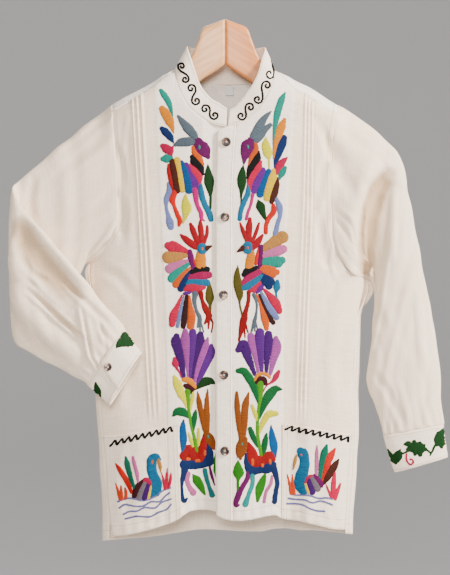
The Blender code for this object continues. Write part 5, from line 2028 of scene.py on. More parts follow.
# Needlework, one stroke to a line, in the picture's own pixels. A line with @ names the
# piece that the strokes below it lie on. The others give the thread, then the points as
# x,y,half width, and a + at the end for each layer that the stroke lies on.
MOTIFS = """
@ front_right
teal 160.8,90.5,1.6 164.5,95.5,2.6 168.5,102,2.4 171,109,1.6 172.8,118,.4
amber 162,108.5,2.6 165,113,3.8 169,120,3.8 172,127,2.2 173.8,133.5,.4
navy 161.8,128.5,2 165.5,132,3.2 170,137,2.9 173.6,143,.5
crimson 162.5,146,2.2 166,148.5,3.8 169.5,151,3.6 171.8,156,.6
crimson 173.5,145.5,.5 171.5,150,2 171,155,1
teal 162.8,159,2.2 166.5,158.6,3.6 171,158,2
grey 178.2,116.2,1.2 183,122.5,2.9 188.5,129,3.9 193.5,134.5,3.4 197,139.5,1.8
grey 175,145,1.4 181,142.5,3.6 188,141.8,3.9 195,141.8,2.2
orange 193.4,147.5,1.8 195,152.5,2.6 199,157.5,2.6 203,164.5,1.2
plum 197.9,142,4 200.5,147.4,6.6 204.7,151.6,5.4 208.4,157.4,1.6
teal 199.4,145,.4 199.5,147.2,1.5 199.7,149.6,.5 +
black 192.3,157,2.2 195,162,4 199.5,167,3.6 202.5,174,1.6
coral 190.3,165.5,1.8 194,171,4 198,177,4 199.5,183,1.8
purple 186,164.5,2 190,172,3.8 194,181,4.6 195.5,188,3
blue 181.5,162,1.6 185,171,3.8 188,181,4.2 189,190,3.6
yellow 177,160,2.8 179.5,170,3 181,180,3 182.5,190,2.4
brown 172.2,161.5,2.6 174,170.5,3.2 175.8,180,3.2 177,190.5,3
red 168.3,164.5,1.2 169,173,2 170.7,182,2.2 172.8,191,1.2
lavender 168,183,.9 169.5,191,2.5 166.5,199,2.4 166.3,207,1.3 168,215,1.8 170,223,3.2 171,227.5,2.4
flame 175,192,2.4 172.2,199,2.8 174.2,206,1.5 177.2,214,1.9 179.8,221,2 179,225.5,1.2
lime 186,193.5,.4 185.5,200,2.6 186.5,208,4.1 185.5,215,2.6 183,223.5,.6
pink 195,189,2.6 195.8,197,2.2 197.6,206,1.8 201,213,2 202.2,219.5,1.4 204.5,221,.6
turquoise 200.7,184,1.2 201.3,193,2.6 205,205,2.3 209.5,214,2.6 211,219.5,2.2
forest 208,164,.3 208.2,172,2.6 209,181,4.2 210,190,2.6 210.5,197,1.2 210.2,209,1
scarlet 180.7,234.9,1 186.5,239.9,2.8 193.1,244.9,3 198.9,248.2,2
scarlet 190.6,224.1,1.4 193.1,230.8,2.6 195.6,237.4,2.4 199.8,244.9,2
scarlet 200.2,220.4,.8 200.6,227.4,2.4 201.4,235.7,2.4 202.2,244,2
scarlet 207.2,226.2,1.4 207.2,232.4,2 205.6,239,1.8 204.3,244,1.4
neck 201,253.1,3.6 200.6,259.8,4.4 200.6,266.4,4.6
scarlet 198.3,246,3.6 201.3,246.6,3.8
turquoise 202.2,247.8,4 202.2,249.8,4 +
orange 202.2,248.4,1.2 202.2,249.2,1.2 ++
brown 206.4,248.2,2.4 211.4,246.1,.8 +
coral 167.6,245.5,3 171.5,246.5,5 179,248.5,3.6 187.5,251.5,1.8
tan 167.8,257.3,5 174.9,256.9,4.6 181.5,256,3 187.3,255.6,1.5
rose 169.5,268.9,4 175.7,265.6,3.6 183.2,262.3,2.2 188.1,260.6,1.2
teal 171.6,278.8,3.6 176.5,273,4 183.2,268.1,2.6 188.6,263.9,1.4
orange 175.7,284.7,3 179.9,278.8,3 184.8,273,2.2 189.8,268.1,1
navy 180.7,288.8,3 183.2,283,3.8 186.5,276.4,3 189.8,272.2,1.4
plum 189.8,251.5,2 191,258.1,2.6 192.7,264.8,2.2 192.3,269.7,1
flame 191.9,254.8,.8 193.9,261.4,1.6 195.6,265.6,1.2
magenta 189,277.6,2.6 196.4,276,3.4 203,275.1,3.6 208.9,275.1,3
turquoise 185.7,283,2.4 193.1,281.8,3 199.8,282.6,3 207.2,283,3
coral 184.8,288.8,2.2 191.5,287.1,4 198.1,288,3.6 203.9,287.1,2
purple 184,293.8,1.6 188.1,292.9,1.8 191.5,292.1,1
black 192.5,272,2.6 196.5,269.8,3 201.5,269,3 207.5,269.5,2.4
coral 181.9,295.4,.8 177.4,306.2,2 173.2,316.2,3.4 172,324.5,2.6
lavender 183.6,296.3,1 181.5,306.2,1.4 179,317.8,2.2 177.4,326.5,2
umber 186.9,296.3,1.6 185.7,306.2,2.2 184.4,317.8,2.6 183.2,326.5,2.2
orange 189.4,296.3,1 190.2,306.2,2 191.5,317.8,3.4 190.6,326.5,3
grey 195.2,293.4,2.6 194.4,301.2,1.8 196.4,310.4,1.4 199.8,319.5,2 197.7,327,.9
grey 199.8,319.5,1.4 200.2,332,.8
grey 199.8,319.5,1.4 203.7,332,.8
rust 200.6,293,2.2 202.2,300.4,1.6 205.6,308.7,2.6 208.9,316.2,2.6 204.7,323.7,.9
rust 208.9,316.2,1.8 208.5,328.6,.9
rust 208.9,316.2,1.8 212.6,322.8,1 211.4,332.4,.8
olive 209.7,282.6,.6 209.3,289.6,2.6 209.7,298,3.6 210.1,305.4,1.4 210.1,314.5,.8
iris 176.5,336,2.5 176.1,341,4.4 178.4,350.1,4.2 181.1,361.5,3 183.8,377.6,1.8
violet 192.8,332,3 192.8,340.1,3.6 192.1,353.5,2.8 190.8,366.9,2 190.1,378.9,1.2
lilac 185.1,330.7,2 185.8,340.1,4.4 186.8,353.5,3 187.4,366.9,1.6 187.8,377.6,.8
iris 200.5,334.1,2.6 199.5,341.4,4.4 196.5,354.8,3 193.8,366.9,2.2 191.8,380.3,1.2
violet 211.2,345.5,1.6 211.2,352.2,3.4 206.5,362.9,3.2 201.2,374.9,2.4 197.2,385,1.2
lilac 207.9,338.1,1 205.2,346.8,3 200.5,360.2,2.8 197.2,370.9,2 194.5,382.3,1.2
stem 187.8,391,2.4 188.1,400.4,1.6 189,409.9,1.4 190.7,422.3,1.3 194,436.4,1.4 196.9,451.3,1.6
amber 183.8,379.6,2 188.4,380.3,2.6 192.5,383.6,2.4 195.1,387,1.6
maroon 185.1,385.6,1.8 188.1,387,3 191.8,389.7,2.6 190.8,393.3,.8
crimson 174.4,358.8,1.6 175.4,363.5,3 176.7,367.9,1.4 179.7,372.9,.8 181.7,377.3,.8
lime 174.4,376.9,1.6 177.7,385,3.6 181.1,393.7,3.4 184.4,400.4,2 186.4,407.7,.6
lime 193.1,393,1.4 192.5,399,2.2 191.1,405.7,1.6 190.1,413.1,.6
lime 188.6,433.1,.8 190.7,439.7,1.8 192.8,446.3,1.4
lime 198.6,428.9,1.2 198.6,436.4,2 198.6,444.7,1.6
forest 195.5,389.3,.8 200,385,2.8 205.5,381.6,3.8 211,381.5,2.8 214.8,383.6,.8
green 173,415.8,1 177,412,3.2 182,412,3.8 187.8,417,1.2
green 195.7,410.7,1 194.4,418.1,2.4 193.6,425.6,1.8 193.6,432.2,.4
blue 183.6,420.2,.8 182.8,428.1,2.6 183.4,438,3.1 183.1,448,2 182.8,454.6,.6
hare 197.5,391.6,.5 199.4,404.1,2.4 202.3,418.1,2.4 204.8,429.7,2
hare 207.7,389.1,.5 206.8,401.6,2 206.8,416.5,2.6 206.8,430.6,2.2
navy 184.9,467.9,3 183.6,475.3,2.4 181.6,481.9,1.9 181.6,490.2,1.5 184.5,501,1.8 187,498.5,.9
bottle 204.8,470.3,2 206.4,477.8,1.9 208.9,486.1,1.6 212.2,495.2,2.4
plum 209.7,467,1.2 211.4,474.5,1.6 214.7,485.2,.8
rose 188.2,473.6,2 187,479.4,2 189,486.1,2 193.2,492.7,2.8
navy 184,464.5,4 191.5,464.5,4 200.6,463.7,4 208.9,460.4,4.8
navy 208.9,462,4 209.3,452.9,3.4 207.7,444.7,1.6
red 184,456.2,4 189,452.1,6 194.8,455.4,5 199.8,457.9,4
red 200.6,459.6,3.6 202.3,449.6,3.6 203.9,441.3,2.6 203.8,434.7,.8
hare 206.4,433.1,2.6 208.9,438.9,4.4 212.2,444.7,3.4 213.9,448.8,1.2
teal 208,435,.4 208.1,436.6,1.2 208.3,438.2,.4 +
pink 214.7,446.7,.5 215.7,450,.5
orange 187.4,459.2,1.8 189.2,459.2,1.6 +
orange 196.4,460.8,1.8 199.2,460.8,1.6 +
orange 204.8,451.3,1.5 204.8,454.6,1.5 +
fern 192.8,474.5,.6 196.9,480.3,3.6 200.6,486.1,3 204.8,494.4,.9
fern 216,452.5,.5 215.6,460.4,1.9 215.2,469.5,1.9 215.7,477,.5
@ front_left
teal 285.2,92.5,.6 281.5,100,2.8 278,111,3 275,126,1.9 273.3,144.5,.7
amber 284.6,119.5,1.4 281.5,127,3.4 278,138,3.2 275,150,2 273.8,158.5,.8
navy 284,138,2.8 281.5,144,4 278.5,153,3.2 275.5,162.5,1.7 274.5,168,.5
crimson 287,157.8,.8 283,161.5,2.6 279,167,3.2 276.8,173,1.8
teal 285,168,1.8 282,172.5,3 279.5,179,.9
brown 277.5,178,.8 276.3,185,2.8 273.7,194,3.4 271.5,202,2
yellow 274,171.5,2.6 272,179,4 269,189,4 266.8,198.5,2.8
blue 268.8,171.5,2.4 265.5,178.5,2.8 262,187,3.4 260,194.5,3
purple 263,170,2.4 259.5,177,3.6 255.8,185,3.8 254,191.5,2.4
coral 260.5,162,1.6 257.5,169,3.4 252.8,176.5,3.2 250.2,184,2.6 250.6,189.5,1
black 258.5,152,1.2 257,158.5,3.4 252.5,166,3.8 249.2,174,2.4 248,181,.9
orange 255.5,143,1.4 256,149,2.4 251.5,157,2 249,165,1
plum 251,140.5,3.2 248.5,146,6.2 245.8,153,4.6 244.3,160,2 243.9,164,.7
teal 247.8,144.8,.4 248,146.8,1.4 248.3,148.9,.4 +
grey 271,111.5,.7 265,117.5,2.4 259.5,126,3.6 253.5,136,3.2
grey 270.3,125,1.8 265,129.5,2.8 260,135.5,3.6 256,141,2.4
lime 266,137,.4 265.8,145,3.4 267.8,153,3.9 269,160,1 269.2,168,.8
forest 243.3,165.3,.4 242.2,172.6,2.8 241.7,181,3.9 241.7,189.5,2.4 241.2,195.8,1 241.2,204.2,.8
turquoise 248,184.5,1 248,193,2.2 244.5,201,2.2 240.8,211,2 239.8,219,2
pink 252.7,194.7,2 251.2,203,1.6 248,212.6,1.6 246.4,219,1.8
forest 258,200,.6 260.3,206,3.8 262.5,212,2.8 266.2,220.5,.9
flame 273.3,205.3,1.6 273.8,210.5,2.4 268.5,219,2 265.9,226.3,1.8 265.9,232.6,1.8
lavender 276.4,199,1.6 279.6,207.4,2.6 280,215.8,1.8 277.5,224.2,1.9 275.4,233.7,2.2
scarlet 240,222.9,.9 242.9,230.8,2.2 245.8,239,2 247.1,242.4,1.6
scarlet 250,218.7,1.4 249.1,227.4,2.8 248.7,235.7,2.6 249.1,242.4,2.4
scarlet 259.1,223.3,1.2 256.6,230.8,2 253.7,238.2,2 251.2,243.2,2
scarlet 262.4,235.3,1.2 258.7,240.7,2.6 254.5,245.7,3 252.5,249,1.8
neck 251.2,252.3,2.8 250.6,259,3.8 249.1,266.4,3.6
turquoise 247.7,245.8,3.8 247.7,249.8,3.8 +
orange 247.7,247.2,1.1 247.7,248.4,1.1 ++
brown 243.3,248.2,2.6 237.5,251.5,.8 +
flame 258.3,248.2,.6 257,256.5,1.8 255.8,263.9,1.8
plum 261.2,247.3,2.6 260.8,254.8,2 260.3,263.1,2.2 259.3,269.7,1
tan 263.7,248.2,3 271.1,244,4 277.8,239.5,5 282.8,237,5
rose 263.7,255.6,2 271.1,253.1,3.4 277.8,251.1,4 283.6,249,3.4
teal 263.2,261.8,3 271.1,261.4,4.8 277.8,261.8,5 282.3,260.2,3
orange 261.6,268.9,3 267.8,270.1,4.6 273.6,272.2,5 276.9,272.2,2.6
navy 262,275,2.4 265.5,279.5,5.4 268.5,283,5.6 269,286.5,3
magenta 242.5,283,2 247.9,278.8,3.2 253.7,274.7,3 259.5,272.2,2.6
turquoise 243.8,288,2.4 250.4,284.7,3.8 256.2,280.5,3 261.6,276.4,2.4
coral 250,291.3,1.4 253.7,288.8,3.4 257.9,285.5,2.6 261.6,281.3,1.6
purple 257,292.1,1.6 259.9,288.4,2.8 262.8,285.5,1.4
black 244.2,274.7,2.4 247.1,271.4,3.2 252,269.7,2.8 256.6,267.7,1.8
coral 263.7,289.2,1 269.5,295.4,2.6 275.3,302.9,4 279.4,311.2,2.6
lavender 260.8,291.3,1 265.3,300.4,2 271.1,310.4,3 276.9,317.8,2.2
umber 259.1,294.6,1 263.7,305.4,1.8 268.6,315.3,2.4 273.2,322.8,2
orange 256.6,294.6,.8 261.2,305.4,1.8 264.9,317.8,3.4 266.6,328.6,2
grey 253.7,294.6,2 256.6,302.9,1.3 256.6,311.2,1.2 254.9,319.5,2 250.8,333.6,.8
grey 254.9,319.5,1.4 254.9,331.1,.8
grey 254.9,319.5,1.4 257.2,328.2,.8
rust 248.7,292.1,1.8 248.3,301.2,1.6 245.8,311.2,2 243.8,319.5,3 238.8,341,.8
rust 243.8,319.5,1.8 245,337.3,.8
rust 243.8,319.5,1.8 248.1,332.7,.8
olive 237.8,265.6,.4 237.1,274.7,2.6 238,285.5,3.6 239.6,294.6,3 239.6,302.9,.9 242.1,315.3,.8
turquoise 277.3,281.3,1.6 276.9,287.1,3 276.1,292.9,1 277.3,299.6,.6
iris 238,350,2.5 243,346,5 247.5,356,3.6 251.5,366,2.4 254.8,374.5,1.6
violet 259.8,332.1,3.6 259.5,342.1,4.6 260.8,357.5,2.8 261.8,372.2,1.4
lilac 250.8,336.1,3 252.4,343.4,3.4 255.5,357.5,2 258.1,372.2,1.2
iris 268.5,334.1,3 268.5,342.1,4 267.2,357.5,2.6 266.2,372.9,1.4
lilac 275.9,338.1,2 276.6,346.8,4 273.5,360.2,2.8 270.2,374.3,1.4
stem 260.1,383.6,3.2 260.5,392.3,2.2 258.7,409.9,1.5 257.4,426.5,1.4 258.3,439.7,1.5 261.6,455.5,1.6
amber 254.8,380.3,1.4 257.5,375.6,1.9 262.2,373.6,1.9 266.8,374.6,1.9 269.9,377.6,1.4
maroon 256.5,382.3,1.8 260.1,378.9,2.2 264.2,379.6,2.2 265.5,383.6,1.8
green 237.7,370.9,2 242.7,370.9,3 248.8,377.6,3.4 254.1,388.3,2.8 257.5,399,1.6 258.5,404.4,.6
green 281.2,389.3,1 276.2,389,3 269.5,395,4 264.2,404.4,3 260.8,413.8,1.6 259.8,418.5,.6
green 250,428.9,2 252.9,436.4,2.4 257.4,447.2,.6
green 266.6,433.9,1 264.9,443,2.6 263.7,453.8,1.4
crimson 278.9,371.2,1.2 276.2,376.3,2.4 272.9,381,1.6 266.8,385.6,.6 262.5,393,.5
lime 252,405.7,1.8 255.4,414,2.2 257,420.7,.8
lime 276.5,413.6,2 269.5,414,3 263.7,421.5,2.4 260.3,429.8,1.4 259.1,434.8,.5
blue 271.1,425.6,.6 271.9,434.8,2.6 273.6,444.7,3.4 274.8,457.1,1.4
hare 236.7,392.5,1.2 237.1,405.7,2.4 238.8,422.3,2.4 241.3,438.1,2.2
hare 248.7,392.5,.6 245.4,405.7,3 244.2,420.7,3 242.9,436.4,2.4
navy 273.6,467.9,3 276.1,476.2,2.2 277.3,482.8,1.9 275.7,492,2 274.4,501.9,2.2
plum 247.9,470.4,1.2 247.5,477.9,2 242.9,486.2,2 238.8,494.5,2.4 236.7,505.2,2 239.2,505,.8
aqua 252.5,474.6,2 252.5,483.7,1.9 248.7,494.5,1.8 245.4,504.4,2.6
rose 271.9,476.2,1.4 271.1,482.8,1.9 266.1,492,1.8 264.1,501.9,1.8
navy 245.8,453.8,1 247.1,463.8,2.6 251.2,470.4,4 259.5,469.6,3.2 267.8,467.9,4.4 273.2,464.6,3
red 248.7,443,1 251.2,451.3,4 255.4,461.3,5 262.8,460.5,4.4 271.1,456.3,4 273.6,459.6,2
hare 243.3,439.7,3.6 241.7,447.2,4.8 240.4,453.8,3.8 240.4,458.8,1.2
teal 242,442.4,.4 242.1,444,1.2 242.2,445.6,.4 +
pink 237.3,456.6,.5 236.9,458.6,.5
orange 252.5,459.6,1.5 252.5,464.6,1.5 +
orange 262.4,464.8,1.6 262.4,466,1.6 +
orange 269.9,460.2,1.4 269.9,463.2,1.4 +
fern 238.1,460.5,.5 238,466.3,3 238.4,472.9,4.6 238,481.2,1.2 238.1,492,1.2
fern 265.3,473.7,.6 262.8,480.4,2.8 259.9,487.8,3.6 257.4,501.1,1.2
@ pocket_right
flame 115.6,463.6,.6 120.7,471.4,2.2 126.7,481.2,2.2 131.6,492.6,1.4
jade 125.6,456.8,.8 127.2,464.4,2.4 130.5,476.9,2 134.3,488.2,1.4
rose 132.9,456.8,1.2 134.3,463.3,2.2 137,473.6,2.2 138.1,482.3,1.2
azure 159.2,459.4,1.8 156.2,457.8,3.6 152.8,459.6,4.4 151.5,466,4.1 152.9,474.7,4.1 \
155.9,483.4,4.9 155,491.5,4.6 151.4,497.6,1.4
orange 152.4,460.8,.9 152.2,463.4,.9 +
tan 158.4,460.1,1.6 160,465.5,2 160.6,472,.6 +
crimson 142.4,481.7,1 145.7,480.1,2.4 149.4,482.3,2.4 151.1,486.1,1.4
maroon 142.6,481.4,1.6 138.8,486.1,2.8 135.8,491.5,2.9 134.2,496.4,2.2
stone 144.8,483.6,2.2 141.6,490.4,2.8 139.2,497.8,2.6
iris 148,485.4,2.2 146,492,2.6 144.2,498.4,2.4
yellow 151,486.4,1.4 149.8,492.6,1.6 148.4,498.4,1.5
reed 115.6,483.4,.6 118,491,1.6 120.2,499.1,2
reed 121,486.1,1 121.3,492,1.6 121.8,499.1,2
reed 125.1,488.2,1 125.9,493.1,1.8 125.6,498.5,1.8
coral 161.4,472.5,.5 163.5,480.1,1.4 165.2,488.8,1.8
coral 167.3,468.2,.5 166.8,476.9,1.6 166.2,487.7,2
coral 171.1,473.1,.6 170.3,480.1,1.8 168.4,487.7,1.6
water 117.7,501.8,1.0 122.9,499.6,1.0 128.3,498.3,1.0 135.4,499.1,1.0 140.2,500.4,1.0 \
148.4,499.6,1.0 156.5,495.3,1.0 163.5,490.4,1.0 170.6,487.7,1.0
water 119.4,508,1.0 125.1,504.5,1.0 131,505.6,1.0 137.5,506.4,1.0 142.9,506.1,1.0 151.1,501.8,1.0 \
159.7,501.5,1.0 164.6,496.9,1.0 169.5,492.8,1.0
water 123.4,514.3,1.0 128.3,511.8,1.0 137.5,511,1.0 144,507.8,1.0 155.4,507.8,1.0 161.9,502.3,1.0 \
171.1,499.1,1.0
water 125.3,518.9,1.0 135.9,516.4,1.0 151.1,516.4,1.0 158.1,512.6,1.0 167.3,508.8,1.0 \
171.1,504.5,1.0
@ pocket_left
rose 317,445.8,.8 316.7,454,2 316.5,464.8,2.2 316.2,475.1,1.6
jade 326.8,445.3,1 324.3,452.9,3 321.6,465.4,2.4 320,478.4,1.6
flame 334.9,449.1,1 330.3,456.7,3 325.9,468.6,2.4 322.2,482.2,1
brown 338.4,459.9,1 333.5,467.5,3 328.1,476.2,3 323.2,483.8,1.2
azure 300.2,450.7,3 302.1,452.9,4.6 304.5,459.4,4 303.7,468.6,4.4 301,477.3,5 299.9,483.8,5 \
303.7,492.5,3
orange 301.1,454.6,1 301.5,455,1 +
tan 296.4,455.1,.9 295.1,461,1.8 293.2,469.1,.8 +
crimson 305.4,482.7,1.6 307,478.9,1.8 310.2,476.2,1.6 314.6,475.9,1.2
plum 314.6,476,2 317.8,480,2.6 320.9,484.3,2.6 321.4,486.2,1.6
stone 312.4,477.8,2.2 315.4,483.8,3 317.8,489,2.6
iris 308.9,480.4,2.2 310.6,486.5,3.1 312.2,491.9,2.9
yellow 305.4,483.6,1.4 307,488.7,1.7 308.7,492.9,1.5
reed 287.2,474.6,.6 289.6,483.8,1.6 291.3,493,2.2
reed 292.3,474.6,.6 292.6,482.7,1.6 293.7,493.5,2.2
coral 325.9,483.8,.5 328.1,489.7,1.2 331.4,497.3,1.6
coral 334.6,472.9,1.2 333.5,483.8,2.2 333,496.2,2.2
coral 340.3,483.8,1 337.9,490.3,2 335.2,499,1.8
water 290.7,494.1,1.0 296.7,495.2,1.0 304.3,494.9,1.0 310.8,496,1.0 318.9,498.4,1.0 \
325.9,497.9,1.0 332.5,499,1.0
water 288.3,498.4,1.0 296.7,499.5,1.0 304.3,499.8,1.0 312.9,502.8,1.0 320.5,501.1,1.0 \
327,502.8,1.0 332.2,504.9,1.0
water 286.9,503.8,1.0 294,503.6,1.0 303.2,505.2,1.0 310.2,508.7,1.0 317.3,510.9,1.0 324.6,511.4,1.0
@ collar_right
@ collar_left
black 270.2,54,.9 271.6,60,.95 272.6,66,1 273.8,72,1 273.2,76.6,1 270.2,78.6,.95 267.2,76.4,.95 \
267.2,72.4,.9 269.8,71.2,.9 271,73.6,.8
@ cuff_left
ivy 388,449.8,.8 390.2,454.6,1.9 393.4,459.6,2.6 395.4,463,1.2
ivy 400.4,449.8,.7 398,453.6,2.6 396.2,458.6,4.2 395.8,463,1.4
ivy 401.4,452.6,1 399.4,457,2.4 397.6,461.6,1.2
ivy 401,454.4,1 404.8,452.8,1.1 409.4,450.2,1.5
ivy 407.6,449.6,1.6 411.6,448.4,3.6 417,448.2,5 421.8,448.8,4.4 426,449.4,1.4
ivy 412,446.8,2.3 408.2,444,2.5 404.4,444.2,.9
ivy 410.6,446,2.1 408.6,442.8,1.7
ivy 415.2,446,2.4 414.2,442,1.9
ivy 420,446,2.2 420,442.9,1.8
ivy 422.8,447.6,2.1 424.4,445.2,1.5
ivy 420.2,451.4,2.5 420.2,454.8,1.9
ivy 415.4,451.4,2.3 415.2,454,1.7
ivy 426,449.2,1 429.4,451.8,1.1 431.2,453.2,1
ivy 430.2,455.4,.8 432.4,451.2,1.1 435,445.6,1.4
ivy 436.6,444.6,1.8 438.4,440.4,4 440.8,435.4,4.2 443,430.8,2 443.8,428.8,.8
ivy 441.6,447.2,1.4 441.4,443.4,3.8 442.6,439,4 443.8,434,2.6
tendril 406.6,454.4,1 406.4,458.6,1.05 408.2,463,1.1 411.2,464.6,1.1 413.2,462.4,1.1 \
412.4,459.6,1.05 410.2,459.4,1
@ cuff_right
ivy 117,347,1 121,343.4,3.4 126,340.4,5.8 130,340,5.2 133,342.2,2.2
ivy 122.2,337.4,1.6 124.4,334.8,2.4 128,334.8,2.6 131.4,337.8,1.2
ivy 116.6,347.8,.8 118.2,343.4,2 120,340,1.8 121.6,338,.8
ivy 130,337.6,2.2 132.8,339.8,1.4 135,341.4,.6
ivy 121,345.4,1.6 126.4,345,1.9 131.8,344.8,1.7
ivy 95.6,382.8,.8 96.4,387,2 97.6,391,2.8 99.2,395.4,1.9 100.2,399,.7
ivy 92,391.4,1 94.6,392,2.2 97.4,394.8,2.4 99.8,398.4,1
"""


@dataclass(frozen=True)
class Stroke:
    """A tapered stretch of satin stitch, in the picture's pixels."""

    thread: "Thread"
    layer: int
    points: list[Dot]


def read_motifs(table: str) -> dict[str, list[Stroke]]:
    """Strokes of every embroidered piece, from the text table.

    Args:
        table: the text.

    Returns:
        The strokes by the name of the area.
    """
    found: dict[str, list[Stroke]] = {}
    strokes: list[Stroke] = []
    for line in table.strip().splitlines():
        thread, *words = line.split()
        if thread == "@":
            strokes = found.setdefault(words[0], [])
            continue
        dots = [tuple(float(part) for part in word.split(",")) for word in words if "," in word]
        strokes.append(Stroke(Thread[thread.upper()], line.count("+"), dots))
    return found


# How much deeper and darker threads are dyed than they look, and how golden ones keep light.
DYE_DEPTH = 1.6
DYE_LIGHT = 0.30
DYE_GLOW = 0.30
DARKEST = 0.002


class Thread(Enum):
    """Embroidery cottons, as sRGB out of 255."""

    TEAL = (62, 170, 155)
    AMBER = (255, 164, 20)
    NAVY = (16, 50, 96)
    CRIMSON = (196, 0, 92)
    GREY = (118, 128, 136)
    PLUM = (112, 14, 94)
    ORANGE = (255, 132, 22)
    BLACK = (5, 5, 6)
    CORAL = (222, 66, 100)
    PURPLE = (110, 58, 138)
    BLUE = (0, 98, 150)
    YELLOW = (255, 210, 8)
    BROWN = (82, 44, 36)
    RED = (172, 8, 50)
    SCARLET = (172, 6, 58)
    LAVENDER = (150, 160, 205)
    FLAME = (240, 92, 30)
    LIME = (228, 222, 72)
    PINK = (224, 84, 146)
    TURQUOISE = (0, 132, 164)
    FOREST = (12, 66, 34)
    NECK = (250, 160, 16)
    MAGENTA = (178, 0, 98)
    TAN = (206, 160, 120)
    ROSE = (238, 148, 188)
    UMBER = (54, 26, 26)
    RUST = (150, 42, 24)
    OLIVE = (100, 92, 28)
    IRIS = (72, 24, 102)
    LILAC = (190, 116, 180)
    VIOLET = (104, 58, 136)
    MAROON = (66, 12, 26)
    STEM = (124, 174, 56)
    GREEN = (24, 116, 78)
    HARE = (156, 98, 38)
    BOTTLE = (0, 138, 138)
    AQUA = (80, 180, 174)
    FERN = (92, 146, 46)
    AZURE = (0, 128, 164)
    JADE = (30, 126, 106)
    STONE = (140, 130, 136)
    REED = (246, 112, 22)
    WATER = (158, 156, 204)
    IVY = (0, 76, 42)
    TENDRIL = (222, 66, 108)

    def linear(self) -> np.ndarray:
        """The colour in linear light, as deep as dyed cotton is before light washes it out.

        Returns:
            Red, green and blue.
        """
        plain = np.array([((c / 255 + 0.055) / 1.055) ** 2.4 if c > 10 else c / 255 / 12.92
                          for c in self.value])
        grey = float(plain @ (0.2126, 0.7152, 0.0722))
        golden = max(0.0, float(min(plain[0], plain[1]) - plain[2]))
        light = min(1.0, DYE_LIGHT + DYE_GLOW * golden)
        return np.clip(grey + (plain - grey) * DYE_DEPTH, DARKEST, 1.0) * light


@dataclass(frozen=True)
class Wave:
    """A running line of curled waves along a pocket's mouth, in the picture's pixels."""

    start: Point
    end: Point
    count: int
    height: float = 2.1
    curl: float = 0.19
    lean: float = -1.5
    half: float = 1.3
    steps: int = 16

    def dots(self) -> list[Dot]:
        """Points of the line, with their half widths.

        Returns:
            Points and half widths.
        """
        length = math.hypot(self.end[0] - self.start[0], self.end[1] - self.start[1])
        ux = (self.end[0] - self.start[0]) / length
        uy = (self.end[1] - self.start[1]) / length
        period = length / self.count
        points = []
        for i in range(self.count * self.steps + 1):
            turn = 2 * math.pi * i / self.steps
            along = period * (i / self.steps + self.curl * math.sin(turn + self.lean))
            across = self.height * math.cos(turn)
            points.append((self.start[0] + ux * along - uy * across,
                           self.start[1] + uy * along + ux * across,
                           self.half * (0.92 + 0.12 * math.cos(turn + 0.8))))
        return points


@dataclass(frozen=True)
class Scroll:
    """Two spirals that turn opposite ways, joined into an S, in the picture's pixels."""

    first: Point
    second: Point
    hand: float
    radius: float = 4.8
    turns: float = 1.15
    eye: float = 0.9
    half: float = 1.12
    steps: int = 16

    def spiral(self, centre: Point, leave: float, inwards: bool) -> list[Dot]:
        """Points of one spiral about its centre, outwards or inwards.

        Args:
            centre: middle of the spiral.
            leave: angle at which its line leaves it.
            inwards: whether the points run to its heart.

        Returns:
            Points and half widths.
        """
        points = []
        for i in range(self.steps + 1):
            share = i / self.steps
            reach = self.eye + (self.radius - self.eye) * (1.0 - share if inwards else share)
            left = share if inwards else 1.0 - share
            angle = leave + self.hand * 2 * math.pi * self.turns * left
            points.append((centre[0] + reach * math.cos(angle),
                           centre[1] + reach * math.sin(angle), self.half))
        return points

    def dots(self) -> list[Dot]:
        """Points from the heart of the first spiral to the heart of the second.

        Returns:
            Points and half widths.
        """
        dx = self.second[0] - self.first[0]
        dy = self.second[1] - self.first[1]
        opening = math.acos(min(1.0, 2 * self.radius / math.hypot(dx, dy)))
        leave = math.atan2(dy, dx) + self.hand * opening
        return (self.spiral(self.first, leave, False)
                + self.spiral(self.second, leave + math.pi, True))


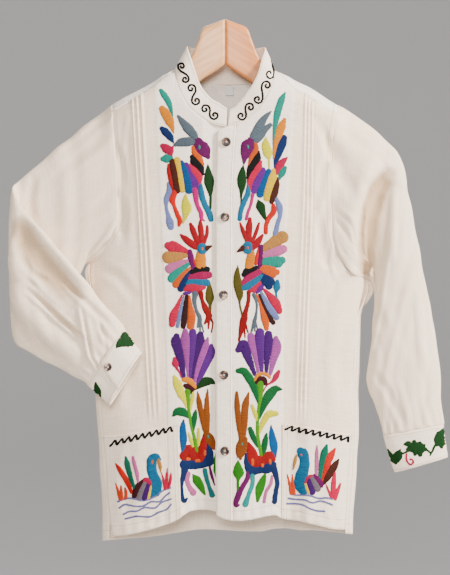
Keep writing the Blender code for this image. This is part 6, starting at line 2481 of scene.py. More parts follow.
@dataclass
class Needlework:
    """Satin-stitched shapes lying on the cloth below them, as one mesh."""

    name: str
    strokes: list[Stroke]
    grounds: list[Cloth]
    step: float = 0.75
    crown: float = 0.5
    sunk: float = 0.25
    lift: float = 0.12
    layer_rise: float = 0.3
    order_rise: float = 0.012
    ragged: float = 0.14
    ragged_from: float = 0.9
    fullness: float = 1.28
    full_from: float = 2.2
    thinnest: float = 0.3
    dye_change: float = 0.05
    across: tuple[float, ...] = (-1.0, -0.9, -0.55, 0.0, 0.55, 0.9, 1.0)
    cap: tuple[float, ...] = (0.3, 0.55, 0.78, 0.93, 1.0)

    def centre_line(self, points: list[Dot]) -> np.ndarray:
        """The stroke's middle, evenly stepped, with its half width and rounded ends.

        Args:
            points: the stroke's own points and half widths.

        Returns:
            Fine points and half widths.
        """
        table = np.array(points, float)
        run = np.hypot(*np.diff(table[:, :2], axis=0).T)
        spread = Spread.over(run, self.step, 2)
        fine = spread.smooth(table, run)
        places = np.concatenate([[0.0], np.cumsum(run)])
        fine[:, 2] = np.maximum(curve(places, table[:, 2], places[spread.index]
                                      + spread.share * run[spread.index]), self.thinnest)
        if fine[:, 2].max() > self.full_from:
            fine[:, 2] *= self.fullness
        first = self.rounded_end(fine[0], fine[1])
        last = self.rounded_end(fine[-1], fine[-2])
        return np.concatenate([first[::-1], fine, last])

    def rounded_end(self, tip: np.ndarray, inner: np.ndarray) -> np.ndarray:
        """Points that round a stroke off past its tip.

        Args:
            tip: last point and its half width.
            inner: the point before it.

        Returns:
            Points and half widths, outwards.
        """
        way = tip[:2] - inner[:2]
        way = way / max(np.hypot(*way), 1e-6)
        return np.array([[*(tip[:2] + way * tip[2] * t * 0.9),
                          max(tip[2] * math.sqrt(max(0.0, 1 - t * t)), 0.06)]
                         for t in self.cap])

    def lay(self, trees: list[BVHTree], x: float, y: float) -> Optional[tuple[Vector, Vector]]:
        """Where the line of sight through a picture point first meets the cloth.

        Args:
            trees: search trees of the cloths that it may meet.
            x: place in the picture.
            y: place in the picture.

        Returns:
            Place and normal, or None where the line misses.
        """
        eye = Vector((0.0, -EYE_DISTANCE, EYE_HEIGHT)) * MM
        (seen_x, seen_z), = px_path((x, y))
        way = (Vector((seen_x, 0.0, seen_z)) * MM - eye).normalized()
        found = None
        for tree in trees:
            hit, normal, _, _ = tree.ray_cast(eye, way)
            if hit is not None and (found is None or hit.y < found[0].y):
                found = hit, normal if normal.y < 0 else -normal
        return found

    def row(self, trees: list[BVHTree], spots: list[Point]) -> list[tuple[Vector, Vector]]:
        """Places on the cloth of a row of picture points; a miss takes the nearest hit.

        Args:
            trees: search trees of the cloths.
            spots: picture points across the stroke.

        Returns:
            Place and normal for each point, or nothing when all of them miss.
        """
        found = [self.lay(trees, *spot) for spot in spots]
        known = [spot for spot in found if spot is not None]
        if not known:
            return []
        return [spot if spot is not None else known[0 if i < len(self.across) // 2 else -1]
                for i, spot in enumerate(found)]

    def make(self) -> bpy.types.Object:
        """All strokes as one mesh, with its thread colours and lengths.

        Returns:
            The embroidery.
        """
        dice = np.random.default_rng(SEED + len(self.strokes))
        trees = [ground.tree() for ground in self.grounds]
        vertices, faces, colours, lengths = [], [], [], []
        n = len(self.across)
        for order, stroke in enumerate(self.strokes):
            line = self.centre_line(stroke.points)
            halves = line[:, 2]
            widest = float(np.max(halves))
            tangent = np.gradient(line[:, :2], axis=0)
            tangent /= np.maximum(np.linalg.norm(tangent, axis=1, keepdims=True), 1e-6)
            side = np.stack([-tangent[:, 1], tangent[:, 0]], axis=1)
            width, other = (halves + dice.normal(0, self.ragged, len(line))
                            * (halves > self.ragged_from) for _ in range(2))
            colour = stroke.thread.linear() * (1 + dice.normal(0, self.dye_change))
            tall = self.crown * min(1.0, widest / 1.6) ** 0.7
            base = len(vertices)
            run = 0.0
            for k in range(len(line)):
                if k:
                    run += float(np.hypot(*(line[k, :2] - line[k - 1, :2]))) * PIXEL
                spots = self.row(trees, [line[k, :2] + side[k] * a * (width if a < 0 else other)[k]
                                         for a in self.across])
                end = min(1.0, 0.35 + 0.65 * halves[k] / max(1e-6, widest))
                for a, (hit, normal) in zip(self.across, spots):
                    dome = math.sqrt(max(0.0, 1.0 - a * a))
                    high = (tall * dome * end - self.sunk * (abs(a) == 1.0) + self.lift
                            + self.layer_rise * stroke.layer + self.order_rise * (order % 5))
                    vertices.append(hit + normal * high * MM)
                    colours.append((*colour, 1.0))
                    lengths.append((a * halves[k] * PIXEL * MM, run * MM))
            for row in range(base, len(vertices) - n, n):
                faces += [(a, a + 1, a + n + 1, a + n) for a in range(row, row + n - 1)]
        made = new_object(self.name, np.array([tuple(v) for v in vertices]), faces)
        set_lengths(made.data, np.array(lengths))
        layer = made.data.color_attributes.new("thread", "FLOAT_COLOR", "POINT")
        layer.data.foreach_set("color", np.array(colours, dtype=np.float32).ravel())
        self.face_out(made)
        return made

    @staticmethod
    def face_out(made: bpy.types.Object) -> None:
        """Turn any face that looks away from the viewer.

        Args:
            made: the embroidery.
        """
        work = bmesh.new()
        work.from_mesh(made.data)
        work.normal_update()
        for face in work.faces:
            if face.normal.y > 0.05:
                face.normal_flip()
        work.to_mesh(made.data)
        work.free()


@dataclass(frozen=True)
class Seam:
    """A row of topstitching: the cloth, the edge that it follows and how far in."""

    cloth: Cloth
    edge: str
    inset: float
    start: float
    end: float


# A stitch from end to end: place along it, share of its thickness.
STITCH_PROFILE = ((-1.0, 0.2), (-0.7, 0.85), (0.0, 1.0), (0.7, 0.85), (1.0, 0.2))


@dataclass
class Topstitching:
    """Rows of small stitches, laid along their paths by Geometry Nodes."""

    name: str
    pitch: float = 2.6
    length: float = 1.9
    thick: float = 0.55
    rise: float = 0.1
    sides: int = 6
    smallest: float = 0.88
    largest: float = 1.1

    def stitch(self) -> bpy.types.Object:
        """One stitch: a short plump thread with a few faces.

        Returns:
            The stitch, lying along X.
        """
        vertices = []
        for t, r in STITCH_PROFILE:
            vertices += [(0.5 * self.length * t, 0.5 * self.thick * r * c,
                          0.5 * self.thick * r * s) for c, s in circle(self.sides)]
        faces = tube_faces(len(STITCH_PROFILE), self.sides)
        faces.append(tuple(reversed(range(self.sides))))
        faces.append(tuple(range(len(vertices) - self.sides, len(vertices))))
        return new_object(self.name + "_one", np.array(vertices) * MM, faces)

    def tree(self, one: bpy.types.Object, finish: bpy.types.Material) -> bpy.types.NodeTree:
        """The node tree: paths to evenly spaced stitches that follow them.

        Args:
            one: the stitch.
            finish: its material.

        Returns:
            The tree, with inputs Pitch and Seed.
        """
        made = bpy.data.node_groups.new("stitches_along_paths", "GeometryNodeTree")
        face = made.interface
        face.new_socket("Geometry", in_out="INPUT", socket_type="NodeSocketGeometry")
        face.new_socket("Pitch", in_out="INPUT", socket_type="NodeSocketFloat")
        face.new_socket("Seed", in_out="INPUT", socket_type="NodeSocketInt")
        face.new_socket("Geometry", in_out="OUTPUT", socket_type="NodeSocketGeometry")
        nodes, links = made.nodes, made.links
        source = nodes.new("NodeGroupInput")
        curve_node = nodes.new("GeometryNodeMeshToCurve")
        even = nodes.new("GeometryNodeResampleCurve")
        even.mode = "LENGTH"
        tangent = nodes.new("GeometryNodeInputTangent")
        align = nodes.new("FunctionNodeAlignRotationToVector")
        align.axis = "X"
        shape = nodes.new("GeometryNodeObjectInfo")
        shape.inputs["Object"].default_value = one
        put = nodes.new("GeometryNodeInstanceOnPoints")
        chance = nodes.new("FunctionNodeRandomValue")
        chance.data_type = "FLOAT"
        chance.inputs[2].default_value = self.smallest
        chance.inputs[3].default_value = self.largest
        real = nodes.new("GeometryNodeRealizeInstances")
        paint = nodes.new("GeometryNodeSetMaterial")
        paint.inputs["Material"].default_value = finish
        out = nodes.new("NodeGroupOutput")
        for start, name, end, socket in (
                (source, "Geometry", curve_node, "Mesh"), (curve_node, "Curve", even, "Curve"),
                (source, "Pitch", even, "Length"), (source, "Seed", chance, "Seed"),
                (even, "Curve", put, "Points"), (shape, "Geometry", put, "Instance"),
                (tangent, "Tangent", align, "Vector"), (align, "Rotation", put, "Rotation"),
                (chance, 1, put, "Scale"), (put, "Instances", real, "Geometry"),
                (real, "Geometry", paint, "Geometry"), (paint, "Geometry", out, "Geometry")):
            links.new(start.outputs[name], end.inputs[socket])
        return made

    def paths(self, seams: list[Seam]) -> bpy.types.Object:
        """Lines just above the cloth that the stitches lie along.

        Args:
            seams: the rows.

        Returns:
            Their lines as one mesh of edges.
        """
        vertices, edges = [], []
        for seam in seams:
            path = seam.cloth.line(seam.edge, seam.inset)
            count = len(path)
            path = path[int(seam.start * count):max(2, int(math.ceil(seam.end * count)))]
            tree = seam.cloth.tree()
            base = len(vertices)
            rows, columns = seam.cloth.points.shape[:2]
            for point in path:
                spot, _, face, _ = tree.find_nearest(Vector(point) * MM)
                i, j = divmod(face, columns - 1)
                out = Vector(seam.cloth.normals[min(i, rows - 1), min(j, columns - 1)])
                vertices.append(spot + out * self.rise * MM)
            edges += [(base + i, base + i + 1) for i in range(len(path) - 1)]
        mesh = bpy.data.meshes.new(self.name + "_paths")
        mesh.from_pydata([tuple(v) for v in vertices], edges, [])
        return linked(self.name + "_paths", mesh)

    def make(self, seams: list[Seam], finish: bpy.types.Material) -> bpy.types.Object:
        """Every row of stitches as one mesh.

        Args:
            seams: the rows.
            finish: the thread's material.

        Returns:
            The stitches.
        """
        paths = self.paths(seams)
        one = self.stitch()
        work = paths.modifiers.new("stitches", "NODES")
        work.node_group = self.tree(one, finish)
        values = {"Pitch": self.pitch * MM, "Seed": SEED}
        for item in work.node_group.interface.items_tree:
            if item.item_type == "SOCKET" and item.in_out == "INPUT" and item.name in values:
                work[item.identifier] = values[item.name]
        mesh = baked(paths, one)
        mesh.polygons.foreach_set("use_smooth", [True] * len(mesh.polygons))
        return linked(self.name, mesh)


class Socket:
    """One value of a shader, so that its maths reads as plain Python."""

    def __init__(self, shader: "Shader", socket: bpy.types.NodeSocket) -> None:
        """Hold a node's output and the material that it belongs to."""
        self.shader = shader
        self.socket = socket

    def maths(self, operation: str, other: "Number", first: bool = True) -> "Socket":
        """A Math node on this value and another, which comes second or first."""
        a, b = (self, other) if first else (other, self)
        return self.shader.node("ShaderNodeMath", {"operation": operation}, {0: a, 1: b})[0]

    def __add__(self, other: "Number") -> "Socket":
        """Sum."""
        return self.maths("ADD", other)

    def __radd__(self, other: "Number") -> "Socket":
        """Sum with a number on the left."""
        return self.maths("ADD", other, False)

    def __sub__(self, other: "Number") -> "Socket":
        """Difference."""
        return self.maths("SUBTRACT", other)

    def __mul__(self, other: "Number") -> "Socket":
        """Product."""
        return self.maths("MULTIPLY", other)

    def __pow__(self, other: "Number") -> "Socket":
        """Power."""
        return self.maths("POWER", other)

    def sine(self) -> "Socket":
        """Sine of an angle in radians."""
        return self.maths("SINE", 0.0)

    def clamped(self, low: float, high: float) -> "Socket":
        """0 at low or less, 1 at high or more, straight between."""
        return self.shader.node("ShaderNodeMapRange", {"clamp": True},
                                {0: self, 1: low, 2: high, 3: 0.0, 4: 1.0})[0]


Number = Socket | float
Colour = tuple[float, float, float]


class Shader:
    """A material being built: the one place where nodes are made and linked."""

    def __init__(self, name: str) -> None:
        """Start a material with its principled shader.

        Args:
            name: of the material.
        """
        self.material = bpy.data.materials.new(name)
        self.material.use_nodes = True
        self.tree = self.material.node_tree
        self.principled = self.tree.nodes["Principled BSDF"]

    def node(self, kind: str, settings: Optional[dict] = None,
             inputs: Optional[dict] = None) -> list[Socket]:
        """A node with its settings set first and its inputs set or linked after.

        Args:
            kind: type of the node.
            settings: properties by name.
            inputs: values or Sockets by input name or number.

        Returns:
            Its outputs.
        """
        made = self.tree.nodes.new(kind)
        for key, value in (settings or {}).items():
            setattr(made, key, value)
        for key, value in (inputs or {}).items():
            self.feed(made.inputs[key], value)
        return [Socket(self, out) for out in made.outputs if out.enabled]

    def feed(self, target: bpy.types.NodeSocket, value: Number | tuple) -> None:
        """Link a Socket to an input, or set the input's own value."""
        if isinstance(value, Socket):
            self.tree.links.new(value.socket, target)
        else:
            target.default_value = value

    def place(self, scale: tuple[float, float, float], turn: float = 0.0,
              lengths: bool = False) -> Socket:
        """Coordinates: the object's own, or the piece's lengths, scaled and turned.

        Args:
            scale: of each axis.
            turn: about the third axis, in radians.
            lengths: whether to use the lengths of the cloth.

        Returns:
            The coordinates.
        """
        if lengths:
            source = self.node("ShaderNodeUVMap", {"uv_map": "lengths"})[0]
        else:
            source = self.own_place()
        return self.node("ShaderNodeMapping", {},
                         {"Vector": source, "Scale": scale, "Rotation": (0.0, 0.0, turn)})[0]

    def own_place(self) -> Socket:
        """The piece's own coordinates."""
        return Socket(self, self.tree.nodes.new("ShaderNodeTexCoord").outputs["Object"])

    def noise(self, place: Socket, detail: float = 2.0, roughness: float = 0.5) -> Socket:
        """Noise from 0 to 1 over the given coordinates."""
        return self.node("ShaderNodeTexNoise", {"noise_dimensions": "3D"},
                         {"Vector": place, "Scale": 1.0, "Detail": detail,
                          "Roughness": roughness})[0]

    def mix(self, factor: Number, first: Socket | Colour, second: Socket | Colour,
            blend: str = "MIX") -> Socket:
        """A mix of two colours.

        Args:
            factor: share of the second.
            first: one colour.
            second: the other.
            blend: way of mixing.

        Returns:
            The colour.
        """
        made = self.tree.nodes.new("ShaderNodeMix")
        made.data_type = "RGBA"
        made.blend_type = blend
        for index, value in ((0, factor), (6, first), (7, second)):
            if not isinstance(value, Socket) and index:
                value = (*value[:3], 1.0)
            self.feed(made.inputs[index], value)
        return Socket(self, made.outputs[2])

    def lighten(self, colour: Socket, light: Socket) -> Socket:
        """A colour times a lightness."""
        both = self.node("ShaderNodeCombineColor", {}, {0: light, 1: light, 2: light})[0]
        return self.mix(1.0, colour, both, "MULTIPLY")

    def attribute(self, name: str, output: str) -> Socket:
        """An attribute of the piece's mesh: output Fac or Color.

        Args:
            name: of the attribute.
            output: Fac or Color.

        Returns:
            Its value.
        """
        made = self.tree.nodes.new("ShaderNodeAttribute")
        made.attribute_name = name
        return Socket(self, made.outputs[output])

    def bump(self, height: Socket, distance: float) -> None:
        """Relief of the surface: its height from 0 to 1, and how much that is in metres."""
        out = self.node("ShaderNodeBump", {},
                        {"Height": height, "Distance": distance, "Strength": 1.0})[0]
        self.feed(self.principled.inputs["Normal"], out)

    def surface(self, **inputs: Number | Colour) -> bpy.types.Material:
        """Feed the principled shader: spaces in its input names are written as _.

        Args:
            inputs: values or Sockets by input name.

        Returns:
            The material.
        """
        for key, value in inputs.items():
            if isinstance(value, tuple) and len(value) == 3:
                value = (*value, 1.0)
            self.feed(self.principled.inputs[key.replace("_", " ")], value)
        return self.material


@dataclass(frozen=True)
class Cotton:
    """Unbleached plain-weave cotton with thick and thin yarns."""

    name: str = "unbleached_cotton"
    colour: Colour = (0.885, 0.715, 0.545)
    shade: Colour = (0.77, 0.585, 0.41)
    white: Colour = (0.91, 0.81, 0.71)
    # Painted shade: the colour that cloth deep in a fold is darkened towards.
    deep: Colour = (0.56, 0.385, 0.235)
    yarns: float = 1150.0
    slub: float = 0.30
    relief: float = 0.0003

    def build(self) -> bpy.types.Material:
        """The material.

        Returns:
            The finished material.
        """
        s = Shader(self.name)
        weft = s.noise(s.place((160.0, 1500.0, 1.0), lengths=True), 2.0)
        warp = s.noise(s.place((1500.0, 110.0, 1.0), lengths=True), 2.0)
        thick_weft = s.noise(s.place((34.0, 560.0, 1.0), lengths=True), 2.0, 0.6)
        thick_warp = s.noise(s.place((500.0, 26.0, 1.0), lengths=True), 2.0, 0.6)
        cloudy = s.noise(s.place((9.0, 9.0, 9.0)), 3.0)
        flecks = s.noise(s.place((420.0, 420.0, 1.0), lengths=True), 1.0)
        uv = s.place((self.yarns, self.yarns, 1.0), lengths=True)
        split = s.node("ShaderNodeSeparateXYZ", {}, {0: uv})
        weave = (split[0] * math.pi).sine() * (split[1] * math.pi).sine()
        tone = cloudy.clamped(0.3, 0.7)
        base = s.mix(tone, self.shade, self.colour)
        base = s.mix(0.66, base, self.colour)
        # Whiter cloth by the tint: the pieces' own whiter cloth, and painted light on the back near the
        # neck.
        base = s.mix(s.attribute("tint", "Fac").clamped(0.0, 1.0), base, self.white)
        # Painted shade: darker and warmer where the cloth lies deep in a fold.
        base = s.mix(s.attribute("crease_shade", "Fac").clamped(0.0, 1.0), base, self.deep)
        yarn = (thick_weft - 0.5) * self.slub + (thick_warp - 0.5) * self.slub * 0.85
        yarn = yarn + (weft + warp - 1.0) * self.slub * 0.4
        colour = s.lighten(base, yarn + 1.0 + (flecks - 0.5) * 0.07)
        height = weft * 0.5 + warp * 0.45 + weave * 0.1 + thick_weft * 0.9 + thick_warp * 0.8
        s.bump(height, self.relief)
        return s.surface(Base_Color=colour, Roughness=0.88, Sheen_Weight=0.12,
                         Sheen_Roughness=0.5, Specular_IOR_Level=0.25)


@dataclass(frozen=True)
class EmbroideryCotton:
    """Stranded cotton laid in satin stitches, its colour from the piece."""

    name: str = "embroidery_cotton"
    strands: float = 1500.0
    slant: float = 0.12
    relief: float = 0.00035
    # Painted sheen: how much of a pale colour is mixed into the thread, and that colour.
    painted_sheen_share: float = 0.02
    painted_sheen_colour: Colour = (0.80, 0.72, 0.66)

    def build(self) -> bpy.types.Material:
        """The material.

        Returns:
            The finished material.
        """
        s = Shader(self.name)
        uv = s.place((260.0, self.strands, 1.0), self.slant, lengths=True)
        strand = s.noise(uv, 2.0, 0.6)
        coarse = s.noise(s.place((90.0, 620.0, 1.0), self.slant, lengths=True), 1.0)
        light = (strand - 0.5) * 0.7 + (coarse - 0.5) * 0.75 + 1.04
        colour = s.lighten(s.attribute("thread", "Color"), light)
        # Painted sheen: a pale colour mixed in where the coarse noise is high.
        colour = s.mix(coarse.clamped(0.62, 0.95) * self.painted_sheen_share, colour, self.painted_sheen_colour)
        s.bump(strand * 0.7 + coarse, self.relief)
        return s.surface(Base_Color=colour, Roughness=0.7, Specular_IOR_Level=0.14)


@dataclass(frozen=True)
class SewingThread:
    """Twisted sewing thread in one colour."""

    name: str
    colour: Colour

    def build(self) -> bpy.types.Material:
        """The material.

        Returns:
            The finished material.
        """
        s = Shader(self.name)
        twist = s.noise(s.place((1500.0, 1500.0, 2600.0), 0.6), 1.0)
        colour = s.mix(twist.clamped(0.3, 0.8), tuple(c * 0.82 for c in self.colour), self.colour)
        s.bump(twist, 0.0001)
        return s.surface(Base_Color=colour, Roughness=0.7)


@dataclass(frozen=True)
class MarbledPlastic:
    """Polished button plastic, dark brown with cream clouds."""

    name: str = "marbled_button"
    dark: Colour = (0.022, 0.016, 0.015)
    brown: Colour = (0.15, 0.075, 0.045)
    cream: Colour = (0.62, 0.47, 0.36)

    def build(self) -> bpy.types.Material:
        """The material.

        Returns:
            The finished material.
        """
        s = Shader(self.name)
        warp = s.noise(s.place((150.0, 150.0, 150.0)), 2.0)
        cloud = s.noise(s.place((165.0, 120.0, 210.0), 0.7), 2.5, 0.55)
        band = cloud + (warp - 0.5) * 0.5
        colour = s.mix(band.clamped(0.45, 0.54), self.dark, self.brown)
        colour = s.mix(band.clamped(0.56, 0.63), colour, self.cream)
        s.bump(warp, 0.00005)
        return s.surface(Base_Color=colour, Roughness=band.clamped(0.0, 1.0) * 0.1 + 0.4,
                         Specular_IOR_Level=0.28)


@dataclass(frozen=True)
class LacqueredWood:
    """Clear-lacquered softwood with its grain along the hanger's arm."""

    name: str
    light: Colour
    dark: Colour
    slope: float

    def build(self) -> bpy.types.Material:
        """The material.

        Returns:
            The finished material.
        """
        s = Shader(self.name)
        turned = s.node("ShaderNodeMapping", {"vector_type": "TEXTURE"},
                        {"Vector": s.own_place(), "Rotation": (0.0, self.slope, 0.0)})[0]
        along = s.node("ShaderNodeMapping", {}, {"Vector": turned, "Scale": (7.0, 60.0, 95.0)})[0]
        grain = s.noise(along, 3.0, 0.55)
        fine = s.noise(s.node("ShaderNodeMapping", {},
                              {"Vector": turned, "Scale": (30.0, 420.0, 900.0)})[0])
        rings = ((grain * 38.0).sine() * 0.5 + 0.5) ** 2.0
        tone = rings * 0.55 + fine * 0.35
        colour = s.mix(tone.clamped(0.0, 1.0), self.light, self.dark)
        s.bump(fine + rings * 0.5, 0.00012)
        return s.surface(Base_Color=colour, Roughness=fine * 0.14 + 0.42, Coat_Weight=0.12,
                         Coat_Roughness=0.22)


@dataclass(frozen=True)
class Tape:
    """White woven tape."""

    name: str = "label_tape"
    colour: Colour = (0.84, 0.83, 0.83)

    def build(self) -> bpy.types.Material:
        """The material.

        Returns:
            The finished material.
        """
        s = Shader(self.name)
        rib = s.noise(s.place((600.0, 3200.0, 1.0), lengths=True), 1.0)
        colour = s.mix(rib.clamped(0.2, 0.8), tuple(c * 0.9 for c in self.colour), self.colour)
        s.bump(rib, 0.0001)
        return s.surface(Base_Color=colour, Roughness=0.6)


@dataclass(frozen=True)
class StagePaint:
    """Matt pale paint of the floor and the round wall."""

    name: str = "stage_paint"
    colour: Colour = (0.44, 0.435, 0.44)

    def build(self) -> bpy.types.Material:
        """The material.

        Returns:
            The finished material.
        """
        s = Shader(self.name)
        cloud = s.noise(s.place((1.5, 1.5, 1.5)), 2.0)
        colour = s.mix(cloud, tuple(c * 0.985 for c in self.colour), self.colour)
        return s.surface(Base_Color=colour, Roughness=0.95)


@dataclass(frozen=True)
class Lamp:
    """A round soft lamp."""

    name: str
    place: Dot
    size: float
    power: float
    colour: Colour


@dataclass(frozen=True)
class Studio:
    """Round pale stage, soft lights and the camera where the picture was taken."""

    radius: float = 4.2
    floor: float = -1.05
    bend: float = 1.4
    bend_steps: int = 16
    top: float = 3.2
    sides: int = 96
    sensor: float = 36.0
    air: Colour = (1.0, 0.99, 0.98)
    air_strength: float = 0.36
    aim: Dot = (0.0, 0.0, -0.3)
    lamps: tuple[Lamp, ...] = (
        Lamp("key_light", (1.95, -1.0, 1.05), 0.6, 208.0, (1.0, 0.965, 0.92)),
        Lamp("front_light", (-0.15, -2.5, 0.3), 0.8, 67.0, (1.0, 0.98, 0.96)),
        Lamp("back_light", (-0.4, 2.2, 1.2), 1.6, 50.0, (1.0, 0.98, 0.95)),
    )

    def stage(self) -> None:
        """A floor that turns up into a round wall."""
        profile = [(self.radius - self.bend, self.floor)]
        for i in range(1, self.bend_steps + 1):
            turn = 0.5 * math.pi * i / self.bend_steps
            profile.append((self.radius - self.bend + self.bend * math.sin(turn),
                            self.floor + self.bend * (1 - math.cos(turn))))
        profile.append((self.radius, self.top))
        vertices = [(0.0, 0.0, self.floor)]
        for r, z in profile:
            vertices += [(r * c, r * s, z) for c, s in circle(self.sides)]
        faces = [(0, 1 + i, 1 + (i + 1) % self.sides) for i in range(self.sides)]
        faces += [face[::-1] for face in tube_faces(len(profile), self.sides, 1)]
        made = new_object("stage_floor_and_wall", np.array(vertices), faces)
        made.data.flip_normals()
        made.data.materials.append(StagePaint().build())

    def light(self, lamp: Lamp) -> None:
        """Put one lamp in the room, turned to the shirt.

        Args:
            lamp: which one.
        """
        data = bpy.data.lights.new(lamp.name, "AREA")
        data.shape = "DISK"
        data.size = lamp.size
        data.energy = lamp.power
        data.color = lamp.colour
        made = linked(lamp.name, data)
        made.location = lamp.place
        way = Vector(self.aim) - Vector(lamp.place)
        made.rotation_euler = way.to_track_quat("-Z", "Y").to_euler()

    def build(self) -> None:
        """The stage, the air's light, the lamps and the camera."""
        scene = bpy.context.scene
        self.stage()
        world = bpy.data.worlds.new("studio_air")
        world.use_nodes = True
        air = world.node_tree.nodes["Background"].inputs
        air["Color"].default_value = (*self.air, 1.0)
        air["Strength"].default_value = self.air_strength
        scene.world = world
        for lamp in self.lamps:
            self.light(lamp)
        camera = bpy.data.cameras.new("picture_camera")
        camera.sensor_width = self.sensor
        camera.lens = self.sensor * EYE_DISTANCE / (PICTURE_HEIGHT * PIXEL)
        made = linked("picture_camera", camera)
        made.location = (0.0, -EYE_DISTANCE * MM, EYE_HEIGHT * MM)
        made.rotation_euler = (0.5 * math.pi, 0.0, 0.0)
        scene.camera = made


# Rows of the bent sleeve that lie past its fold, past that and the wrist, and before it.
FOREARM = (11, 99)
WRIST = (13, 99)
UPPER_ARM = (-1, 6.5)

# Folds, each given as its line on the picture with half width and height.
FRONT_RIGHT_CREASES = (
    Crease(px_path((113, 140), (121, 160), (124, 186)), 6.0, -0.9),
    Crease(px_path((116, 190), (124, 215), (122, 246)), 7.0, -1.1),
    Crease(px_path((100, 268), (118, 276), (136, 300)), 8.0, -1.2),
    Crease(px_path((108, 330), (122, 360), (120, 410)), 9.0, 1.0),
    Crease(px_path((128, 110), (124, 150), (127, 200)), 5.0, 0.6),
    Crease(px_path((130, 520), (126, 480), (132, 440)), 8.0, -0.8),
    Crease(px_path((196, 300), (190, 340), (192, 400)), 12.0, 0.8),
)
FRONT_LEFT_CREASES = (
    Crease(px_path((331, 150), (322, 172), (318, 205)), 6.0, -1.0),
    Crease(px_path((331, 196), (321, 226), (319, 262)), 7.0, -1.1),
    Crease(px_path((352, 277), (338, 286), (322, 312)), 8.0, -1.4),
    Crease(px_path((334, 240), (330, 262), (336, 280)), 4.0, 0.8),
    Crease(px_path((336, 320), (330, 360), (334, 420)), 10.0, 1.0),
    Crease(px_path((318, 112), (322, 130), (320, 150)), 5.0, 0.7),
    Crease(px_path((318, 520), (322, 480), (316, 440)), 8.0, -0.8),
    Crease(px_path((262, 320), (264, 360), (260, 420)), 12.0, 0.7),
)
BACK_CREASES = (
    Crease(px_path((150, 150), (200, 210), (214, 300)), 14.0, -1.6, Face.HIDDEN),
    Crease(px_path((306, 150), (258, 214), (244, 310)), 15.0, -1.5, Face.HIDDEN),
    Crease(px_path((120, 240), (160, 262), (196, 270)), 10.0, -1.3, Face.HIDDEN),
    Crease(px_path((340, 250), (300, 268), (262, 276)), 10.0, -1.4, Face.HIDDEN),
    Crease(px_path((150, 520), (158, 440), (166, 360)), 16.0, 1.8, Face.HIDDEN),
    Crease(px_path((226, 530), (222, 450), (228, 380)), 18.0, 1.6, Face.HIDDEN),
    Crease(px_path((304, 520), (296, 440), (290, 370)), 16.0, 1.8, Face.HIDDEN),
    Crease(px_path((180, 110), (225, 122), (272, 110)), 8.0, -0.9, Face.HIDDEN),
)
SLEEVE_RIGHT_CREASES = (
    Crease(px_path((13, 218), (27, 242), (49, 270), (78, 303)), 20.0, -7.4, rows=FOREARM),
    Crease(px_path((14, 244), (34, 280), (66, 316)), 14.0, -2.4, rows=FOREARM),
    Crease(px_path((20, 256), (30, 272), (46, 282)), 5.0, -1.8, rows=FOREARM),
    Crease(px_path((26, 288), (45, 305), (60, 319), (84, 339)), 3.8, -3.6, rows=FOREARM),
    Crease(px_path((24, 272), (38, 294), (58, 312)), 5.0, -1.1, rows=FOREARM),
    Crease(px_path((13, 284), (21, 304), (36, 324), (56, 342), (80, 362)), 14.0, 4.6, rows=FOREARM),
    Crease(px_path((30, 330), (48, 350), (66, 362)), 6.0, -0.8, rows=FOREARM),
    Crease(px_path((12, 312), (24, 334), (46, 356)), 7.0, -0.7, rows=FOREARM),
    Crease(px_path((62, 278), (84, 300), (110, 326)), 5.0, -2.0, rows=FOREARM),
    Crease(px_path((82, 308), (87, 334), (92, 358), (108, 384)), 2.6, -2.4, rows=WRIST),
    Crease(px_path((78, 306), (84, 336), (88, 360)), 3.4, 1.4, rows=WRIST),
    Crease(px_path((98, 318), (104, 336), (108, 352)), 3.4, -1.6, rows=WRIST),
    Crease(px_path((100, 330), (108, 348), (116, 362)), 4.0, 1.0, rows=WRIST),
    Crease(px_path((112, 128), (88, 150), (52, 176)), 8.0, -1.4, rows=UPPER_ARM),
    Crease(px_path((116, 190), (92, 214), (58, 232)), 9.0, -1.6, rows=UPPER_ARM),
    Crease(px_path((115, 222), (104, 240), (90, 256)), 4.0, 1.8, rows=UPPER_ARM),
    Crease(px_path((108, 240), (98, 250), (86, 262)), 3.0, -2.2, rows=UPPER_ARM),
    Crease(px_path((34, 176), (30, 200), (34, 224)), 7.0, -1.5, rows=(-1, 8)),
    Crease(px_path((96, 116), (74, 138), (50, 156)), 7.0, 1.0, rows=UPPER_ARM),
    Crease(px_path((40, 190), (66, 214), (90, 250)), 12.0, -2.0, Face.HIDDEN),
    Crease(px_path((30, 240), (50, 290), (80, 330)), 10.0, -1.6, Face.HIDDEN),
    Crease(px_path((20, 270), (40, 312), (70, 346)), 8.0, 1.6, Face.HIDDEN),
)
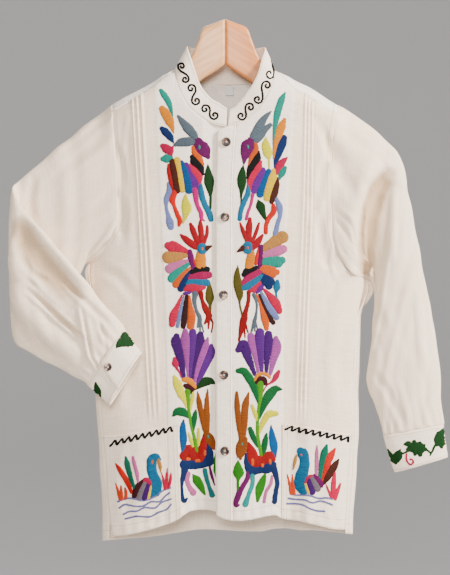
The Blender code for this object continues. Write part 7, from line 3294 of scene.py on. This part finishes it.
SLEEVE_LEFT_CREASES = (
    Crease(px_path((391, 168), (376, 190), (368, 216), (365, 250), (367, 292)), 14.0, -7.4),
    Crease(px_path((395, 182), (386, 202), (380, 228), (377, 256), (375, 292)), 19.0, -5.2),
    Crease(px_path((380, 160), (360, 180), (349, 202), (343, 226), (342, 250), (347, 266)), 17.0, 3.2),
    Crease(px_path((386, 171), (373, 187), (365, 206), (361, 232), (361, 262)), 3.8, -3.4),
    Crease(px_path((368, 270), (374, 300), (384, 332)), 9.0, -1.3),
    Crease(px_path((396, 186), (392, 224), (392, 262)), 6.0, 1.8),
    Crease(px_path((334, 218), (346, 232), (352, 256)), 4.0, -1.5),
    Crease(px_path((336, 206), (352, 218), (362, 246)), 4.4, 1.0),
    Crease(px_path((342, 246), (350, 260), (360, 270)), 3.0, -1.6),
    Crease(px_path((346, 240), (356, 254), (366, 266)), 3.0, 1.1),
    Crease(px_path((340, 128), (356, 142), (376, 152)), 8.0, -0.8),
    Crease(px_path((336, 168), (348, 184), (356, 206)), 9.0, -0.9),
    Crease(px_path((404, 262), (398, 290), (402, 330)), 12.0, -0.7),
    Crease(px_path((388, 300), (402, 336), (420, 362)), 9.0, -0.4),
    Crease(px_path((418, 290), (420, 330), (424, 372)), 7.0, 1.3),
    Crease(px_path((374, 372), (388, 392), (402, 422)), 6.0, -1.2),
    Crease(px_path((398, 380), (404, 402), (412, 428)), 5.0, 0.9),
    Crease(px_path((426, 376), (426, 400), (430, 424)), 5.0, -0.9),
    Crease(px_path((372, 340), (378, 360), (376, 384)), 6.0, 0.7),
    Crease(px_path((350, 160), (376, 220), (396, 300)), 12.0, -2.2, Face.HIDDEN),
    Crease(px_path((384, 300), (392, 350), (408, 410)), 10.0, -1.8, Face.HIDDEN),
    Crease(px_path((404, 380), (408, 404), (416, 428)), 5.0, 1.6, Face.HIDDEN),
)


# Lines of needlework that repeat along an edge, in the picture's own pixels.
REPEATS = {
    "pocket_right": [Wave((111.0, 443.6), (173.0, 428.6), 9)],
    "pocket_left": [Wave((287.0, 427.6), (350.0, 439.6), 9)],
    "collar_right": [Scroll((181.8, 66.4), (185.2, 79.2), 1.0, 4.1),
                     Scroll((191.2, 88.6), (196.4, 100.8), -1.0),
                     Scroll((205.2, 109.2), (214.6, 115.2), -1.0)],
    "collar_left": [Scroll((266.8, 85.4), (257.8, 99.2), 1.0),
                    Scroll((250.2, 107.4), (241.4, 115.8), 1.0)],
}

# The cloth that each area of needlework lies on.
GROUNDS = {
    "front_right": ["front_right"],
    "front_left": ["front_left"],
    "pocket_right": ["pocket_right"],
    "pocket_left": ["pocket_left"],
    "collar_right": ["collar_band"],
    "collar_left": ["collar_band"],
    "cuff_right": ["cuff_right", "sleeve_right"],
    "cuff_left": ["cuff_left"],
}

# Topstitching: the cloth, its edge, how far in, and the shares between which it runs.
SEAMS = [
    ("button_placket", "first_column", 1.6, 0.0, 1.0),
    ("button_placket", "last_column", 1.6, 0.0, 1.0),
    ("collar_band", "first_row", 1.8, 0.0, 1.0),
    ("collar_band", "last_row", 1.8, 0.0, 1.0),
    ("front_right", "first_row", 10.5, 0.0, 1.0),
    ("front_left", "first_row", 10.5, 0.0, 1.0),
    ("back", "first_row", 10.5, 0.0, 1.0),
    ("front_right", "last_column", 5.0, 0.55, 1.0),
    ("front_left", "last_column", 5.0, 0.55, 1.0),
    ("front_right", "last_column", 5.5, 0.0, 0.12),
    ("front_left", "last_column", 5.5, 0.0, 0.12),
    ("back", "first_column", 4.0, 0.0, 1.0),
    ("back", "last_column", 4.0, 0.0, 1.0),
    ("back", "last_row", 1.8, 0.0, 0.28),
    ("back", "last_row", 1.8, 0.72, 1.0),
]
for _pocket in ("pocket_right", "pocket_left"):
    SEAMS += [(_pocket, "first_column", 1.6, 0.0, 1.0), (_pocket, "first_column", 5.2, 0.0, 1.0),
              (_pocket, "last_row", 1.6, 0.0, 1.0), (_pocket, "last_column", 1.6, 0.0, 1.0),
              (_pocket, "first_row", 10.5, 0.0, 1.0)]
for _cuff in ("cuff_right", "cuff_left"):
    SEAMS += [(_cuff, edge, 2.2, 0.0, 1.0) for edge in ("first_row", "last_row", "last_column")]


Cut = FrontPanel | BackPanel | Sleeve | Cuff | Collar | Placket | Pocket


class Shirt:
    """Everything that is put on the frame, with its material and body."""

    def __init__(self) -> None:
        """Mix the materials that the pieces share."""
        self.cotton = Cotton().build()
        self.embroidery = EmbroideryCotton().build()
        # Partly painted shade: the sewing thread is darker than its own cream, standing in for the shade
        # in the seam's groove.
        self.sewing = SewingThread("cream_thread_with_painted_seam_shade", (0.47, 0.345, 0.225)).build()
        self.button_thread = SewingThread("button_thread", (0.62, 0.55, 0.48)).build()
        self.plastic = MarbledPlastic().build()
        self.tape = Tape().build()
        # Painted light: one lacquered wood in two copies, paler on the left half and darker and warmer
        # on the right, for how light falls on each half; the grain turns opposite ways.
        self.woods = {
            Side.LEFT: LacqueredWood("wood_painted_lighter", (0.70, 0.36, 0.15), (0.52, 0.23, 0.075),
                                   math.radians(-33)).build(),
            Side.RIGHT: LacqueredWood("wood_painted_darker", (0.66, 0.235, 0.055), (0.46, 0.14, 0.028),
                                  math.radians(33)).build(),
        }
        self.cloths: dict[str, Cloth] = {}
        self.cuffs: tuple[Cuff, ...] = ()

    def finish(self, piece: bpy.types.Object, material: bpy.types.Material, slot: str,
               *nodes: str) -> bpy.types.Object:
        """Give a piece its material and body, and log it.

        Args:
            piece: the object.
            material: its material.
            slot: not used.
            nodes: frame nodes that it replaces.

        Returns:
            The piece.
        """
        piece.data.materials.clear()
        piece.data.materials.append(material)
        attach(piece, "root")
        if nodes:
            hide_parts(*nodes)
        triangles = sum(len(p.vertices) - 2 for p in piece.data.polygons)
        LOG.info("%s: %d triangles", piece.name, triangles)
        return piece

    def sheet(self, cloth: Cloth, cut: "Cut", node: str) -> None:
        """Args:
            cloth: the fine cloth.
            cut: what it was cut as.
            node: frame node that it replaces.
        """
        made = self.finish(cloth.make(), self.cotton, "cotton", node)
        getattr(cut, "area", None)
        self.cloths[node] = cloth
        u, v = cloth.lengths()
        LOG.info("  on the form %.0f x %.0f mm", float(u[:, -1].max()), float(v[-1].max()))

    def body(self) -> None:
        """Fronts, back, sleeves, cuffs, collar, placket and pockets."""
        right = FrontPanel("right_front_panel", Side.LEFT, FRONT_RIGHT_GUIDES,
                           FRONT_RIGHT_CREASES, 1, (0.21, 0.52), 0.075)
        left = FrontPanel("left_front_panel", Side.RIGHT, FRONT_LEFT_GUIDES,
                          FRONT_LEFT_CREASES, 2, (0.195, 0.52), 0.070)
        for panel, node in ((right, "front_right"), (left, "front_left")):
            self.sheet(panel.cloth(), panel, node)
        back = BackPanel(creases=BACK_CREASES)
        self.sheet(back.cloth(), back, "back")
        self.sleeves()
        self.cuffs = (Cuff("right_cuff", Side.LEFT, CUFF_RIGHT, (0.18, 0.034)),
                      Cuff("left_cuff", Side.RIGHT, CUFF_LEFT, (0.17, 0.040)))
        for cuff, node in zip(self.cuffs, ("cuff_right", "cuff_left")):
            self.sheet(cuff.cloth(), cuff, node)
        for strip, node in ((Collar(), "collar_band"), (Placket(), "button_placket")):
            self.sheet(strip.cloth(), strip, node)
        for pocket, panel, node in (
                (Pocket("right_pocket", right, "pocket", (0.088, 0.108)), "front_right", "pocket_right"),
                (Pocket("left_pocket", left, "band", (0.080, 0.104)), "front_left", "pocket_left")):
            self.sheet(pocket.cloth(self.cloths[panel]), pocket, node)

    def sleeves(self) -> None:
        """Both sleeves, from the armhole edges of the fine panels."""
        levels = np.array(panel_levels(True))
        back = np.stack([self.at_levels(self.cloths["back"], levels, edge) for edge in (0, -1)],
                        axis=1)
        waves = (0.45, 18.0, 80.0)
        for sleeve, panel, node in (
                (Sleeve("right_sleeve", Side.LEFT, SLEEVE_RIGHT, SLEEVE_RIGHT_CREASES,
                        Unevenness(5, *waves), (0.38, 0.37), 0.078, 0.5),
                 "front_right", "sleeve_right"),
                (Sleeve("left_sleeve", Side.RIGHT, SLEEVE_LEFT, SLEEVE_LEFT_CREASES,
                        Unevenness(6, *waves), (0.38, 0.37), 0.078, 0.6),
                 "front_left", "sleeve_left")):
            front = self.at_levels(self.cloths[panel], levels[:-len(OVER_LEVELS)], -1)
            self.sheet(sleeve.cloth(front, back), sleeve, node)

    @staticmethod
    def at_levels(cloth: Cloth, levels: np.ndarray, edge: int) -> np.ndarray:
        """Points of a panel's side edge at the given levels."""
        points = cloth.points[:, edge]
        return np.stack([np.interp(levels, cloth.rows, points[:, k]) for k in range(3)], axis=1)

    @staticmethod
    def button_spot(x: float, z: float) -> tuple[np.ndarray, np.ndarray]:
        """World point of a button on the placket, in millimetres, and the way out there.

        Args:
            x: seen x.
            z: seen z.

        Returns:
            The point and the unit normal.
        """
        east, west = (BodyForm.front_point(x + d, z) for d in (BUTTON_REACH, -BUTTON_REACH))
        above, below = (BodyForm.front_point(x, z + d) for d in (BUTTON_REACH, -BUTTON_REACH))
        normal = np.cross(east - west, above - below)
        normal = normal / np.linalg.norm(normal)
        normal = normal if normal[1] < 0 else -normal
        return BodyForm.front_point(x, z) + normal * (LAYER_GAP + BUTTON_LIFT), normal

    def small_parts(self) -> None:
        """Label, buttons and hanger."""
        label = SizeLabel()
        made = self.finish(label.cloth().make(), self.tape, "label", "size_label")
        button = Button()
        blank = button.template()
        spots = [(*self.button_spot(*centre), 0.7 * number, 1.0, f"button_{number}")
                 for number, centre in enumerate(BUTTON_CENTRES, start=1)]
        spots += [(*cuff.button_place(), 0.3, CUFF_BUTTON_RADIUS / BUTTON_RADIUS, node)
                  for cuff, node in zip(self.cuffs, ("cuff_button_right", "cuff_button_left"))]
        for centre, normal, turn, scale, node in spots:
            piece = button.place("shirt_" + node, blank, centre, normal, turn, scale)
            self.finish(piece, self.plastic, "button", node)
        thread = button.shank("button_threads", [spot[:3] for spot in spots])
        self.finish(thread, self.button_thread, "thread")
        for node, side in (("hanger_right_half", Side.LEFT), ("hanger_left_half", Side.RIGHT)):
            half = HangerHalf("wooden_" + node, side)
            self.finish(half.make(), self.woods[side], "wood", node)

    def needlework(self) -> None:
        """Embroidery of the fronts, pockets, collar and cuffs."""
        for area, strokes in read_motifs(MOTIFS).items():
            strokes += [Stroke(Thread.BLACK, 0, shape.dots()) for shape in REPEATS.get(area, ())]
            work = Needlework("needlework_" + area, strokes,
                              [self.cloths[node] for node in GROUNDS[area]])
            self.finish(work.make(), self.embroidery, "thread")

    def stitching(self) -> None:
        """Every row of topstitching that shows."""
        seams = [Seam(self.cloths[node], *rest) for node, *rest in SEAMS]
        made = Topstitching("topstitching").make(seams, self.sewing)
        self.finish(made, self.sewing, "thread")


def main() -> None:
    """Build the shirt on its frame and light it."""
    shirt = Shirt()
    shirt.body()
    shirt.small_parts()
    shirt.needlework()
    shirt.stitching()
    Studio().build()


if __name__ == "__main__":
    main()
